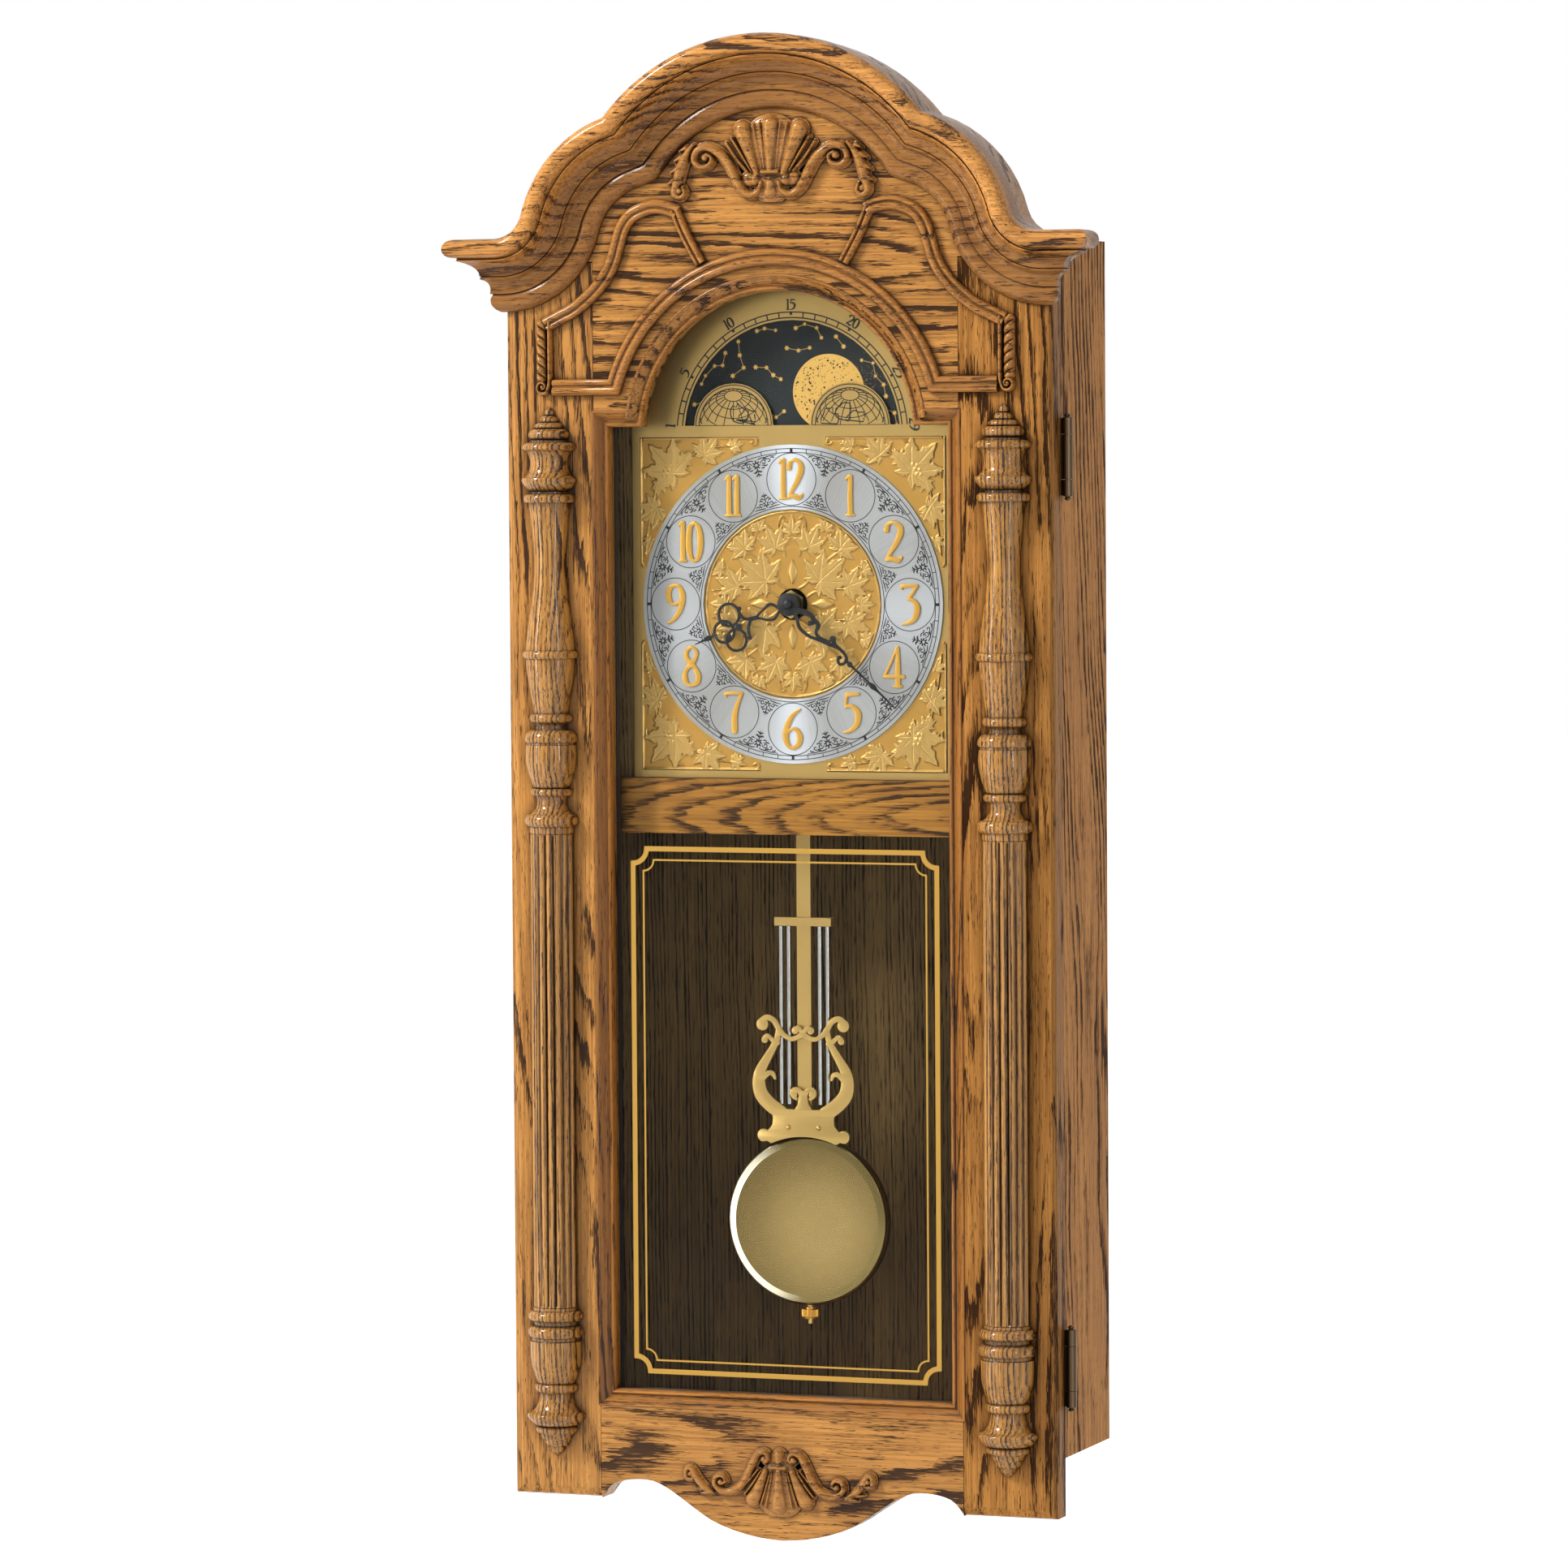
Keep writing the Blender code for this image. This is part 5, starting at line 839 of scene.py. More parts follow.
def platedMesh(name, loops, front, back, bevel=0.0):
    curve = bpy.data.curves.new(name, "CURVE")
    curve.dimensions = "2D"
    curve.fill_mode = "BOTH"
    curve.extrude = (back - front) / 2 - bevel
    curve.bevel_depth = bevel
    curve.bevel_resolution = 1
    curve.offset = -bevel
    for loop in loops:
        spline = curve.splines.new("POLY")
        spline.points.add(len(loop) - 1)
        for point, (x, z) in zip(spline.points, loop):
            point.co = (x, z, 0, 1)
        spline.use_cyclic_u = True
    holder = bpy.data.objects.new(name, curve)
    scene.collection.objects.link(holder)
    selectOnly(holder)
    bpy.ops.object.convert(target="MESH")
    mesh = bpy.context.object.data
    mesh.transform(Matrix.Translation((0, (front + back) / 2, 0)) @ Matrix.Rotation(math.pi / 2, 4, "X"))
    bm = bmesh.new()
    bm.from_mesh(mesh)
    bmesh.ops.remove_doubles(bm, verts=bm.verts[:], dist=0.000004)
    bmesh.ops.recalc_face_normals(bm, faces=bm.faces[:])
    kept = bpy.data.meshes.new(name)
    bm.to_mesh(kept)
    bm.free()
    bpy.data.objects.remove(bpy.context.object)
    return kept


def reliefMesh(name, field, back, rim):
    # the field's heights as a carved surface out of a back plane, closed behind
    inside = field.inside
    full = inside > 0
    cells = full[:-1, :-1] & full[:-1, 1:] & full[1:, 1:] & full[1:, :-1]
    used = np.zeros(inside.shape, bool)
    used[:-1, :-1] |= cells
    used[:-1, 1:] |= cells
    used[1:, 1:] |= cells
    used[1:, :-1] |= cells
    slopeZ, slopeX = np.gradient(inside, field.step)
    size = np.maximum(np.hypot(slopeX, slopeZ), reliefEdge["leastSlope"])
    near = np.zeros(inside.shape, bool)
    near[1:-1, 1:-1] = ~(used[:-2, 1:-1] & used[2:, 1:-1] & used[1:-1, :-2] & used[1:-1, 2:]
                         & used[:-2, :-2] & used[2:, 2:] & used[:-2, 2:] & used[2:, :-2])
    onEdge = near & used & (inside < field.step * reliefEdge["near"])
    push = np.where(onEdge, np.clip(inside, 0, field.step * reliefEdge["most"]), 0)
    x = field.x - slopeX / size * push
    z = field.z - slopeZ / size * push
    y = back - rim - field.height * np.where(near, reliefEdge["height"], 1.0)
    index = np.full(inside.shape, -1)
    index[used] = np.arange(used.sum())
    verts = np.stack([x[used], y[used], z[used]], 1)
    rows, columns = np.nonzero(cells)
    faces = np.stack([index[rows, columns], index[rows, columns + 1], index[rows + 1, columns + 1],
                      index[rows + 1, columns]], 1)
    mesh = bpy.data.meshes.new(name)
    mesh.from_pydata(verts.tolist(), [], faces.tolist())
    bm = bmesh.new()
    bm.from_mesh(mesh)
    ragged = [edge for edge in bm.edges if len(edge.link_faces) == 1]
    made = bmesh.ops.extrude_edge_only(bm, edges=ragged)["geom"]
    for item in made:
        if isinstance(item, bmesh.types.BMVert):
            item.co.y = back
    behind = [item for item in made if isinstance(item, bmesh.types.BMEdge)]
    bmesh.ops.holes_fill(bm, edges=behind, sides=0)
    bmesh.ops.recalc_face_normals(bm, faces=bm.faces[:])
    bm.to_mesh(mesh)
    bm.free()
    return mesh


# Hinge barrels: a small turned cap on both ends

hinge = {
    "length": 0.045,
    "cap": ((0.0, 0.003), (0.0008, 0.0029), (0.0017, 0.0023), (0.0019, 0.0016), (0.0014, 0.001),
            (0.0016, 0.0006), (0.0027, 0.0004), (0.0028, 0.0), (0.0, 0.0)),
}


def makeFinials():
    for name in ("upper", "lower"):
        low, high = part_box(f"hinge_pin_{name}")
        middle = (low + high) / 2
        for end, sign in (("top", 1), ("foot", -1)):
            place = (middle.x, middle.y, middle.z + sign * hinge["length"] / 2)
            mesh = spunMesh(f"hinge_{name}_{end}", hinge["cap"], place, (0, 0, sign), 24)
            keepPiece(f"hinge_{name}_{end}", mesh, "bronze", "case", 25)


makeFinials()


# Door: the moulding round the glass, the cornice, the columns and the applied mouldings

door = {
    "sightHalf": 0.106, "sightBottom": -0.325, "shoulder": 0.249, "archRadius": 0.085,
    "stickingProfile": (
        (0.0, -0.0086), (0.0, -0.0056), (-0.0003, -0.0043), (-0.001, -0.0034), (-0.0019, -0.003),
        (-0.0027, -0.0034), (-0.0033, -0.0041), (-0.004, -0.004), (-0.0052, -0.0029), (-0.0064, -0.0017),
        (-0.0074, -0.0006), (-0.0079, -0.0002), (-0.0083, 0.0004), (-0.009, 0.0008), (-0.0096, 0.0005),
        (-0.0099, -0.0003), (-0.008, -0.0012), (-0.001, -0.0082)),
}


def sightPath():
    centre = clock["moonZ"]
    rise = math.degrees(math.asin((door["shoulder"] - centre) / door["archRadius"]))
    head = arcPath(0, centre, door["archRadius"], rise, 180 - rise, 72)
    half = door["sightHalf"]
    return [(-half, door["sightBottom"]), (half, door["sightBottom"]), (half, door["shoulder"]), *head,
            (-half, door["shoulder"])]


def makeSightMoulding():
    path = sightPath()
    verts, faces = swept(path, door["stickingProfile"], True, clock["face"])
    ring = len(door["stickingProfile"])
    last = len(path)
    runs = (("bottom", 0, 1, "moulded"), ("right", 1, 2, "upright"), ("arch", 2, last - 1, "moulded"),
            ("left", last - 1, last, "upright"))
    for name, start, end, wood in runs:
        order = [index % last for index in range(start, end + 1)]
        kept = [vert for index in order for vert in verts[index * ring:(index + 1) * ring]]
        walls = tubeWalls(len(order), ring) + tubeEnds(len(order), ring)
        keepBuilt(f"sight_moulding_{name}", (kept, walls), wood, "door", 28)


makeSightMoulding()


cornice = {
    "height": 0.043, "projection": 0.025, "return": 0.03, "half": 0.171,
    "crownRadius": 0.1275, "valleyHalf": 0.0991, "shoulderRadius": 0.08, "shoulderHalf": 0.074,
    "fillet": 0.019,
    # down and out, as shares
    "profile": (
        (0.0, 0.8), (0.012, 0.875), (0.035, 0.935), (0.075, 0.98), (0.125, 1.0), (0.175, 0.99),
        (0.215, 0.955), (0.243, 0.9), (0.253, 0.84), (0.257, 0.77), (0.268, 0.745), (0.285, 0.765),
        (0.3, 0.755), (0.309, 0.71), (0.33, 0.62), (0.365, 0.52), (0.41, 0.445), (0.455, 0.405),
        (0.49, 0.395), (0.505, 0.395), (0.511, 0.365), (0.522, 0.385), (0.545, 0.385), (0.558, 0.355),
        (0.566, 0.315), (0.59, 0.265), (0.63, 0.232), (0.68, 0.218), (0.725, 0.222), (0.748, 0.228),
        (0.753, 0.18), (0.768, 0.185), (0.795, 0.208), (0.83, 0.22), (0.88, 0.213), (0.925, 0.185),
        (0.965, 0.13), (0.99, 0.07), (1.0, 0.03)),
}


def pedimentHalf():
    top, flat = clock["pedimentTop"], clock["pedimentFlat"]
    centre = top - cornice["crownRadius"]
    valley = math.degrees(math.acos(cornice["valleyHalf"] / cornice["crownRadius"]))
    crown = arcPath(0, centre, cornice["crownRadius"], 90, valley, 30)
    reach = cornice["valleyHalf"] - cornice["shoulderHalf"]
    shoulderZ = crown[-1][1] - math.sqrt(cornice["shoulderRadius"] ** 2 - reach ** 2)
    filletZ = flat + cornice["fillet"]
    both = cornice["shoulderRadius"] + cornice["fillet"]
    lean = math.asin((filletZ - shoulderZ) / both)
    start = math.degrees(math.atan2(crown[-1][1] - shoulderZ, reach))
    end = math.degrees(lean)
    shoulder = arcPath(cornice["shoulderHalf"], shoulderZ, cornice["shoulderRadius"], start, end, 26)
    filletX = cornice["shoulderHalf"] + both * math.cos(lean)
    foot = arcPath(filletX, filletZ, cornice["fillet"], 180 + end, 270, 14)
    return crown + shoulder[1:] + foot[1:]


def makeCornice():
    half, profile, back = cornice["half"], cornice["profile"], clock["moulding"]
    right = [(x, z) for x, z in pedimentHalf() if x < half - 0.0003] + [(half, clock["pedimentFlat"])]
    path = flip(right)[::-1] + right[1:]
    verts = []
    for index, (x, z) in enumerate(path):
        up = leftOf(path, index)
        size = up[0] ** 2 + up[1] ** 2
        atEnd = (index == len(path) - 1) - (index == 0)
        section = []
        for down, out in profile:
            depth = down * cornice["height"]
            section.append((x - up[0] / size * depth + atEnd * out * cornice["return"],
                            back - out * cornice["projection"], z - up[1] / size * depth))
        verts += section + [(px, back, pz) for px, y, pz in reversed(section)]
    ring = len(profile) * 2
    faces = tubeWalls(len(path), ring)
    for start in (0, (len(path) - 1) * ring):
        for k in range(len(profile) - 1):
            faces.append((start + k, start + k + 1, start + ring - 2 - k, start + ring - 1 - k))
    keepBuilt("cornice_moulding", (verts, faces), "cornice", "door", 30, ("cornice",))


makeCornice()


column = {
    "axisHalf": 0.1425, "top": 0.2608, "length": 0.627, "radius": 0.0172, "steps": 90,
    "reeds": 8, "reedDepth": 0.0032, "reedEnd": 0.0022, "reedCrest": 0.0004, "reedRound": 0.985,
    "shaft": (0.4045, 0.8565), "shaftRadius": 0.765,
    # rows along the reeded shaft, as shares of it
    "rows": (0.0008, 0.006, 0.25, 0.5, 0.75, 0.994, 0.9992),
    # down and out, as shares; a third value of 1 keeps a corner sharp
    "profile": (
        (0.0, 0.0), (0.001, 0.1), (0.0035, 0.17), (0.0065, 0.17), (0.0078, 0.13, 1), (0.0082, 0.24),
        (0.0105, 0.33), (0.0128, 0.34), (0.0142, 0.31, 1), (0.0146, 0.42), (0.0168, 0.53), (0.0192, 0.52),
        (0.0202, 0.47, 1), (0.0206, 0.6), (0.023, 0.71), (0.0262, 0.74), (0.0292, 0.7), (0.0306, 0.62, 1),
        (0.0312, 0.66, 1), (0.0326, 0.66, 1), (0.033, 0.8), (0.0345, 0.92), (0.0372, 0.98), (0.0396, 0.95),
        (0.0404, 0.88, 1), (0.042, 0.8), (0.047, 0.71), (0.054, 0.68), (0.061, 0.74), (0.0655, 0.86),
        (0.0668, 0.97, 1), (0.069, 0.99), (0.073, 0.93), (0.0772, 0.8), (0.079, 0.72, 1), (0.0796, 0.66, 1),
        (0.0812, 0.66, 1), (0.0817, 0.82), (0.084, 0.92), (0.0872, 0.93), (0.0896, 0.9, 1), (0.09, 0.76, 1),
        (0.1, 0.72), (0.118, 0.65), (0.137, 0.59), (0.151, 0.575), (0.168, 0.61), (0.185, 0.68),
        (0.205, 0.79), (0.224, 0.875), (0.2302, 0.89, 1), (0.2308, 0.95), (0.233, 1.0), (0.2356, 1.0),
        (0.2376, 0.95), (0.2382, 0.89, 1), (0.248, 0.865), (0.265, 0.78), (0.282, 0.675), (0.2902, 0.62, 1),
        (0.2908, 0.7), (0.293, 0.77), (0.2962, 0.77), (0.2986, 0.7), (0.2992, 0.6, 1), (0.302, 0.55),
        (0.3052, 0.57, 1), (0.3057, 0.72), (0.308, 0.86), (0.3112, 0.93), (0.315, 0.95), (0.3172, 0.92, 1),
        (0.3176, 0.87, 1), (0.3196, 0.87, 1), (0.32, 0.9, 1), (0.329, 0.93), (0.339, 0.9), (0.35, 0.8),
        (0.359, 0.67), (0.3612, 0.62, 1), (0.3616, 0.69), (0.3636, 0.75), (0.3662, 0.75), (0.3682, 0.69),
        (0.3687, 0.58, 1), (0.374, 0.53), (0.38, 0.58), (0.3848, 0.72), (0.386, 0.8, 1), (0.3866, 0.88),
        (0.3895, 0.96), (0.3935, 0.97), (0.3968, 0.9), (0.3978, 0.8, 1), (0.403, 0.8, 1),
        (0.4045, 0.765, 1), (0.8565, 0.765, 1), (0.858, 0.82, 1), (0.86, 0.82, 1), (0.8604, 0.9),
        (0.8632, 0.99), (0.8668, 0.99), (0.8696, 0.9), (0.8702, 0.8, 1), (0.8742, 0.78, 1), (0.8746, 0.88),
        (0.8778, 0.99), (0.8822, 1.0), (0.8852, 0.93, 1), (0.8858, 0.87, 1), (0.8886, 0.87, 1),
        (0.8892, 0.93, 1), (0.9, 0.93), (0.911, 0.9), (0.922, 0.79), (0.93, 0.67, 1), (0.9306, 0.74),
        (0.933, 0.79), (0.9362, 0.77), (0.9382, 0.7), (0.9388, 0.6, 1), (0.944, 0.62), (0.951, 0.7),
        (0.956, 0.82), (0.9572, 0.9, 1), (0.9588, 1.04), (0.9612, 1.05, 1), (0.965, 0.98), (0.969, 0.84),
        (0.9704, 0.68, 1), (0.971, 0.72), (0.9738, 0.76), (0.9768, 0.72), (0.9782, 0.62, 1), (0.979, 0.6),
        (0.9822, 0.56), (0.9842, 0.5, 1), (0.985, 0.48), (0.988, 0.44), (0.9902, 0.37, 1), (0.9908, 0.3),
        (0.994, 0.26), (0.9966, 0.18),  (1.0, 0.0)),
}


def turnedProfile():
    runs, run = [], []
    for point in column["profile"]:
        run.append(point[:2])
        if len(point) == 3:
            runs.append(run)
            run = [point[:2]]
    smooth = []
    for run in runs + [run]:
        part = smoothPath(run, 3) if len(run) > 2 else run
        smooth += part[1:] if smooth else part
    full = []
    for (down, out), (nextDown, nextOut) in zip(smooth, smooth[1:]):
        full.append((down, out))
        if nextDown - down > 0.3:
            full += [(down + (nextDown - down) * share, out) for share in column["rows"]]
    full.append(smooth[-1])
    return [(max(out, 0.0) * column["radius"], -down * column["length"]) for down, out in full]


def carveReeds(mesh, axis, face):
    top, bottom = (column["top"] - share * column["length"] for share in column["shaft"])
    for vert in mesh.vertices:
        dx, dy = vert.co.x - axis, vert.co.y - face
        away = math.hypot(dx, dy)
        onShaft = abs(away - column["shaftRadius"] * column["radius"]) <= 0.0001
        if not (onShaft and bottom < vert.co.z < top):
            continue
        ends = min(top - vert.co.z, vert.co.z - bottom) / column["reedEnd"]
        across = (math.atan2(-dy, dx) / math.pi * column["reeds"]) % 1 * 2 - 1
        rounded = 1 - math.sqrt(max(0, 1 - across * across * column["reedRound"]))
        hollow = column["reedDepth"] * rounded * min(1, max(ends, 0.0))
        scale = 1 + (column["reedCrest"] - hollow) / away
        vert.co.x = axis + dx * scale
        vert.co.y = face + dy * scale


def makeColumns():
    profile = turnedProfile()
    face = clock["moulding"]
    for side, sign in (("left", -1), ("right", 1)):
        axis = sign * column["axisHalf"]
        mesh = spunMesh(f"column_turning_{side}", profile, (axis, face, column["top"]), (0, 0, 1),
                        column["steps"], math.pi)
        carveReeds(mesh, axis, face)
        bm = bmesh.new()
        bm.from_mesh(mesh)
        ragged = [edge for edge in bm.edges if len(edge.link_faces) == 1]
        bmesh.ops.holes_fill(bm, edges=ragged, sides=0)
        bmesh.ops.recalc_face_normals(bm, faces=bm.faces[:])
        bm.to_mesh(mesh)
        bm.free()
        keepPiece(f"column_turning_{side}", mesh, "turned", "door", 40, (f"column_{side}",))


makeColumns()
print("cornice, sight moulding and columns made")


trim = {
    "thick": 0.0042, "strutThick": 0.94, "archRadius": 0.10475, "archWidth": 0.0095, "footZ": 0.27265,
    "footHalf": 0.1394, "scrollWidth": 0.0084, "strutWidth": 0.0066,
    "scroll": (
        (0.1438, 0.3098), (0.1347, 0.3143), (0.1267, 0.3181), (0.119, 0.3237), (0.1112, 0.3308),
        (0.1044, 0.3394), (0.1001, 0.3484), (0.0974, 0.3576), (0.0943, 0.3666), (0.0886, 0.3737),
        (0.0798, 0.3777), (0.0721, 0.3788), (0.0626, 0.3768), (0.059, 0.3752)),
    "strut": ((0.0612, 0.3772), (0.0545, 0.362), (0.0448, 0.3446)),
}
rope = {
    "half": 0.145, "low": 0.2679, "high": 0.31, "margin": (0.0066, 0.0006, 0.003), "step": 0.00022,
    "filletAside": 0.0038, "filletWidth": 0.0026, "filletRise": 0.0038, "pitch": 0.0056, "slant": 0.0082,
    "rise": 0.004, "rim": 0.0006,
    # the eye of the foot's curl, and its ball's radius and height
    "eye": (0.0008, 0.005), "ball": (0.0019, 0.0036),
    # radii, turns in degrees, widths and steps of the curl
    "curl": (0.004, 0.0012, 235, 640, 0.0025, 0.0017, 26),
    # aside and width at the top and at the foot of the strand
    "strand": ((0.0016, 0.0066), (0.0014, 0.0068)),
}


def beadProfile(width, thick, split=0.45, sign=1):
    # a narrow bead and a broad one, with a groove between
    section = [(width / 2, 0.0), (width / 2, thick * 0.42)]
    for low, high, share in ((0.0, split, 0.86), (split, 1.0, 1.0)):
        for step in range(9):
            t = (step + 0.5) / 9
            bulge = math.sin(math.pi * t) ** 0.55
            out = thick * (0.42 + 0.58 * bulge * share)
            section.append((width / 2 - width * (low + (high - low) * t), out))
    section += [(-width / 2, thick * 0.42), (-width / 2, 0.0)]
    return [(sign * across, out) for across, out in section]


def makeTrims():
    centre = clock["moonZ"]
    rise = math.degrees(math.asin((trim["footZ"] - centre) / trim["archRadius"]))
    head = arcPath(0, centre, trim["archRadius"], 180 - rise, rise, 84)
    path = [(-trim["footHalf"], trim["footZ"]), *head, (trim["footHalf"], trim["footZ"])]
    arch = swept(path, beadProfile(trim["archWidth"], trim["thick"]))
    keepBuilt("arch_bead", arch, "moulded", "door", 35, ("arch_trim",))
    for side, sign in (("left", -1), ("right", 1)):
        parts = []
        for key, steps, width, thick in (("scroll", 5, "scrollWidth", 1.0),
                                         ("strut", 6, "strutWidth", trim["strutThick"])):
            line = smoothPath(trim[key], steps)
            line = line if sign > 0 else flip(line)[::-1]
            parts.append(swept(line, beadProfile(trim[width], trim["thick"] * thick, 0.42, -sign)))
        keepBuilt(f"scroll_bead_{side}", joined(parts), "moulded", "door", 35,
                  (f"scroll_trim_{side}",))
        makeRope(side, sign)


def makeRope(side, sign):
    low, high, middle = rope["low"], rope["high"], rope["half"]
    beside, below, above = rope["margin"]
    corners = ((middle - beside, low - below), (middle + beside, high + above))
    field = Field(*corners, rope["step"])
    inner, wide = middle - rope["filletAside"], rope["filletWidth"]
    eye = (middle + rope["eye"][0], low + rope["eye"][1])
    fillet = [(inner, high + 0.0016, wide - 0.0002), (inner, high - 0.01, wide), (inner, low + 0.01, wide),
              (inner + 0.0003, low + 0.0065, wide), (inner + 0.0013, low + 0.0032, wide)]
    field.stroke(smoothPath(fillet, 5) + spiral(*eye, *rope["curl"]), rope["filletRise"])
    strand = Field(*corners, rope["step"])
    (topAside, topWidth), (footAside, footWidth) = rope["strand"]
    strand.stroke([(middle + topAside, high, topWidth), (middle + footAside, low + 0.01, footWidth)], 1.0)
    turns = (strand.z - low) / rope["pitch"] - (strand.x - middle) / rope["slant"]
    twist = np.abs(np.sin(math.pi * turns)) ** 0.6
    field.add(whole, strand.inside, rope["rise"] * strand.height * (0.38 + 0.62 * twist))
    field.ball(*eye, *rope["ball"])
    mesh = reliefMesh(f"rope_{side}", field, clock["moulding"], rope["rim"])
    if sign < 0:
        mesh.transform(Matrix.Diagonal((-1, 1, 1, 1)))
        mesh.flip_normals()
    keepPiece(f"rope_carving_{side}", mesh, "carved", "door", 50)


makeTrims()


# Carvings: strokes of varying width, in millimetres from the carving's middle and foot

crown = {
    "foot": 0.3812, "half": 0.067, "high": 0.052, "rim": 0.0012, "step": 0.00042,
    "middle": (
        (((0.0, 8.0, 20.0), (0.0, 32.0, 36.0)), 2.7),
        (((0.0, 44.6, 11.0), (0.0, 38, 10.4), (0.0, 28, 7.4), (0.0, 17, 4.6)), 5.0),
        (((0.0, 12.5, 5.0), (0.0, 9.0, 7.4), (0.0, 5.2, 9.8)), 4.6),
        (((-5.0, 16.6, 3.2), (5.0, 16.6, 3.2)), 5.2),
        (((-3.4, 13.4, 2.0), (3.4, 13.4, 2.0)), 4.2)),
    "side": (
        (((6.6, 45.0, 2.0), (5.3, 36, 2.2), (3.6, 18, 1.9)), 3.4),
        (((10.6, 44.4, 2.0), (8.6, 34, 2.2), (5.0, 18, 1.9)), 3.2),
        (((17.6, 41.4, 11.4), (15.0, 34, 9.6), (11.4, 24, 6.6), (8.2, 16, 4.4)), 4.7),
        (((24.2, 36.6, 2.0), (18.0, 27, 2.2), (12.0, 17.4, 1.8)), 3.2),
        (((27.7, 34.0, 2.0), (21.6, 25, 2.2), (14.2, 17.0, 1.8)), 3.0),
        (((5.6, 10.4, 3.4), (7.4, 5.6, 4.0), (12.6, 3.2, 4.6), (18.4, 7.4, 5.6), (23.1, 15.4, 6.2),
          (26.9, 22.6, 6.4), (33.0, 28.6, 6.2), (40.1, 31.6, 5.6), (46.2, 29.6, 4.8), (47.9, 24.2, 4.2),
          (43.9, 20.2, 3.8), (38.4, 21.2, 3.4), (36.6, 25.4, 2.8), (39.9, 27.6, 2.4)), 4.6),
        (((48.3, 33.0, 2.4), (52.5, 28.0, 5.0), (56.3, 20.4, 6.8), (58.6, 12.4, 6.6), (60.5, 5.4, 4.6),
          (57.3, 2.4, 3.6), (54.0, 4.8, 3.0), (55.0, 8.6, 2.4)), 4.2),
        (((53.1, 31.4, 3.4), (56.9, 29.6, 1.4)), 3.6), (((56.1, 26.0, 3.6), (60.3, 23.8, 1.4)), 3.6),
        (((58.2, 19.6, 3.6), (62.6, 17.2, 1.4)), 3.6), (((59.6, 13.2, 3.4), (64.0, 10.6, 1.4)), 3.4)),
    "balls": ((13.8, 12.6, 4.6, 2.6), (9.4, 12.2, 3.9, 4.8), (40.7, 25.6, 2.8, 4.6), (57.3, 6.2, 2.6, 4.0)),
}

base = {
    "foot": -0.3955, "half": 0.0625, "high": 0.042, "rim": 0.001, "step": 0.00036,
    "middle": (
        (((0, 30, 16.0), (0, 14, 30.0)), 2.0),
        (((0, 5.6, 10.4), (0, 12, 8.6), (0, 20, 6.2), (0, 27, 4.2)), 4.7),
        (((0, 30.4, 3.8), (0, 34, 5.4), (0, 36.4, 7.0)), 4.2),
        (((-4.4, 28.6, 2.8), (4.4, 28.6, 2.8)), 4.8)),
    "side": (
        (((8.4, 5.0, 1.9), (6.4, 14, 2.0), (4.2, 26, 1.6)), 3.0),
        (((11.4, 6.4, 1.9), (8.6, 15, 2.0), (5.4, 26, 1.6)), 2.8),
        (((16.4, 9.4, 9.6), (13.4, 15, 7.6), (8.4, 26.4, 4.0)), 4.4),
        (((21.6, 12.4, 1.8), (17.0, 18, 2.0), (11.6, 26, 1.6)), 2.8),
        (((24.2, 14.6, 1.8), (19.4, 20, 2.0), (13.4, 27, 1.6)), 2.6),
        (((8.6, 31.4, 2.4), (6.6, 34.2, 2.8), (9.0, 37.6, 3.6), (13.4, 36.0, 4.4), (16.8, 30.4, 4.8),
          (20.2, 23.0, 5.0), (24.6, 16.4, 5.2), (30.6, 13.4, 5.0), (36.6, 13.6, 4.4), (40.6, 17.2, 3.8),
          (39.6, 21.6, 3.4), (35.6, 22.4, 3.0), (33.8, 19.4, 2.4), (36.0, 17.8, 2.0)), 4.2),
        (((42.4, 12.6, 3.0), (47.0, 14.6, 4.6), (51.6, 19.6, 4.6), (55.4, 25.6, 4.0), (58.4, 25.4, 3.6),
          (58.6, 20.6, 3.2), (54.8, 19.8, 2.6), (54.4, 22.6, 2.2)), 3.9),
        (((44.4, 12.0, 3.0), (49.4, 11.6, 1.2)), 3.0), (((48.4, 14.0, 3.0), (53.6, 14.6, 1.2)), 3.0)),
    "balls": ((9.2, 33.6, 2.5, 4.2), (36.8, 18.6, 2.4, 4.4), (56.0, 22.6, 2.2, 3.8)),
}


def makeCarving(name, carving, replaced):
    half, foot = carving["half"], carving["foot"]
    field = Field((-half, foot - 0.001), (half, foot + carving["high"]), carving["step"])
    strokes = list(carving["middle"])
    for stroke, rise in carving["side"]:
        strokes += [(stroke, rise), (flip(stroke), rise)]
    for stroke, rise in strokes:
        points = [(x / 1000, foot + z / 1000, width / 1000) for x, z, width in stroke]
        field.stroke(smoothPath(points, 5) if len(points) > 2 else points, rise / 1000)
    for x, z, radius, rise in carving["balls"]:
        for sign in (-1, 1):
            field.ball(sign * x / 1000, foot + z / 1000, radius / 1000, rise / 1000)
    # a thin ground joins the strokes
    field.inside += 0.0009
    mesh = reliefMesh(name, field, clock["moulding"], carving["rim"])
    keepPiece(name, mesh, "carved", "door", 60, (replaced,))


makeCarving("crown_shell", crown, "crown_carving")
makeCarving("base_shell", base, "base_carving")
print("mouldings and carvings made")


# Hands, drawn pointing up: strokes of (along, aside, width) in millimetres from the arbor

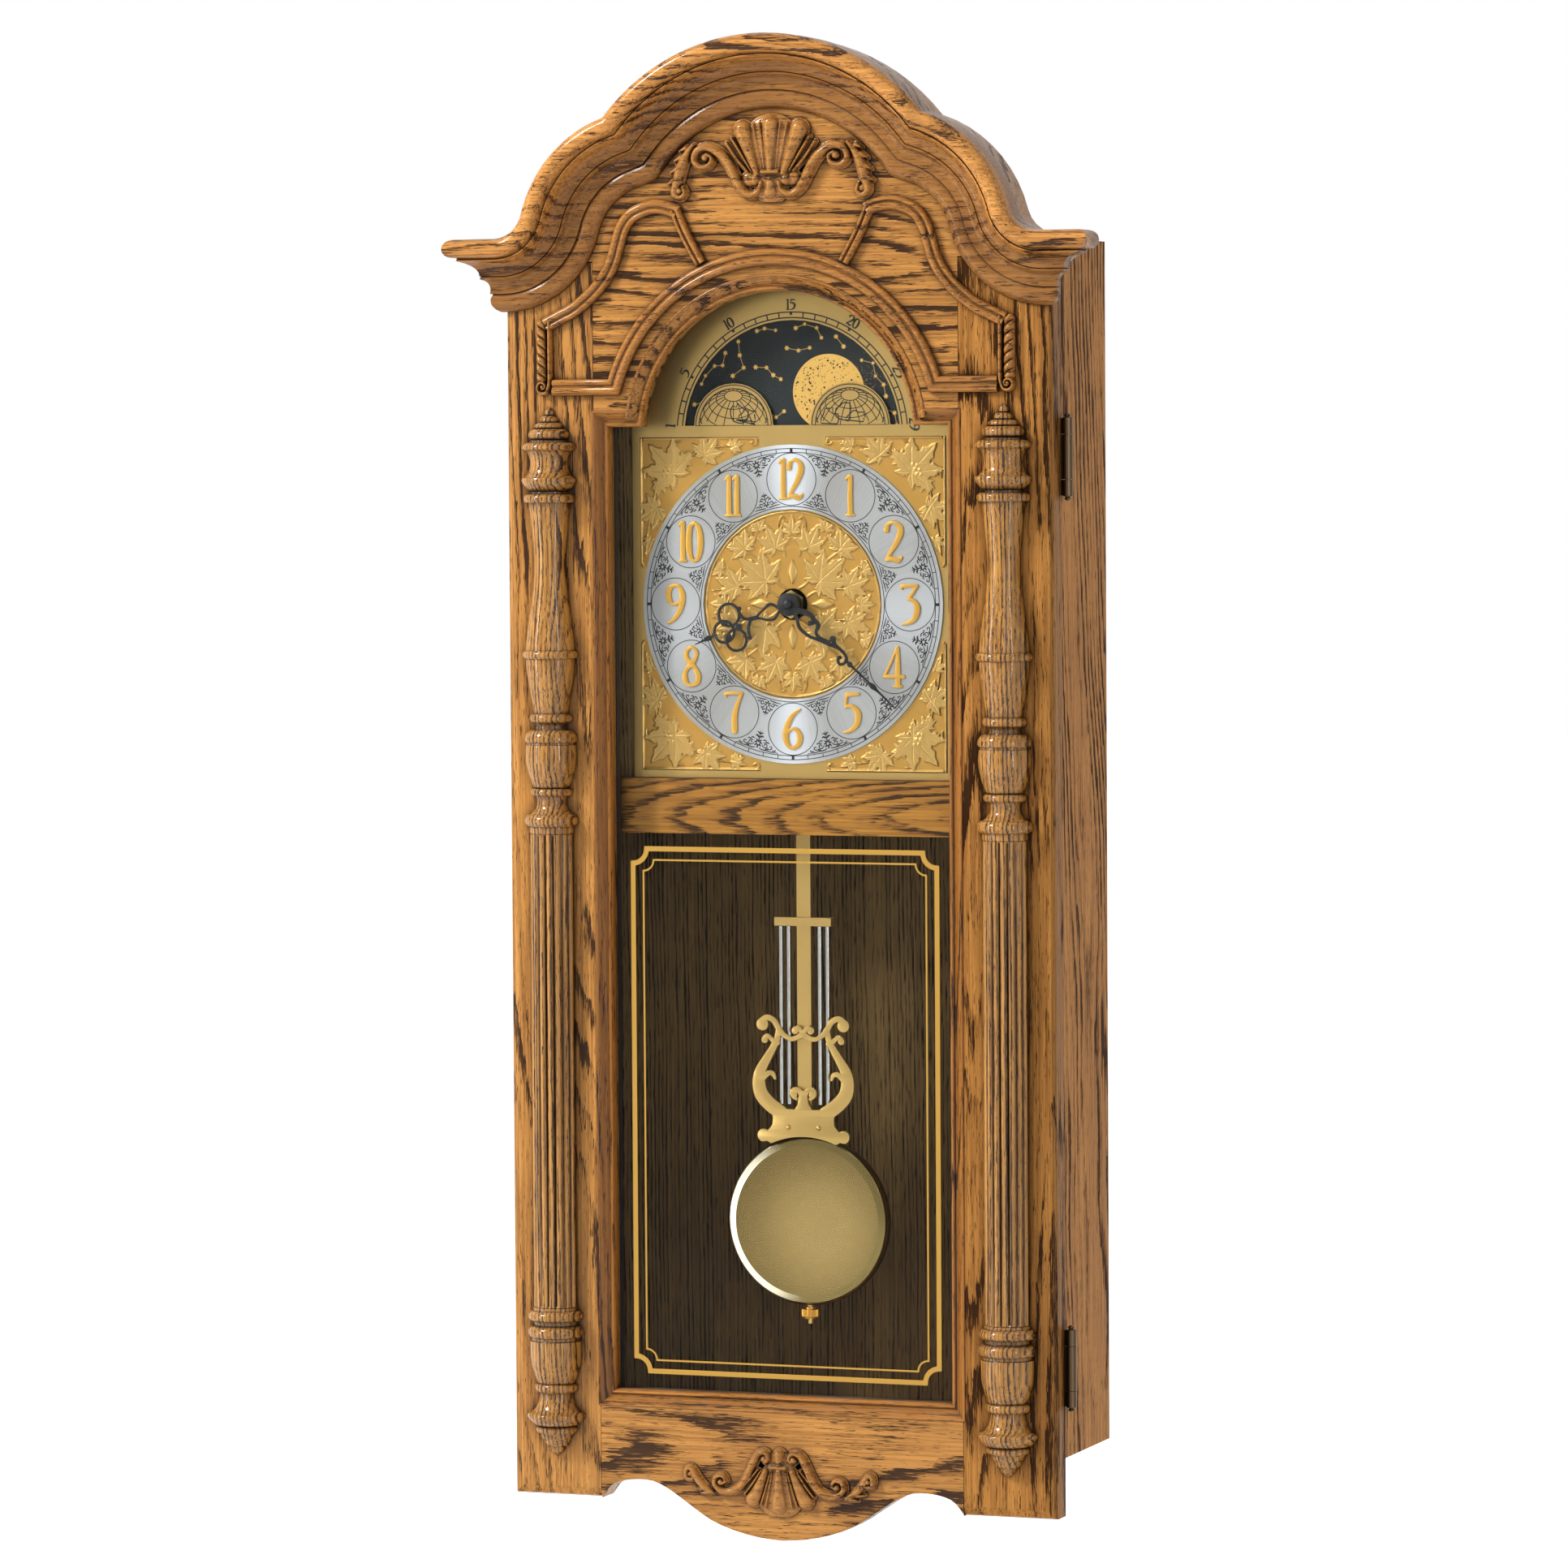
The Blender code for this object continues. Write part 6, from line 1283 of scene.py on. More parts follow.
hands = {
    "hour": {
        "angle": 248.2, "front": -0.0842, "back": -0.0835, "hub": 6.4, "bore": 2.9,
        "strokes": (
            ((5.0, 0.3, 2.4), (7.5, 0.9, 1.7), (8.9, 2.8, 1.4), (12, 4.8, 1.6), (15.5, 3.7, 1.3),
             (19.2, 2.3, 1.2), (22.9, 0.6, 1.5)),
            ((5.0, -0.3, 2.2), (8, -1.6, 1.4), (12.3, -4.4, 1.5), (16.7, -3.2, 1.2), (19.8, -1.1, 1.2),
             (23, 0.5, 1.5)),
            ((22.4, 0.5, 2.2), (26.4, 1.1, 2.4)),
            ((26.0, 1.1, 1.7), (29.2, 2.4, 1.7), (30.9, 4.5, 1.7), (31.4, 7.9, 1.5), (30.6, 9.3, 1.5)),
            ((26.1, 0.9, 1.7), (29.2, -2.8, 1.7), (30.3, -6.3, 1.6), (30.8, -8.7, 1.5)),
            ((50.9, 0.5, 2.2), (53.0, 0.5, 1.3), (55.6, 0.4, 2.9), (57.6, 0.3, 1.7), (60.2, 0.2, 1.0),
             (64.8, 0, 0.4))),
        "rings": ((38.1, 8.4, 6.6), (39.2, -7.1, 6.4), (44.7, 0.2, 6.35)),
        "balls": ((30.6, 9.4, 1.35), (30.8, -8.9, 1.35), (42.8, 4.9, 1.9), (35.0, -0.5, 2.1),
                  (43.4, -3.5, 1.9)),
        "ringWidth": 1.65,
    },
    "minute": {
        "angle": 132.3, "front": -0.0868, "back": -0.0861, "hub": 6.8, "bore": 1.75,
        "strokes": (
            ((4.6, -0.2, 2.4), (9.7, 2.5, 1.8), (14.6, 5.3, 1.9), (22, 5, 1.7), (27.6, 2.6, 1.9),
             (34.7, -0.2, 2.2), (39, -1.9, 1.9)),
            ((5.4, -0.8, 2.6), (11.1, -3.8, 3.0), (15.9, -5, 2.6), (18.7, -2.9, 2.2), (17.5, -1.2, 2.2)),
            ((17.3, -4.4, 1.8), (22.2, -3.8, 2.4), (24, 0.4, 1.6), (28.2, 1.1, 1.8), (33.8, -1.2, 1.6)),
            ((34.3, -3.9, 2.4), (37.8, -2.2, 2.0), (41.5, -2.4, 1.7), (46, -2.3, 1.5), (48.8, -0.7, 1.6),
             (49.3, 2, 1.5), (47.5, 4.2, 1.5), (45.2, 3.4, 1.5), (44.6, 1.3, 1.6)),
            ((48.6, -0.2, 1.5), (53.6, 0.1, 1.4), (60.1, 0, 1.15), (68.0, 0, 1.05), (71.5, 0, 2.9),
             (75.0, 0, 1.3), (80, 0, 0.95), (90.5, 0, 0.45))),
        "rings": (),
        "balls": ((17.6, -1.2, 1.5), (34.3, -3.9, 1.9), (44.7, 1.4, 1.3), (52.2, 0.1, 1.7)),
        "ringWidth": 1.4,
    },
}


handSheet = {
    "low": (-0.018, -0.0085), "high": (0.018, 0.093), "step": 0.00016, "widen": 1.12, "bevel": 0.00006,
}
hub = {
    "steps": 40,
    "profile": ((0.0, 0.0026), (0.0012, 0.00252), (0.0022, 0.0022), (0.0028, 0.0016), (0.003, 0.0009),
                (0.003, 0.0002), (0.0, 0.0002)),
}


def drawn(stroke, smooth=5):
    # strokes given in millimetres, as points along a smooth line in metres
    points = [tuple(value / 1000 for value in point) for point in stroke]
    return smoothPath(points, smooth) if len(points) > 2 else points


def makeHand(name):
    hand = hands[name]
    field = Field(handSheet["low"], handSheet["high"], handSheet["step"])
    for stroke in hand["strokes"]:
        field.stroke([(x, z, width * handSheet["widen"]) for z, x, width in drawn(stroke)])
    for along, aside, radius in hand["rings"]:
        circle = arcPath(aside / 1000, along / 1000, radius / 1000, 0, 360, 40)
        field.stroke([(x, z, hand["ringWidth"] / 1000) for x, z in circle])
    for along, aside, radius in (*hand["balls"], (0, 0, hand["hub"])):
        field.ball(aside / 1000, along / 1000, radius / 1000)
    field.inside = np.minimum(field.inside, np.hypot(field.x, field.z) - hand["bore"] / 1000)
    mesh = platedMesh(f"{name}_hand_drawn", contours(field), hand["front"], hand["back"], handSheet["bevel"])
    mesh.transform(toArbor @ Matrix.Rotation(math.radians(hand["angle"]), 4, "Y"))
    keepPiece(f"{name}_hand_drawn", mesh, "handBlack", name, 40, (f"{name}_hand",))


def makeHub():
    # a domed nut on a washer, in front of the minute hand
    centre = (0, hands["minute"]["front"], clock["arborZ"])
    mesh = spunMesh("hub_dome", hub["profile"], centre, (0, -1, 0), hub["steps"])
    low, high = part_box("hand_nut")
    for vert in mesh.vertices:
        vert.co.y = max(vert.co.y, low.y)
    keepPiece("hub_dome", mesh, "handBlack", "minute", 40, ("hand_nut",))


makeHand("hour")
makeHand("minute")
makeHub()


# Pendulum: lyre, its screws, the bob and the rating nut; the lyre's right half in millimetres

lyre = {
    "front": -0.06605, "back": -0.06445,
    "strokes": (
        ((25.6, -107.6, 4.35), (25.4, -105.2, 3.75), (22.6, -103.6, 3.45), (18.6, -105.2, 3.35),
         (15.6, -109.8, 3.35), (11.9, -114.0, 2.85), (7.6, -116.1, 2.65), (3.8, -115.2, 2.85),
         (0, -113.2, 3.35)),
        ((0, -113.6, 2.75), (1.5, -110.8, 2.55), (3.3, -109.3, 2.55), (4.9, -110.3, 2.75)),
        ((15.9, -118.6, 2.75), (18.6, -117.8, 2.75), (20.4, -116.0, 2.55), (22.6, -114.5, 2.55),
         (24.2, -115.6, 2.75)),
        ((15.4, -111.0, 3.35), (16.5, -116.4, 3.65), (18.6, -120.8, 4.15), (23.0, -128.2, 5.15),
         (27.2, -135.6, 6.55), (28.2, -142.3, 7.95), (26.6, -149.6, 8.55), (21.0, -155.8, 8.55),
         (13.9, -160.6, 8.35)),
        ((25.0, -139.4, 3.35), (22.0, -136.9, 3.05), (19.3, -137.2, 2.65), (18.0, -139.9, 1.75)),
        ((0.4, -150.2, 3.75), (2.8, -146.9, 2.95), (5.4, -146.4, 2.95), (7.0, -148.3, 2.95),
         (6.2, -150.5, 2.55), (4.4, -151.8, 1.85)),
        ((0, -148.2, 2.75), (0, -151, 5.35), (0, -156, 6.95), (0, -161, 12.35))),
    "balls": ((25.7, -107.7, 3.7), (4.9, -111.0, 2.2), (24.3, -117.0, 2.0), (5.9, -149.2, 2.1),
              (25.4, -174.2, 3.8)),
    "foot": ((0, -158.6), (12, -158.2), (19.9, -160.4), (19.3, -164.4), (19.7, -167.8), (22.4, -171.2),
             (25.2, -171.4), (25.2, -176.2)),
    "arcRadius": 50.5, "bobZ": -225.1, "cutHalf": 22.5, "screwX": 9.6, "screwZ": -169.0,
    "screw": ((0.0, 0.0011), (0.0006, 0.00105), (0.0011, 0.0007), (0.0014, 0.0001), (0.0, 0.0001)),
    "low": (-0.034, -0.1805), "high": (0.034, -0.1005), "step": 0.0002, "bevel": 0.00008,
}
bob = {
    "size": 0.984, "gap": 0.0003, "flat": 0.86, "steps": 144,
    # out and forward, as shares of the radius and of half the depth
    "dome": ((0.0, 1.0), (0.25, 0.995), (0.5, 0.98), (0.7, 0.955), (0.885, 0.912)),
    "step": ((0.885, 0.912), (0.89, 0.898), (0.915, 0.858), (0.94, 0.815), (0.962, 0.772)),
    "round": ((0.968, 0.745), (0.984, 0.6), (0.995, 0.36), (1.0, 0.04)),
    "domeFoot": ((0.885, 0.86), (0.0, 0.86)),
    "rimStart": ((0.0, 0.87), (0.8845, 0.87)),
}
nut = {
    "size": 0.9, "steps": 96, "knurled": (0.19, 0.78), "knurl": 0.955,
    # out and up, as shares
    "profile": ((0.4, 1.0), (0.58, 1.0), (0.63, 0.96), (0.63, 0.86), (0.74, 0.83), (0.93, 0.81),
                (1.0, 0.77), (1.0, 0.2), (0.94, 0.14), (0.88, 0.13), (0.86, 0.04), (0.8, 0.0), (0.4, 0.0)),
}


def makeLyre():
    field = Field(lyre["low"], lyre["high"], lyre["step"])
    for stroke in lyre["strokes"]:
        field.stroke(drawn(stroke))
        field.stroke(flip(drawn(stroke)))
    for x, z, radius in lyre["balls"]:
        for sign in (-1, 1):
            field.ball(sign * x / 1000, z / 1000, radius / 1000)
    half = [*lyre["foot"], *arcPath(0, lyre["bobZ"], lyre["arcRadius"], 66, 90, 12)]
    field.polygon([(x / 1000, z / 1000) for x, z in half + flip(half)[::-1]])
    outBob = np.hypot(field.x, field.z - lyre["bobZ"] / 1000) - lyre["arcRadius"] / 1000
    inCut = np.abs(field.x) < lyre["cutHalf"] / 1000
    field.inside = np.where(inCut, np.minimum(field.inside, outBob), field.inside)
    mesh = platedMesh("lyre_plate", contours(field), lyre["front"], lyre["back"], lyre["bevel"])
    keepPiece("lyre_plate", mesh, "satinBrass", "pendulum", 25, ("lyre",))
    for side, sign in (("left", -1), ("right", 1)):
        place = (sign * lyre["screwX"] / 1000, lyre["front"], lyre["screwZ"] / 1000)
        screw = spunMesh(f"lyre_screw_{side}", lyre["screw"], place, (0, -1, 0), 20)
        keepPiece(f"lyre_screw_{side}", screw, "polishedBrass", "pendulum")


def makeBob():
    low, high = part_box("bob")
    radius, deep = (high.x - low.x) / 2 * bob["size"], (high.y - low.y) / 2
    centre = (0.0, (low.y + high.y) / 2, low.z + radius + bob["gap"])
    dome = smoothPath(bob["dome"], 5)
    rim = [*bob["step"], *smoothPath(bob["round"], 3)]
    back = [(out, -rise * bob["flat"]) for out, rise in reversed(dome + rim[1:])]
    for name, profile, metal in (("bob_dome", [*dome, *bob["domeFoot"]], "bobBrassPaintedShade"),
                                 ("bob_rim", [*bob["rimStart"], *rim, *back], "rimBrassPaintedHighlight")):
        outline = [(out * radius, rise * deep) for out, rise in profile]
        mesh = spunMesh(name, outline, centre, (0, -1, 0), bob["steps"])
        keepPiece(name, mesh, metal, "bob", 12, ("bob",))


def makeRatingNut():
    low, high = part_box("rating_nut")
    middle, radius, tall = (low.y + high.y) / 2, (high.x - low.x) / 2 * nut["size"], high.z - low.z
    profile = [(out * radius, low.z + up * tall) for out, up in nut["profile"]]
    mesh = spunMesh("nut_turned", profile, (0, middle, 0), (0, 0, 1), nut["steps"], closed=True)
    foot, head = nut["knurled"]
    for vert in mesh.vertices:
        way = math.atan2(vert.co.y - middle, vert.co.x)
        if foot < (vert.co.z - low.z) / tall < head and round(way / math.tau * nut["steps"]) % 2:
            vert.co.x *= nut["knurl"]
            vert.co.y = middle + (vert.co.y - middle) * nut["knurl"]
    keepPiece("nut_turned", mesh, "nutBrass", "rating_nut", 25, ("rating_nut",))


makeLyre()
makeBob()
makeRatingNut()
print("hands and pendulum made")


# Dial: raised leaves in the corners and the middle

dialTone = {
    # foot: colour of the painted shade round the feet of the leaves
    "high": srgb(180, 145, 80), "low": srgb(166, 125, 55), "foot": srgb(104, 72, 28), "step": 0.00038,
    "lift": 0.00078, "sunk": 0.00002, "rim": 0.00006,
}
mirrors = ((1, 1), (-1, 1), (1, -1), (-1, -1))


def reliefBrass():
    material, tree, shader, where = newMaterial("reliefBrass")
    brushed = useGroup(tree, brushedMetal, {
        "Vector": where, "Stretch": (14.0, 900.0, 900.0), "Color": dialTone["high"], "Strength": 0.22})
    face = clock["dialFace"]
    low = ramp(tree, axesOf(tree, where)["Y"], face - 0.00034, face - 0.00014)
    # painted shade: the foot colour darkens the brass where the leaves rise from the ground
    shaded = useGroup(tree, glazeAndShade, {
        "Color": blendColour(tree, low, brushed["Color"], dialTone["low"]), "GlazeShade": dialTone["foot"],
        "Reach": 0.0016, "Amount": 1.0})
    plugAll(tree, shader, {
        "Base Color": shaded["Color"], "Roughness": calc(tree, "MULTIPLY_ADD", low, 0.06, 0.38),
        "Metallic": 0.66, "Normal": bumped(tree, brushed["Height"], 0.25, 0.00002)})
    return material


finish["relief"] = reliefBrass()


corner = {
    "low": (18.5, 19.5), "high": (98.5, 101.0),
    "right": 96.6, "top": 99.2, "ring": 95.6, "startX": 20.5, "startZ": 21.5, "edge": 0.5,
    "leaves": ((75.0, 78.0, 24.0, 47), (86.0, 57.0, 15.0, -34), (55.5, 88.5, 15.0, 128),
               (90.0, 38.0, 8.6, -70), (37.6, 93.2, 8.6, 160), (69.0, 86.0, 8.0, 170),
               (84.0, 72.0, 8.0, -76)),
    "strokes": (
        ((25.5, 95.6, 0.9), (23.4, 94.6, 1.2), (21.9, 96.2, 1.3), (23.6, 98.4, 1.4), (28, 98.4, 1.4),
         (94.0, 98.4, 1.4)),
        ((94.0, 98.4, 1.4), (95.8, 96.6, 1.4), (95.8, 30, 1.4), (95.7, 25.4, 1.3), (94.6, 22.6, 1.1)),
        ((77.0, 80.0, 1.3), (69.0, 84.4, 1.1), (58.6, 91.6, 1.0), (44.0, 93.6, 0.9), (31.0, 94.8, 0.8)),
        ((79.0, 79.6, 1.3), (84.6, 73.6, 1.1), (89.0, 57.6, 1.0), (92.0, 42.0, 0.9), (93.4, 29.0, 0.8)),
        ((57.0, 88.4, 0.9), (53.0, 86.8, 0.9), (52.4, 89.4, 0.9), (54.8, 90.0, 0.8)),
        ((87.4, 57.4, 0.9), (84.6, 52.6, 0.9), (87.2, 51.8, 0.9), (87.6, 54.2, 0.8)),
        ((70.4, 96.2, 0.9), (75.4, 95.4, 0.9), (74.6, 92.6, 0.9), (72.4, 93.6, 0.8)),
        ((93.6, 74.8, 0.9), (93.4, 79.8, 0.9), (90.6, 78.4, 0.9), (91.6, 76.4, 0.8))),
    "balls": ((76.2, 82.6, 1.6), (79.0, 82.0, 1.6), (77.6, 79.6, 1.7), (80.4, 79.2, 1.6), (78.8, 76.8, 1.6),
              (81.2, 76.6, 1.4)),
}

rosette = {
    "radius": 55.7, "bore": 9.4, "beadIn": 0.0009, "beadHalf": 0.0007,
    "leaves": ((17.0, 13.6, 22.0, 40), (10.6, 34.0, 15.0, 66), (35.0, 10.8, 15.0, 18),
               (30.0, 33.0, 15.0, 48), (0.0, 43.0, 10.0, 90), (43.0, 0.0, 10.0, 0), (21.0, 44.6, 9.0, 76),
               (45.0, 20.6, 9.0, 14)),
    "buds": (((0, 12.4, 0.6), (0, 16.0, 3.6), (0, 19.2, 5.6), (0, 22.6, 3.6), (0, 26.2, 0.6)),
             ((12.4, 0, 0.6), (16.0, 0, 3.6), (19.2, 0, 5.6), (22.6, 0, 3.6), (26.2, 0, 0.6))),
    "strokes": (
        ((4.6, 9.6, 1.3), (9.0, 12.6, 1.2), (17.6, 22.6, 1.1), (27.0, 29.6, 1.0), (38.6, 37.6, 0.9)),
        ((9.6, 4.6, 1.2), (15.0, 7.6, 1.1), (27.6, 9.0, 1.0), (40.0, 9.0, 0.9), (50.4, 8.0, 0.9)),
        ((4.6, 28.6, 1.0), (6.6, 38.6, 1.0), (8.6, 46.6, 0.9), (7.0, 51.6, 0.9), (4.6, 50.6, 0.8)),
        ((24.0, 40.0, 0.9), (26.6, 44.4, 0.9), (24.2, 46.2, 0.9), (22.8, 44.2, 0.8)),
        ((43.0, 23.4, 0.9), (46.8, 25.6, 0.9), (48.4, 23.2, 0.9), (46.4, 22.0, 0.8))),
}


def reliefLeaves(field, leaves, both=((1, 1),)):
    for x, z, size, aim in leaves:
        for flipX, flipZ in both:
            if (x == 0 and flipX < 0) or (z == 0 and flipZ < 0):
                continue
            turn = (aim if flipX > 0 else 180 - aim) * flipZ
            field.leaf(flipX * x / 1000, flipZ * z / 1000, size / 1000, turn, dialTone["lift"])


def dialRelief(name, field):
    return reliefMesh(name, field, clock["dialFace"] - dialTone["sunk"], dialTone["rim"])


def makeCorners():
    lift = dialTone["lift"]
    area = [tuple(value / 1000 for value in corner[key]) for key in ("low", "high")]
    field = Field(*area, dialTone["step"])
    reliefLeaves(field, corner["leaves"])
    for stroke in corner["strokes"]:
        field.stroke(drawn(stroke, 6), lift * 1.1)
    for x, z, radius in corner["balls"]:
        field.ball(x / 1000, z / 1000, radius / 1000, lift * 1.5)
    start = math.degrees(math.asin(corner["startZ"] / corner["ring"]))
    end = math.degrees(math.acos(corner["startX"] / corner["ring"]))
    outline = [(corner["startX"], corner["top"]), (corner["right"], corner["top"]),
               (corner["right"], corner["startZ"]), *arcPath(0, 0, corner["ring"], start, end, 40)]
    region = Field(*area, dialTone["step"])
    region.polygon([(x / 1000, z / 1000) for x, z in outline])
    field.height *= np.clip(region.inside * 1000 / corner["edge"], 0, 1)
    field.inside = region.inside
    mesh = dialRelief("corner_leaves", field)
    for flipX, flipZ in mirrors:
        copy = mesh.copy()
        copy.transform(toArbor @ Matrix.Diagonal((flipX, 1, flipZ, 1)))
        if flipX * flipZ < 0:
            copy.flip_normals()
        place = f"{'right' if flipX > 0 else 'left'}_{'upper' if flipZ > 0 else 'lower'}"
        keepPiece(f"corner_leaves_{place}", copy, "relief", "case", 50)
    bpy.data.meshes.remove(mesh)


def makeRosette():
    edge, lift = rosette["radius"] / 1000, dialTone["lift"]
    size = edge + 0.001
    field = Field((-size, -size), (size, size), dialTone["step"])
    reliefLeaves(field, rosette["leaves"], mirrors)
    for strokes, rise in (("buds", 1.4), ("strokes", 1.0)):
        for stroke in rosette[strokes]:
            for flipX, flipZ in mirrors:
                points = [(flipX * x, flipZ * z, width) for x, z, width in drawn(stroke, 6)]
                field.stroke(points, lift * rise)
    away = np.hypot(field.x, field.z)
    field.inside = np.minimum(edge - away, away - rosette["bore"] / 1000)
    rim = lift * np.clip(1 - np.abs(away - edge + rosette["beadIn"]) / rosette["beadHalf"], 0, 1) ** 0.5
    field.height = np.maximum(field.height * (away < edge - 2 * rosette["beadIn"]), rim)
    mesh = dialRelief("rosette_leaves", field)
    mesh.transform(toArbor)
    keepPiece("rosette_leaves", mesh, "relief", "case", 50)


makeCorners()
makeRosette()
print("dial relief made")


# Chapter ring: numerals, minute track, circles and scrollwork; digits 24 mm tall, in millimetres

digits = {
    "0": (((0, 11.4, 1.4), (-3.2, 8.4, 2.4), (-4.4, 0, 3.0), (-3.2, -8.4, 2.4), (0, -11.4, 1.4),
           (3.2, -8.4, 2.4), (4.4, 0, 3.0), (3.2, 8.4, 2.4), (0, 11.4, 1.4)),),
    "1": (((0.3, 11.4, 2.0), (0.0, 0, 2.5), (0.2, -10.6, 2.5)), ((-2.7, 9.7, 1.0), (-1.2, 11.0, 1.5),
                                                                 (0.4, 11.4, 2.0)),
          ((-2.4, -11.3, 1.1), (2.6, -11.3, 1.1))),
    "2": (((-4.4, 6.9, 2.7), (-3.4, 10.2, 1.8), (0.2, 11.5, 1.5), (3.8, 9.2, 2.5), (4.2, 5.2, 3.0),
           (1.8, -0.6, 2.5), (-1.8, -6.0, 1.9), (-4.6, -10.8, 1.4)),
          ((-4.6, -10.8, 1.5), (-1.2, -9.9, 2.2), (2.6, -11.0, 2.4), (5.2, -9.0, 1.0))),
    "3": (((-4.6, 9.2, 1.0), (-4.6, 10.9, 1.6), (4.6, 11.0, 1.6)), ((4.6, 11.0, 1.3), (2.0, 7.0, 1.6),
                                                                    (-0.8, 3.4, 1.4)),
          ((-0.8, 3.2, 1.4), (3.0, 1.8, 2.2), (4.7, -2.6, 3.1), (3.0, -8.2, 2.5), (-0.8, -10.8, 1.6),
           (-4.6, -11.6, 1.0))),
    "4": (((1.6, 11.5, 1.2), (-2.0, 3.0, 1.2), (-6.0, -5.0, 1.3)), ((-6.0, -5.4, 1.7), (5.9, -5.4, 1.7)),
          ((2.3, 11.5, 1.5), (2.2, 0, 2.5), (2.3, -10.8, 2.6)), ((-0.2, -11.3, 1.1), (4.8, -11.3, 1.1))),
    "5": (((-2.6, 10.8, 2.2), (1.2, 11.0, 1.7), (4.8, 11.2, 1.4)), ((-2.8, 10.8, 1.5), (-3.7, 3.6, 1.3)),
          ((-3.7, 3.6, 1.3), (0.4, 3.9, 2.0), (4.2, -0.2, 3.1), (3.6, -6.2, 2.7), (0.0, -10.2, 1.8),
           (-4.4, -11.6, 1.0))),
    "6": (((4.7, 11.6, 1.1), (0.6, 8.8, 1.9), (-3.0, 3.0, 2.6), (-4.5, -3.8, 3.0), (-3.2, -9.2, 2.3),
           (0.3, -11.3, 1.6), (3.8, -8.8, 2.5), (4.5, -4.4, 2.8), (2.6, -0.4, 1.9), (-0.6, 0.0, 1.3),
           (-3.6, -2.6, 1.2)),),
    "7": (((-5.0, 8.8, 0.9), (-5.2, 11.0, 1.5), (4.9, 11.0, 1.6)), ((4.9, 11.0, 1.3), (2.0, 4.4, 2.0),
                                                                    (0.2, -2.6, 2.7),
                                                                 (0.2, -11.2, 2.9))),
    "8": (((0.0, 1.4, 2.6), (-3.0, 4.6, 2.3), (-3.2, 8.6, 1.8), (0, 11.4, 1.5), (3.2, 8.8, 1.7),
           (2.9, 5.2, 1.6), (0.0, 1.4, 2.5), (-3.4, -2.4, 1.9), (-4.4, -6.6, 2.5), (-3.0, -10.2, 2.1),
           (0.2, -11.4, 1.5), (3.6, -9.6, 2.4), (4.3, -5.8, 2.7), (2.6, -1.6, 2.4), (0.0, 1.4, 2.6)),),
}
digits["9"] = tuple(tuple((-x, -z, width) for x, z, width in stroke) for stroke in digits["6"])
spans = dict(zip("0123456789", (5.9, 2.9, 5.9, 6.0, 6.6, 5.8, 6.0, 6.2, 5.8, 6.0)))

chapter = {
    "circleRadius": 0.074, "circle": 0.0155, "trackOut": 0.0922, "trackIn": 0.0899, "innerLine": 0.0579,
    "mark": 0.0017, "markOut": 0.0924, "markIn": 0.0897, "line": 0.00046, "lift": 0.00006, "ground": 0.00001,
    "numeralLift": 0.0008, "numeralBevel": 0.00024,
}


def numeralLoops(text, step, scale=1.0, widen=1.0, weight=1.0):
    tight = (0.86 if len(text) > 1 else 1.0) * widen
    width = sum(spans[sign] for sign in text) * tight
    high = 0.0135 * scale
    field = Field((-width * scale / 1000 - 0.002, -high), (width * scale / 1000 + 0.002, high), step)
    start = -width
    for sign in text:
        middle = start + spans[sign] * tight
        start += 2 * spans[sign] * tight
        for stroke in digits[sign]:
            moved = [((x * tight + middle) * scale, z * scale, thick * weight * scale)
                     for x, z, thick in stroke]
            field.stroke(drawn(moved, 6))
    return contours(field)


def dialPoint(radius, angle):
    turn = math.radians(angle)
    return radius * math.sin(turn), clock["arborZ"] + radius * math.cos(turn)


def drawnOn(face):
    # front and back of ink that lies on a face
    return face - chapter["lift"], face - chapter["ground"]


def ringPrism(x, z, radius, width, front, back, steps=64, start=0.0, end=360.0):
    points = [(px, pz, width) for px, pz in arcPath(x, z, radius, start, end, steps)]
    return ribbonPrism(points, front, back)


def makeNumerals():
    face = clock["chapterFace"]
    for hour in range(1, 13):
        loops = numeralLoops(str(hour), 0.00017, weight=1.28)
        mesh = platedMesh(f"numeral_{hour}", loops, face - chapter["numeralLift"], face - 0.00002,
                          chapter["numeralBevel"])
        x, z = dialPoint(chapter["circleRadius"], hour * 30)
        mesh.transform(Matrix.Translation((x, 0, z)))
        keepPiece(f"numeral_{hour}", mesh, "numeral", "case", 50)


def makeTrack():
    front, back = drawnOn(clock["chapterFace"])
    parts = [ringPrism(0, clock["arborZ"], chapter[key], chapter["line"], front, back, 180)
             for key in ("trackOut", "trackIn", "innerLine")]
    for minute in range(60):
        names = ("trackIn", "trackOut", "line") if minute % 5 else ("markIn", "markOut", "mark")
        inner, outer, width = (chapter[name] for name in names)
        ends = [(*dialPoint(radius, minute * 6), width) for radius in (inner, outer)]
        parts.append(ribbonPrism(ends, front - chapter["ground"], back))
    for hour in range(12):
        x, z = dialPoint(chapter["circleRadius"], hour * 30)
        parts.append(ringPrism(x, z, chapter["circle"], chapter["line"], front, back, 56))
    keepBuilt("minute_track", joined(parts), "ink", "case")


# one outer and one inner spray of scrollwork, right halves, millimetres from a point on the ring

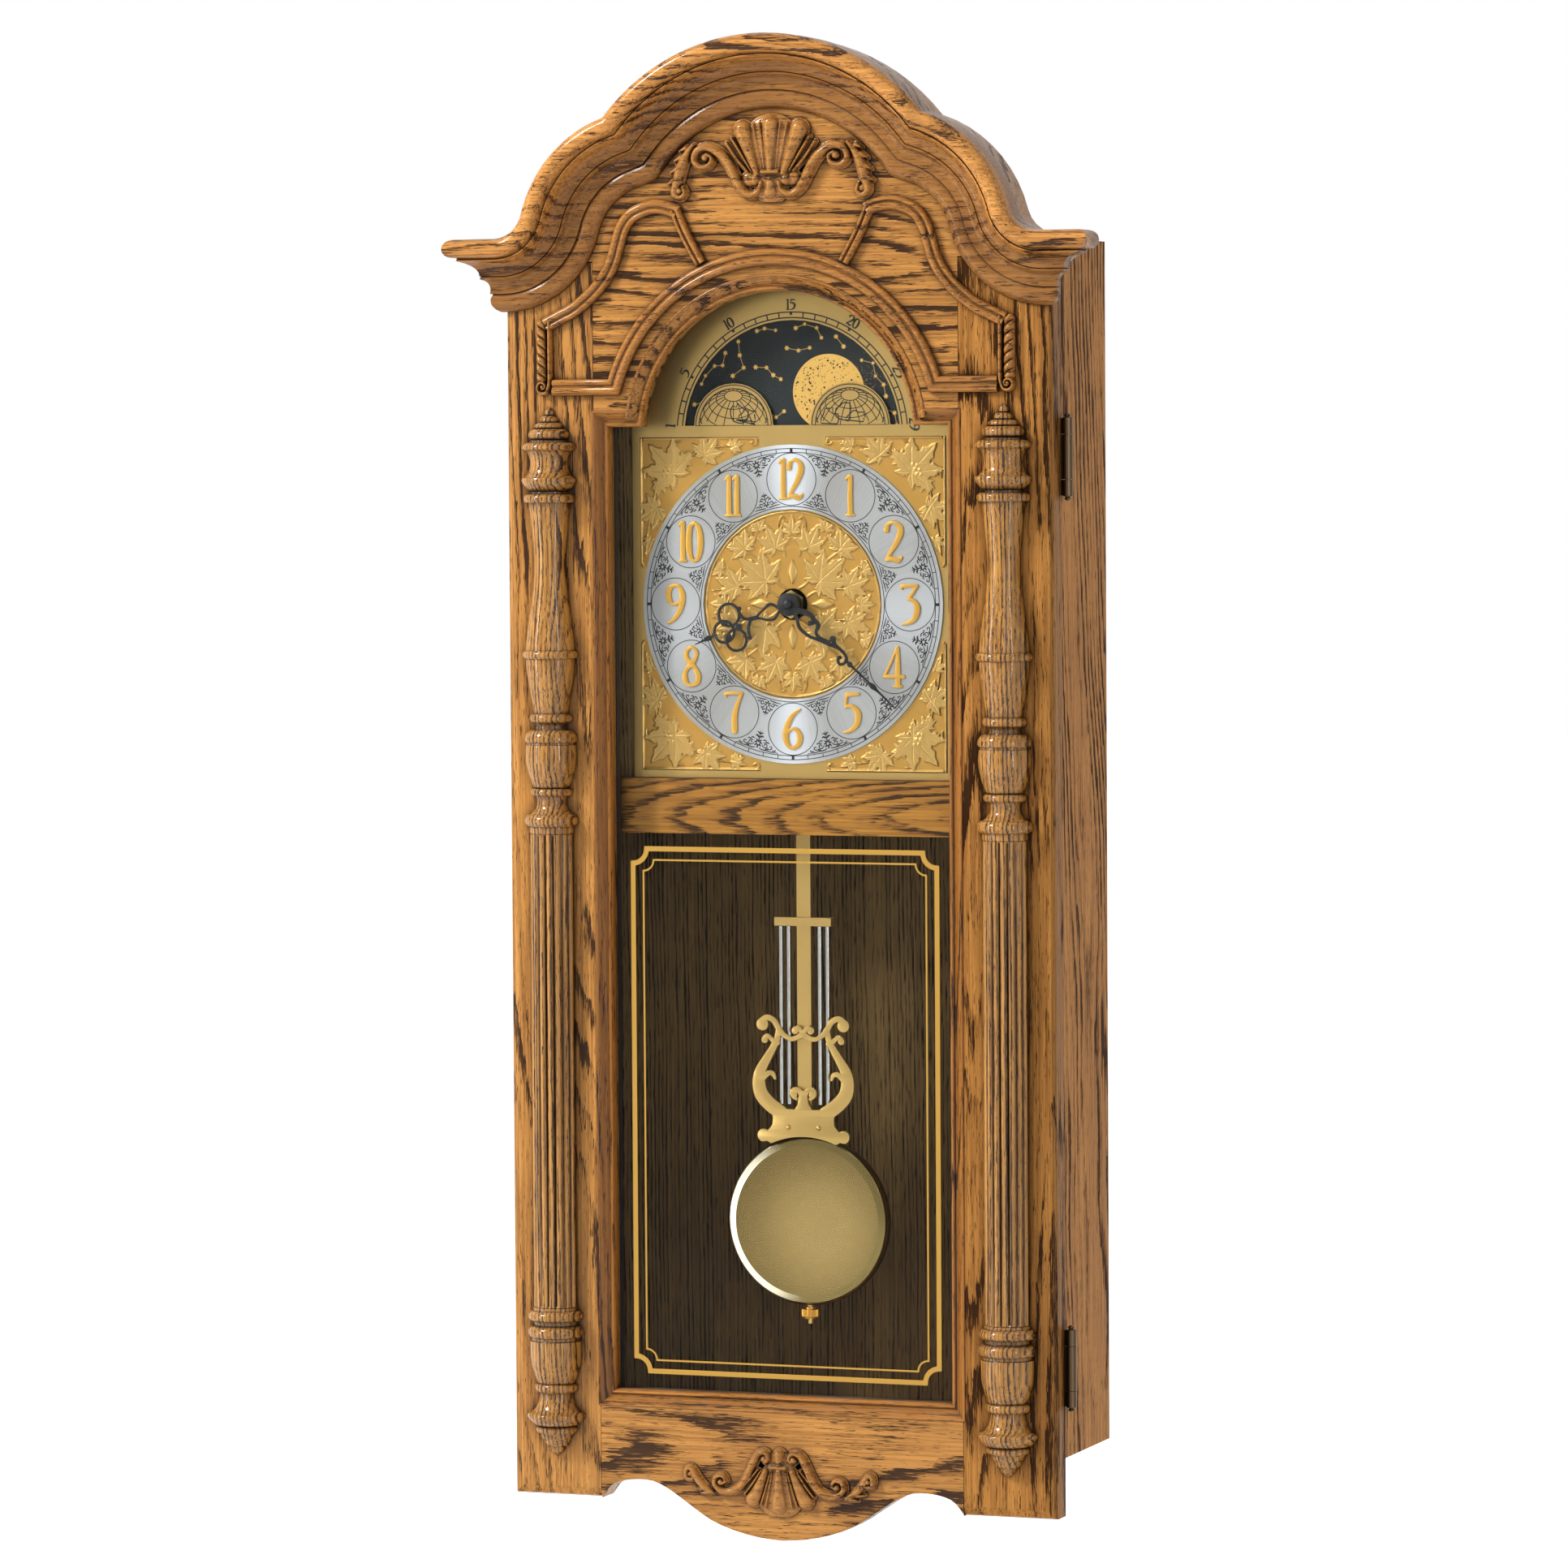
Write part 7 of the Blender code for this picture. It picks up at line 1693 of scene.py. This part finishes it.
sprays = {
    "outer": {"radius": 85.4, "strokes": (
        ((0, -7.6, 0.25), (0, -3.0, 0.45), (0, -0.8, 0.5)), ((0.4, -3.6, 0.6), (1.6, -4.6, 0.7),
         (2.8, -4.2, 0.2)),
        ((0.2, -5.6, 0.5), (1.2, -6.6, 0.5), (2.0, -6.4, 0.2)), ((0, 0.6, 0.9), (0, 2.8, 0.5)),
        ((0.6, 0.4, 0.8), (2.1, 1.6, 0.4)), ((0.8, -0.4, 0.8), (2.5, -0.6, 0.4)), ((0.5, -1.0, 0.8),
         (1.7, -2.4, 0.4)),
        ((1.2, 2.6, 0.3), (3.4, 3.2, 0.45), (6.4, 3.0, 0.4), (9.4, 3.1, 0.4), (12.6, 2.6, 0.3),
         (14.0, 3.0, 0.2)),
        ((2.4, 0.2, 0.3), (4.4, 1.8, 0.4), (6.0, 1.0, 0.4), (5.4, -0.6, 0.4), (4.2, -0.2, 0.4),
         (4.5, 0.7, 0.3)),
        ((6.2, 1.6, 0.3), (8.2, 1.8, 0.4), (9.3, 0.8, 0.4), (8.4, -0.1, 0.4), (7.6, 0.5, 0.3)),
        ((9.6, 2.2, 0.3), (11.4, 1.9, 0.5), (12.0, 1.0, 0.2)), ((2.6, -2.4, 0.3), (4.2, -2.8, 0.5),
         (5.2, -2.0, 0.2)),
        ((3.4, -1.0, 0.3), (6.2, -1.8, 0.5), (7.0, -1.2, 0.2)), ((5.2, 2.9, 0.3), (6.0, 2.2, 0.6),
         (7.2, 2.4, 0.2)))},
    "inner": {"radius": 61.6, "strokes": (
        ((0, 6.6, 0.25), (0, 3.0, 0.45), (0, 1.0, 0.5)), ((0.2, 4.6, 0.5), (1.2, 5.2, 0.5),
         (1.7, 4.4, 0.2)),
        ((0, -0.6, 0.8), (0, -2.4, 0.4)), ((0.5, -0.3, 0.7), (1.8, -1.4, 0.3)), ((0.5, 0.3, 0.7),
         (1.9, 0.8, 0.3)),
        ((0.8, -2.7, 0.3), (3.4, -2.5, 0.45), (6.4, -2.4, 0.35), (8.4, -2.6, 0.2)),
        ((1.8, -0.4, 0.3), (3.6, 0.6, 0.4), (4.4, -0.6, 0.4), (3.4, -1.4, 0.4), (2.8, -0.8, 0.3)),
        ((4.6, -1.4, 0.3), (6.0, -0.6, 0.4), (6.6, -1.5, 0.2)), ((1.6, 1.6, 0.3), (3.2, 2.6, 0.5),
         (3.6, 1.6, 0.2)),
        ((0.6, 2.6, 0.3), (2.2, 3.6, 0.5), (2.6, 2.8, 0.2)))},
}


def makeSprays():
    front, back = drawnOn(clock["chapterFace"])
    for kind, spray in sprays.items():
        parts = []
        for stroke in spray["strokes"]:
            points = drawn([(x, z + spray["radius"], width * 1.5) for x, z, width in stroke], 3)
            parts.append(ribbonPrism(points, front, back))
            if stroke[0][0] or stroke[-1][0]:
                parts.append(ribbonPrism(flip(points), front, back))
        mesh = buildMesh(f"spray_{kind}", *joined(parts))
        for step in range(12):
            copy = mesh.copy()
            copy.transform(toArbor @ Matrix.Rotation(math.radians(15 + step * 30), 4, "Y"))
            keepPiece(f"spray_{kind}_{step + 1}", copy, "ink", "case", 30)
        bpy.data.meshes.remove(mesh)


makeNumerals()
makeTrack()
makeSprays()
print("chapter ring made")


# Moon arch: day scale, globes on the two humps, and the star field on the turning disc

moonArt = {
    "scaleOut": 0.0728, "scaleIn": 0.0695, "scaleLine": 0.00076, "numbers": 0.0772, "perDay": 6.1,
    "footZ": 0.2495, "humpX": 0.0368, "humpRadius": 0.024, "moonX": 0.0227, "moonUp": 0.0254,
    "moonRadius": 0.0225, "discFace": -0.0764,
    # how far each mark starts from the inner line, and its width
    "longMark": (0.0016, 0.0016), "mark": (0.0, 0.0008),
    "days": (1, 5, 10, 15, 20, 25, 29),
}
globe = {
    "lean": 34, "inset": 0.0022, "edge": 0.0006, "line": 0.00052, "coast": 0.00075, "sill": 0.0004,
    "seeds": (7, 8), "coasts": 3, "coastSteps": 14, "coastLong": 24, "coastHigh": 17,
}
sky = {
    "seed": 29, "craters": 330, "tries": 900, "inner": 0.012, "outer": 0.0665, "apart": 0.0105,
    "near": 0.0062, "line": 0.00042, "star": 0.52, "dashes": (0.26, 0.42, 0.58, 0.74), "dust": 240,
    "dustSize": 0.00018, "moonGap": 0.002, "field": 0.066, "hop": (0.005, 0.0085), "swerve": 1.3,
    "between": 0.0045, "starSize": (0.0013, 0.0018), "craterReach": 0.94, "craterSize": (0.00026, 0.00046),
    "bandStart": 18, "bandLength": 34, "bandAway": 0.056, "bandWidth": 0.0075, "edge": 0.069,
}


def makeMoonScale():
    front, back = drawnOn(clock["dialFace"])
    centre, foot = clock["moonZ"], moonArt["footZ"]
    parts = []
    for radius in (moonArt["scaleOut"], moonArt["scaleIn"]):
        low = math.degrees(math.asin((foot - centre) / radius))
        parts.append(ringPrism(0, centre, radius, moonArt["scaleLine"], front, back, 90, low, 180 - low))
    for half in (*range(2, 60, 2), 59):
        angle = math.radians(90 + (15 - half / 2) * moonArt["perDay"])
        if centre + moonArt["scaleIn"] * math.sin(angle) < foot:
            continue
        inset, width = moonArt["longMark"] if half % 10 == 0 else moonArt["mark"]
        ends = [(radius * math.cos(angle), centre + radius * math.sin(angle), width)
                for radius in (moonArt["scaleIn"] + inset, moonArt["scaleOut"])]
        parts.append(ribbonPrism(ends, front - chapter["ground"], back))
    for day in moonArt["days"]:
        mesh = platedMesh(f"day_{day}", numeralLoops(str(day), 0.0001, 0.26, 1.5, 1.7), front, back)
        turn = math.radians(90 + (15 - day) * moonArt["perDay"])
        place = (moonArt["numbers"] * math.cos(turn), 0, centre + moonArt["numbers"] * math.sin(turn))
        mesh.transform(Matrix.Translation(place) @ Matrix.Rotation(math.pi / 2 - turn, 4, "Y"))
        keepPiece(f"day_{day}", mesh, "ink", "case", 30)
    keepBuilt("moon_scale", joined(parts), "ink", "case")


def globePoint(longitude, latitude):
    # across, up and towards the viewer, on a globe seen a little from above
    longitude, latitude, lean = (math.radians(value) for value in (longitude, latitude, globe["lean"]))
    x = math.cos(latitude) * math.sin(longitude)
    y = math.cos(latitude) * math.cos(longitude)
    z = math.sin(latitude)
    return x, z * math.cos(lean) - y * math.sin(lean), y * math.cos(lean) + z * math.sin(lean)


def globeLine(line, middle, radius, front, back):
    parts, run = [], []
    for longitude, latitude in line:
        x, up, deep = globePoint(longitude, latitude)
        if deep > 0.02 and up > 0.01:
            run.append((middle + x * radius, moonArt["footZ"] + up * radius, globe["line"]))
            continue
        if len(run) > 1:
            parts.append(ribbonPrism(run, front, back))
        run = []
    return parts + [ribbonPrism(run, front, back)] if len(run) > 1 else parts


def makeGlobes():
    # meridians, parallels and ragged coasts, cut at the humps' foot
    front, back = drawnOn(clock["dialFace"])
    radius, foot, hump = moonArt["humpRadius"] - globe["inset"], moonArt["footZ"], moonArt["humpRadius"]
    lines = [[(lon, lat) for lat in range(-30, 76, 7)] for lon in range(-160, 181, 20)]
    lines += [[(lon, lat) for lon in range(-180, 181, 9)] for lat in range(-15, 90, 15)]
    for side, sign, seed in (("left", -1, globe["seeds"][0]), ("right", 1, globe["seeds"][1])):
        middle = sign * moonArt["humpX"]
        parts = [ringPrism(middle, foot, size, globe["edge"], front, back, 40, 0, 180)
                 for size in (hump, radius)]
        sill = [(middle + end * hump, foot, globe["sill"]) for end in (-1, 1)]
        parts.append(ribbonPrism(sill, front, back))
        for line in lines:
            parts += globeLine(line, middle, radius, front, back)
        random = np.random.default_rng(seed)
        for _ in range(globe["coasts"]):
            longitude, latitude = random.uniform(-60, 60), random.uniform(20, 55)
            run = []
            for step in range(globe["coastSteps"] + 1):
                turn = math.tau * step / globe["coastSteps"]
                ragged = 0.72 + 0.5 * random.random()
                x, up, deep = globePoint(longitude + globe["coastLong"] * ragged * math.cos(turn),
                                         latitude + globe["coastHigh"] * ragged * math.sin(turn))
                if deep > 0.05 and up > 0.02:
                    run.append((middle + x * radius, foot + up * radius, globe["coast"]))
            if len(run) > 3:
                parts.append(ribbonPrism(run, front - chapter["ground"], back))
        keepBuilt(f"globe_{side}", joined(parts), "ink", "case")


def farFrom(x, z, places, gap):
    return all(math.hypot(x - px, z - pz) > gap for px, pz in places)


def inSky(x, z, moons):
    gap = moonArt["moonRadius"] + sky["moonGap"]
    return sky["inner"] <= math.hypot(x, z) <= sky["outer"] and farFrom(x, z, moons, gap)


def walkStars(random, start, placed, moons):
    # two to four more stars, each near the one before
    stars = [start]
    heading = random.random() * math.tau
    for _ in range(int(random.integers(2, 5))):
        for _ in range(12):
            turn = heading + random.uniform(-sky["swerve"], sky["swerve"])
            length = random.uniform(*sky["hop"])
            x, z = stars[-1][0] + length * math.cos(turn), stars[-1][1] + length * math.sin(turn)
            free = inSky(x, z, moons) and farFrom(x, z, placed, sky["near"])
            if free and farFrom(x, z, stars, sky["between"]):
                stars.append((x, z))
                heading = turn
                break
    return stars


def makeSky():
    front, back = drawnOn(moonArt["discFace"])
    centre = clock["moonZ"]
    random = np.random.default_rng(sky["seed"])
    moons = [(sign * moonArt["moonX"], sign * moonArt["moonUp"]) for sign in (1, -1)]
    smallest, spread = sky["craterSize"]
    gold, dark, placed = [], [], []
    for x, z in moons:
        gold.append(discPrism(x, centre + z, moonArt["moonRadius"], front - 0.00002, back, 64))
        for _ in range(sky["craters"]):
            away = moonArt["moonRadius"] * sky["craterReach"] * math.sqrt(random.random())
            turn = random.random() * math.tau
            size = smallest + spread * random.random() ** 3
            dark.append(discPrism(x + away * math.cos(turn), centre + z + away * math.sin(turn), size,
                                  front - 0.00005, front - 0.00001, 6))
    for _ in range(sky["tries"]):
        x, z = (random.uniform(-sky["field"], sky["field"]) for _ in range(2))
        if not (inSky(x, z, moons) and farFrom(x, z, placed, sky["apart"])):
            continue
        stars = walkStars(random, (x, z), placed, moons)
        placed += stars
        for index, (x, z) in enumerate(stars):
            size = random.uniform(*sky["starSize"])
            star = discPrism(x, centre + z, size, front - 0.00001, back, 12, random.random(), sky["star"])
            gold.append(star)
            px, pz = stars[index - 1]
            for share in sky["dashes"] if index else ():
                ends = [(px + (x - px) * at, centre + pz + (z - pz) * at, sky["line"])
                        for at in (share - 0.05, share + 0.05)]
                gold.append(ribbonPrism(ends, front, back))
    for _ in range(sky["dust"]):
        turn = math.radians(sky["bandStart"] + sky["bandLength"] * random.normal(0.5, 0.22))
        turn += math.pi if random.random() < 0.5 else 0
        away = sky["bandAway"] + sky["bandWidth"] * random.normal(0, 0.8)
        x, z = away * math.cos(turn), away * math.sin(turn)
        if sky["inner"] < math.hypot(x, z) < sky["edge"] and farFrom(x, z, moons, 0.023):
            gold.append(discPrism(x, centre + z, sky["dustSize"], front, back, 5))
    keepBuilt("sky_stars", joined(gold), "skyGold", "moon")
    keepBuilt("moon_craters", joined(dark), "ink", "moon")


makeMoonScale()
makeGlobes()
makeSky()
print("moon arch made")


# Gilt border on the glass

border = {
    "half": 0.0973, "low": -0.316, "high": -0.0003, "band": 0.003, "notch": 0.0087, "inset": 0.0076,
    "fine": 0.0011, "fineNotch": 0.0065, "lift": 0.00006, "glassFace": -0.097,
}


def notchedPath(inset, notch):
    half, low, high = border["half"] - inset, border["low"] + inset, border["high"] - inset
    path = []
    for x, z, start in ((half, high, 180), (-half, high, 270), (-half, low, 0), (half, low, 90)):
        path += arcPath(x, z, notch, start, start + 90, 10)[::-1]
    return path


def makeGlassBorder():
    front = -border["glassFace"] + border["lift"]
    back = front - border["lift"] * 0.8
    parts = []
    for inset, width, notch in ((border["band"] / 2, border["band"], border["notch"]),
                                (border["inset"] + border["fine"] / 2, border["fine"], border["fineNotch"])):
        section = [(-width / 2, back), (-width / 2, front), (width / 2, front), (width / 2, back)]
        parts.append(swept(notchedPath(inset, notch), section, True, 0.0))
    keepBuilt("glass_border", joined(parts), "gilt", "door")


makeGlassBorder()
print("glass border made")


# Floor, light and camera

studio = {
    "floorZ": -0.62,
    "worldLight": 0.22,
    "lamps": (
        ("keyLamp", (-2.0, -1.74, 2.0), 84.0, 0.6, 0.6),
        ("fillLamp", (1.6, -3.2, 0.7), 6.0, 1.2, 1.2),
        ("stripLamp", (0.2, -2.6, 2.1), 3.0, 1.4, 0.25),
        ("leftStrip", (-2.3, -1.93, 0.1), 19.0, 0.14, 1.8),
        ("rightStrip", (2.3, -1.9, 0.1), 12.0, 0.12, 1.8)),
    "aim": (0.0, -0.05, 0.03),
    "floorSize": 30,
}
view = {
    "place": (1.4229, -3.9094, 0.2439), "azimuth": 20.46, "down": 2.9, "roll": -0.363, "lens": 158.34,
    "sensor": 36, "farthest": 60,
}


def plainView(tree):
    # 1 for what the camera sees, straight, mirrored or through glass
    rays = addNode(tree, "ShaderNodeLightPath").outputs
    bounced = calc(tree, "MAXIMUM", rays["Is Glossy Ray"], rays["Is Transmission Ray"])
    return calc(tree, "MAXIMUM", rays["Is Camera Ray"], bounced)


def makeFloor():
    bpy.ops.object.select_all(action="DESELECT")
    bpy.ops.mesh.primitive_plane_add(size=studio["floorSize"], location=(0, 0, studio["floorZ"]))
    floor = bpy.context.object
    floor.name = "floor"
    material = bpy.data.materials.new("paleFloor")
    material.use_nodes = True
    tree = material.node_tree
    shader = tree.nodes["Principled BSDF"]
    shader.inputs["Base Color"].default_value = (0.86, 0.86, 0.86, 1)
    shader.inputs["Roughness"].default_value = 0.8
    plug(tree, shader.inputs["Emission Strength"], calc(tree, "MULTIPLY", plainView(tree), 0.8))
    shader.inputs["Emission Color"].default_value = (1, 1, 1, 1)
    floor.data.materials.append(material)


def makeWorld():
    world = bpy.data.worlds.new("studio")
    scene.world = world
    world.use_nodes = True
    tree = world.node_tree
    level = calc(tree, "MULTIPLY_ADD", plainView(tree), 1.0 - studio["worldLight"], studio["worldLight"])
    background = tree.nodes["Background"]
    background.inputs["Color"].default_value = (1, 1, 1, 1)
    plug(tree, background.inputs["Strength"], level)


def makeLamp(name, place, watts, size, height):
    lamp = bpy.data.lights.new(name, "AREA")
    lamp.energy = watts
    lamp.shape = "RECTANGLE"
    lamp.size = size
    lamp.size_y = height
    holder = bpy.data.objects.new(name, lamp)
    scene.collection.objects.link(holder)
    holder.location = place
    way = Vector(studio["aim"]) - Vector(place)
    holder.rotation_euler = way.to_track_quat("-Z", "Y").to_euler()


def makeCamera():
    azimuth, down, roll = (math.radians(view[key]) for key in ("azimuth", "down", "roll"))
    level = math.cos(down)
    forward = Vector((-math.sin(azimuth) * level, math.cos(azimuth) * level, -math.sin(down)))
    right = Vector((math.cos(azimuth), math.sin(azimuth), 0))
    upward = right.cross(forward)
    rightTurned = right * math.cos(roll) + upward * math.sin(roll)
    upTurned = upward * math.cos(roll) - right * math.sin(roll)
    camera = bpy.data.objects.new("camera", bpy.data.cameras.new("camera"))
    scene.collection.objects.link(camera)
    turn = Matrix((rightTurned, upTurned, -forward)).transposed().to_4x4()
    camera.matrix_world = Matrix.Translation(view["place"]) @ turn
    camera.data.lens = view["lens"]
    camera.data.sensor_width = view["sensor"]
    camera.data.clip_end = view["farthest"]
    scene.camera = camera


makeFloor()
makeWorld()
for lamp in studio["lamps"]:
    makeLamp(*lamp)
makeCamera()
scene.view_settings.view_transform = "Standard"
print("studio ready")
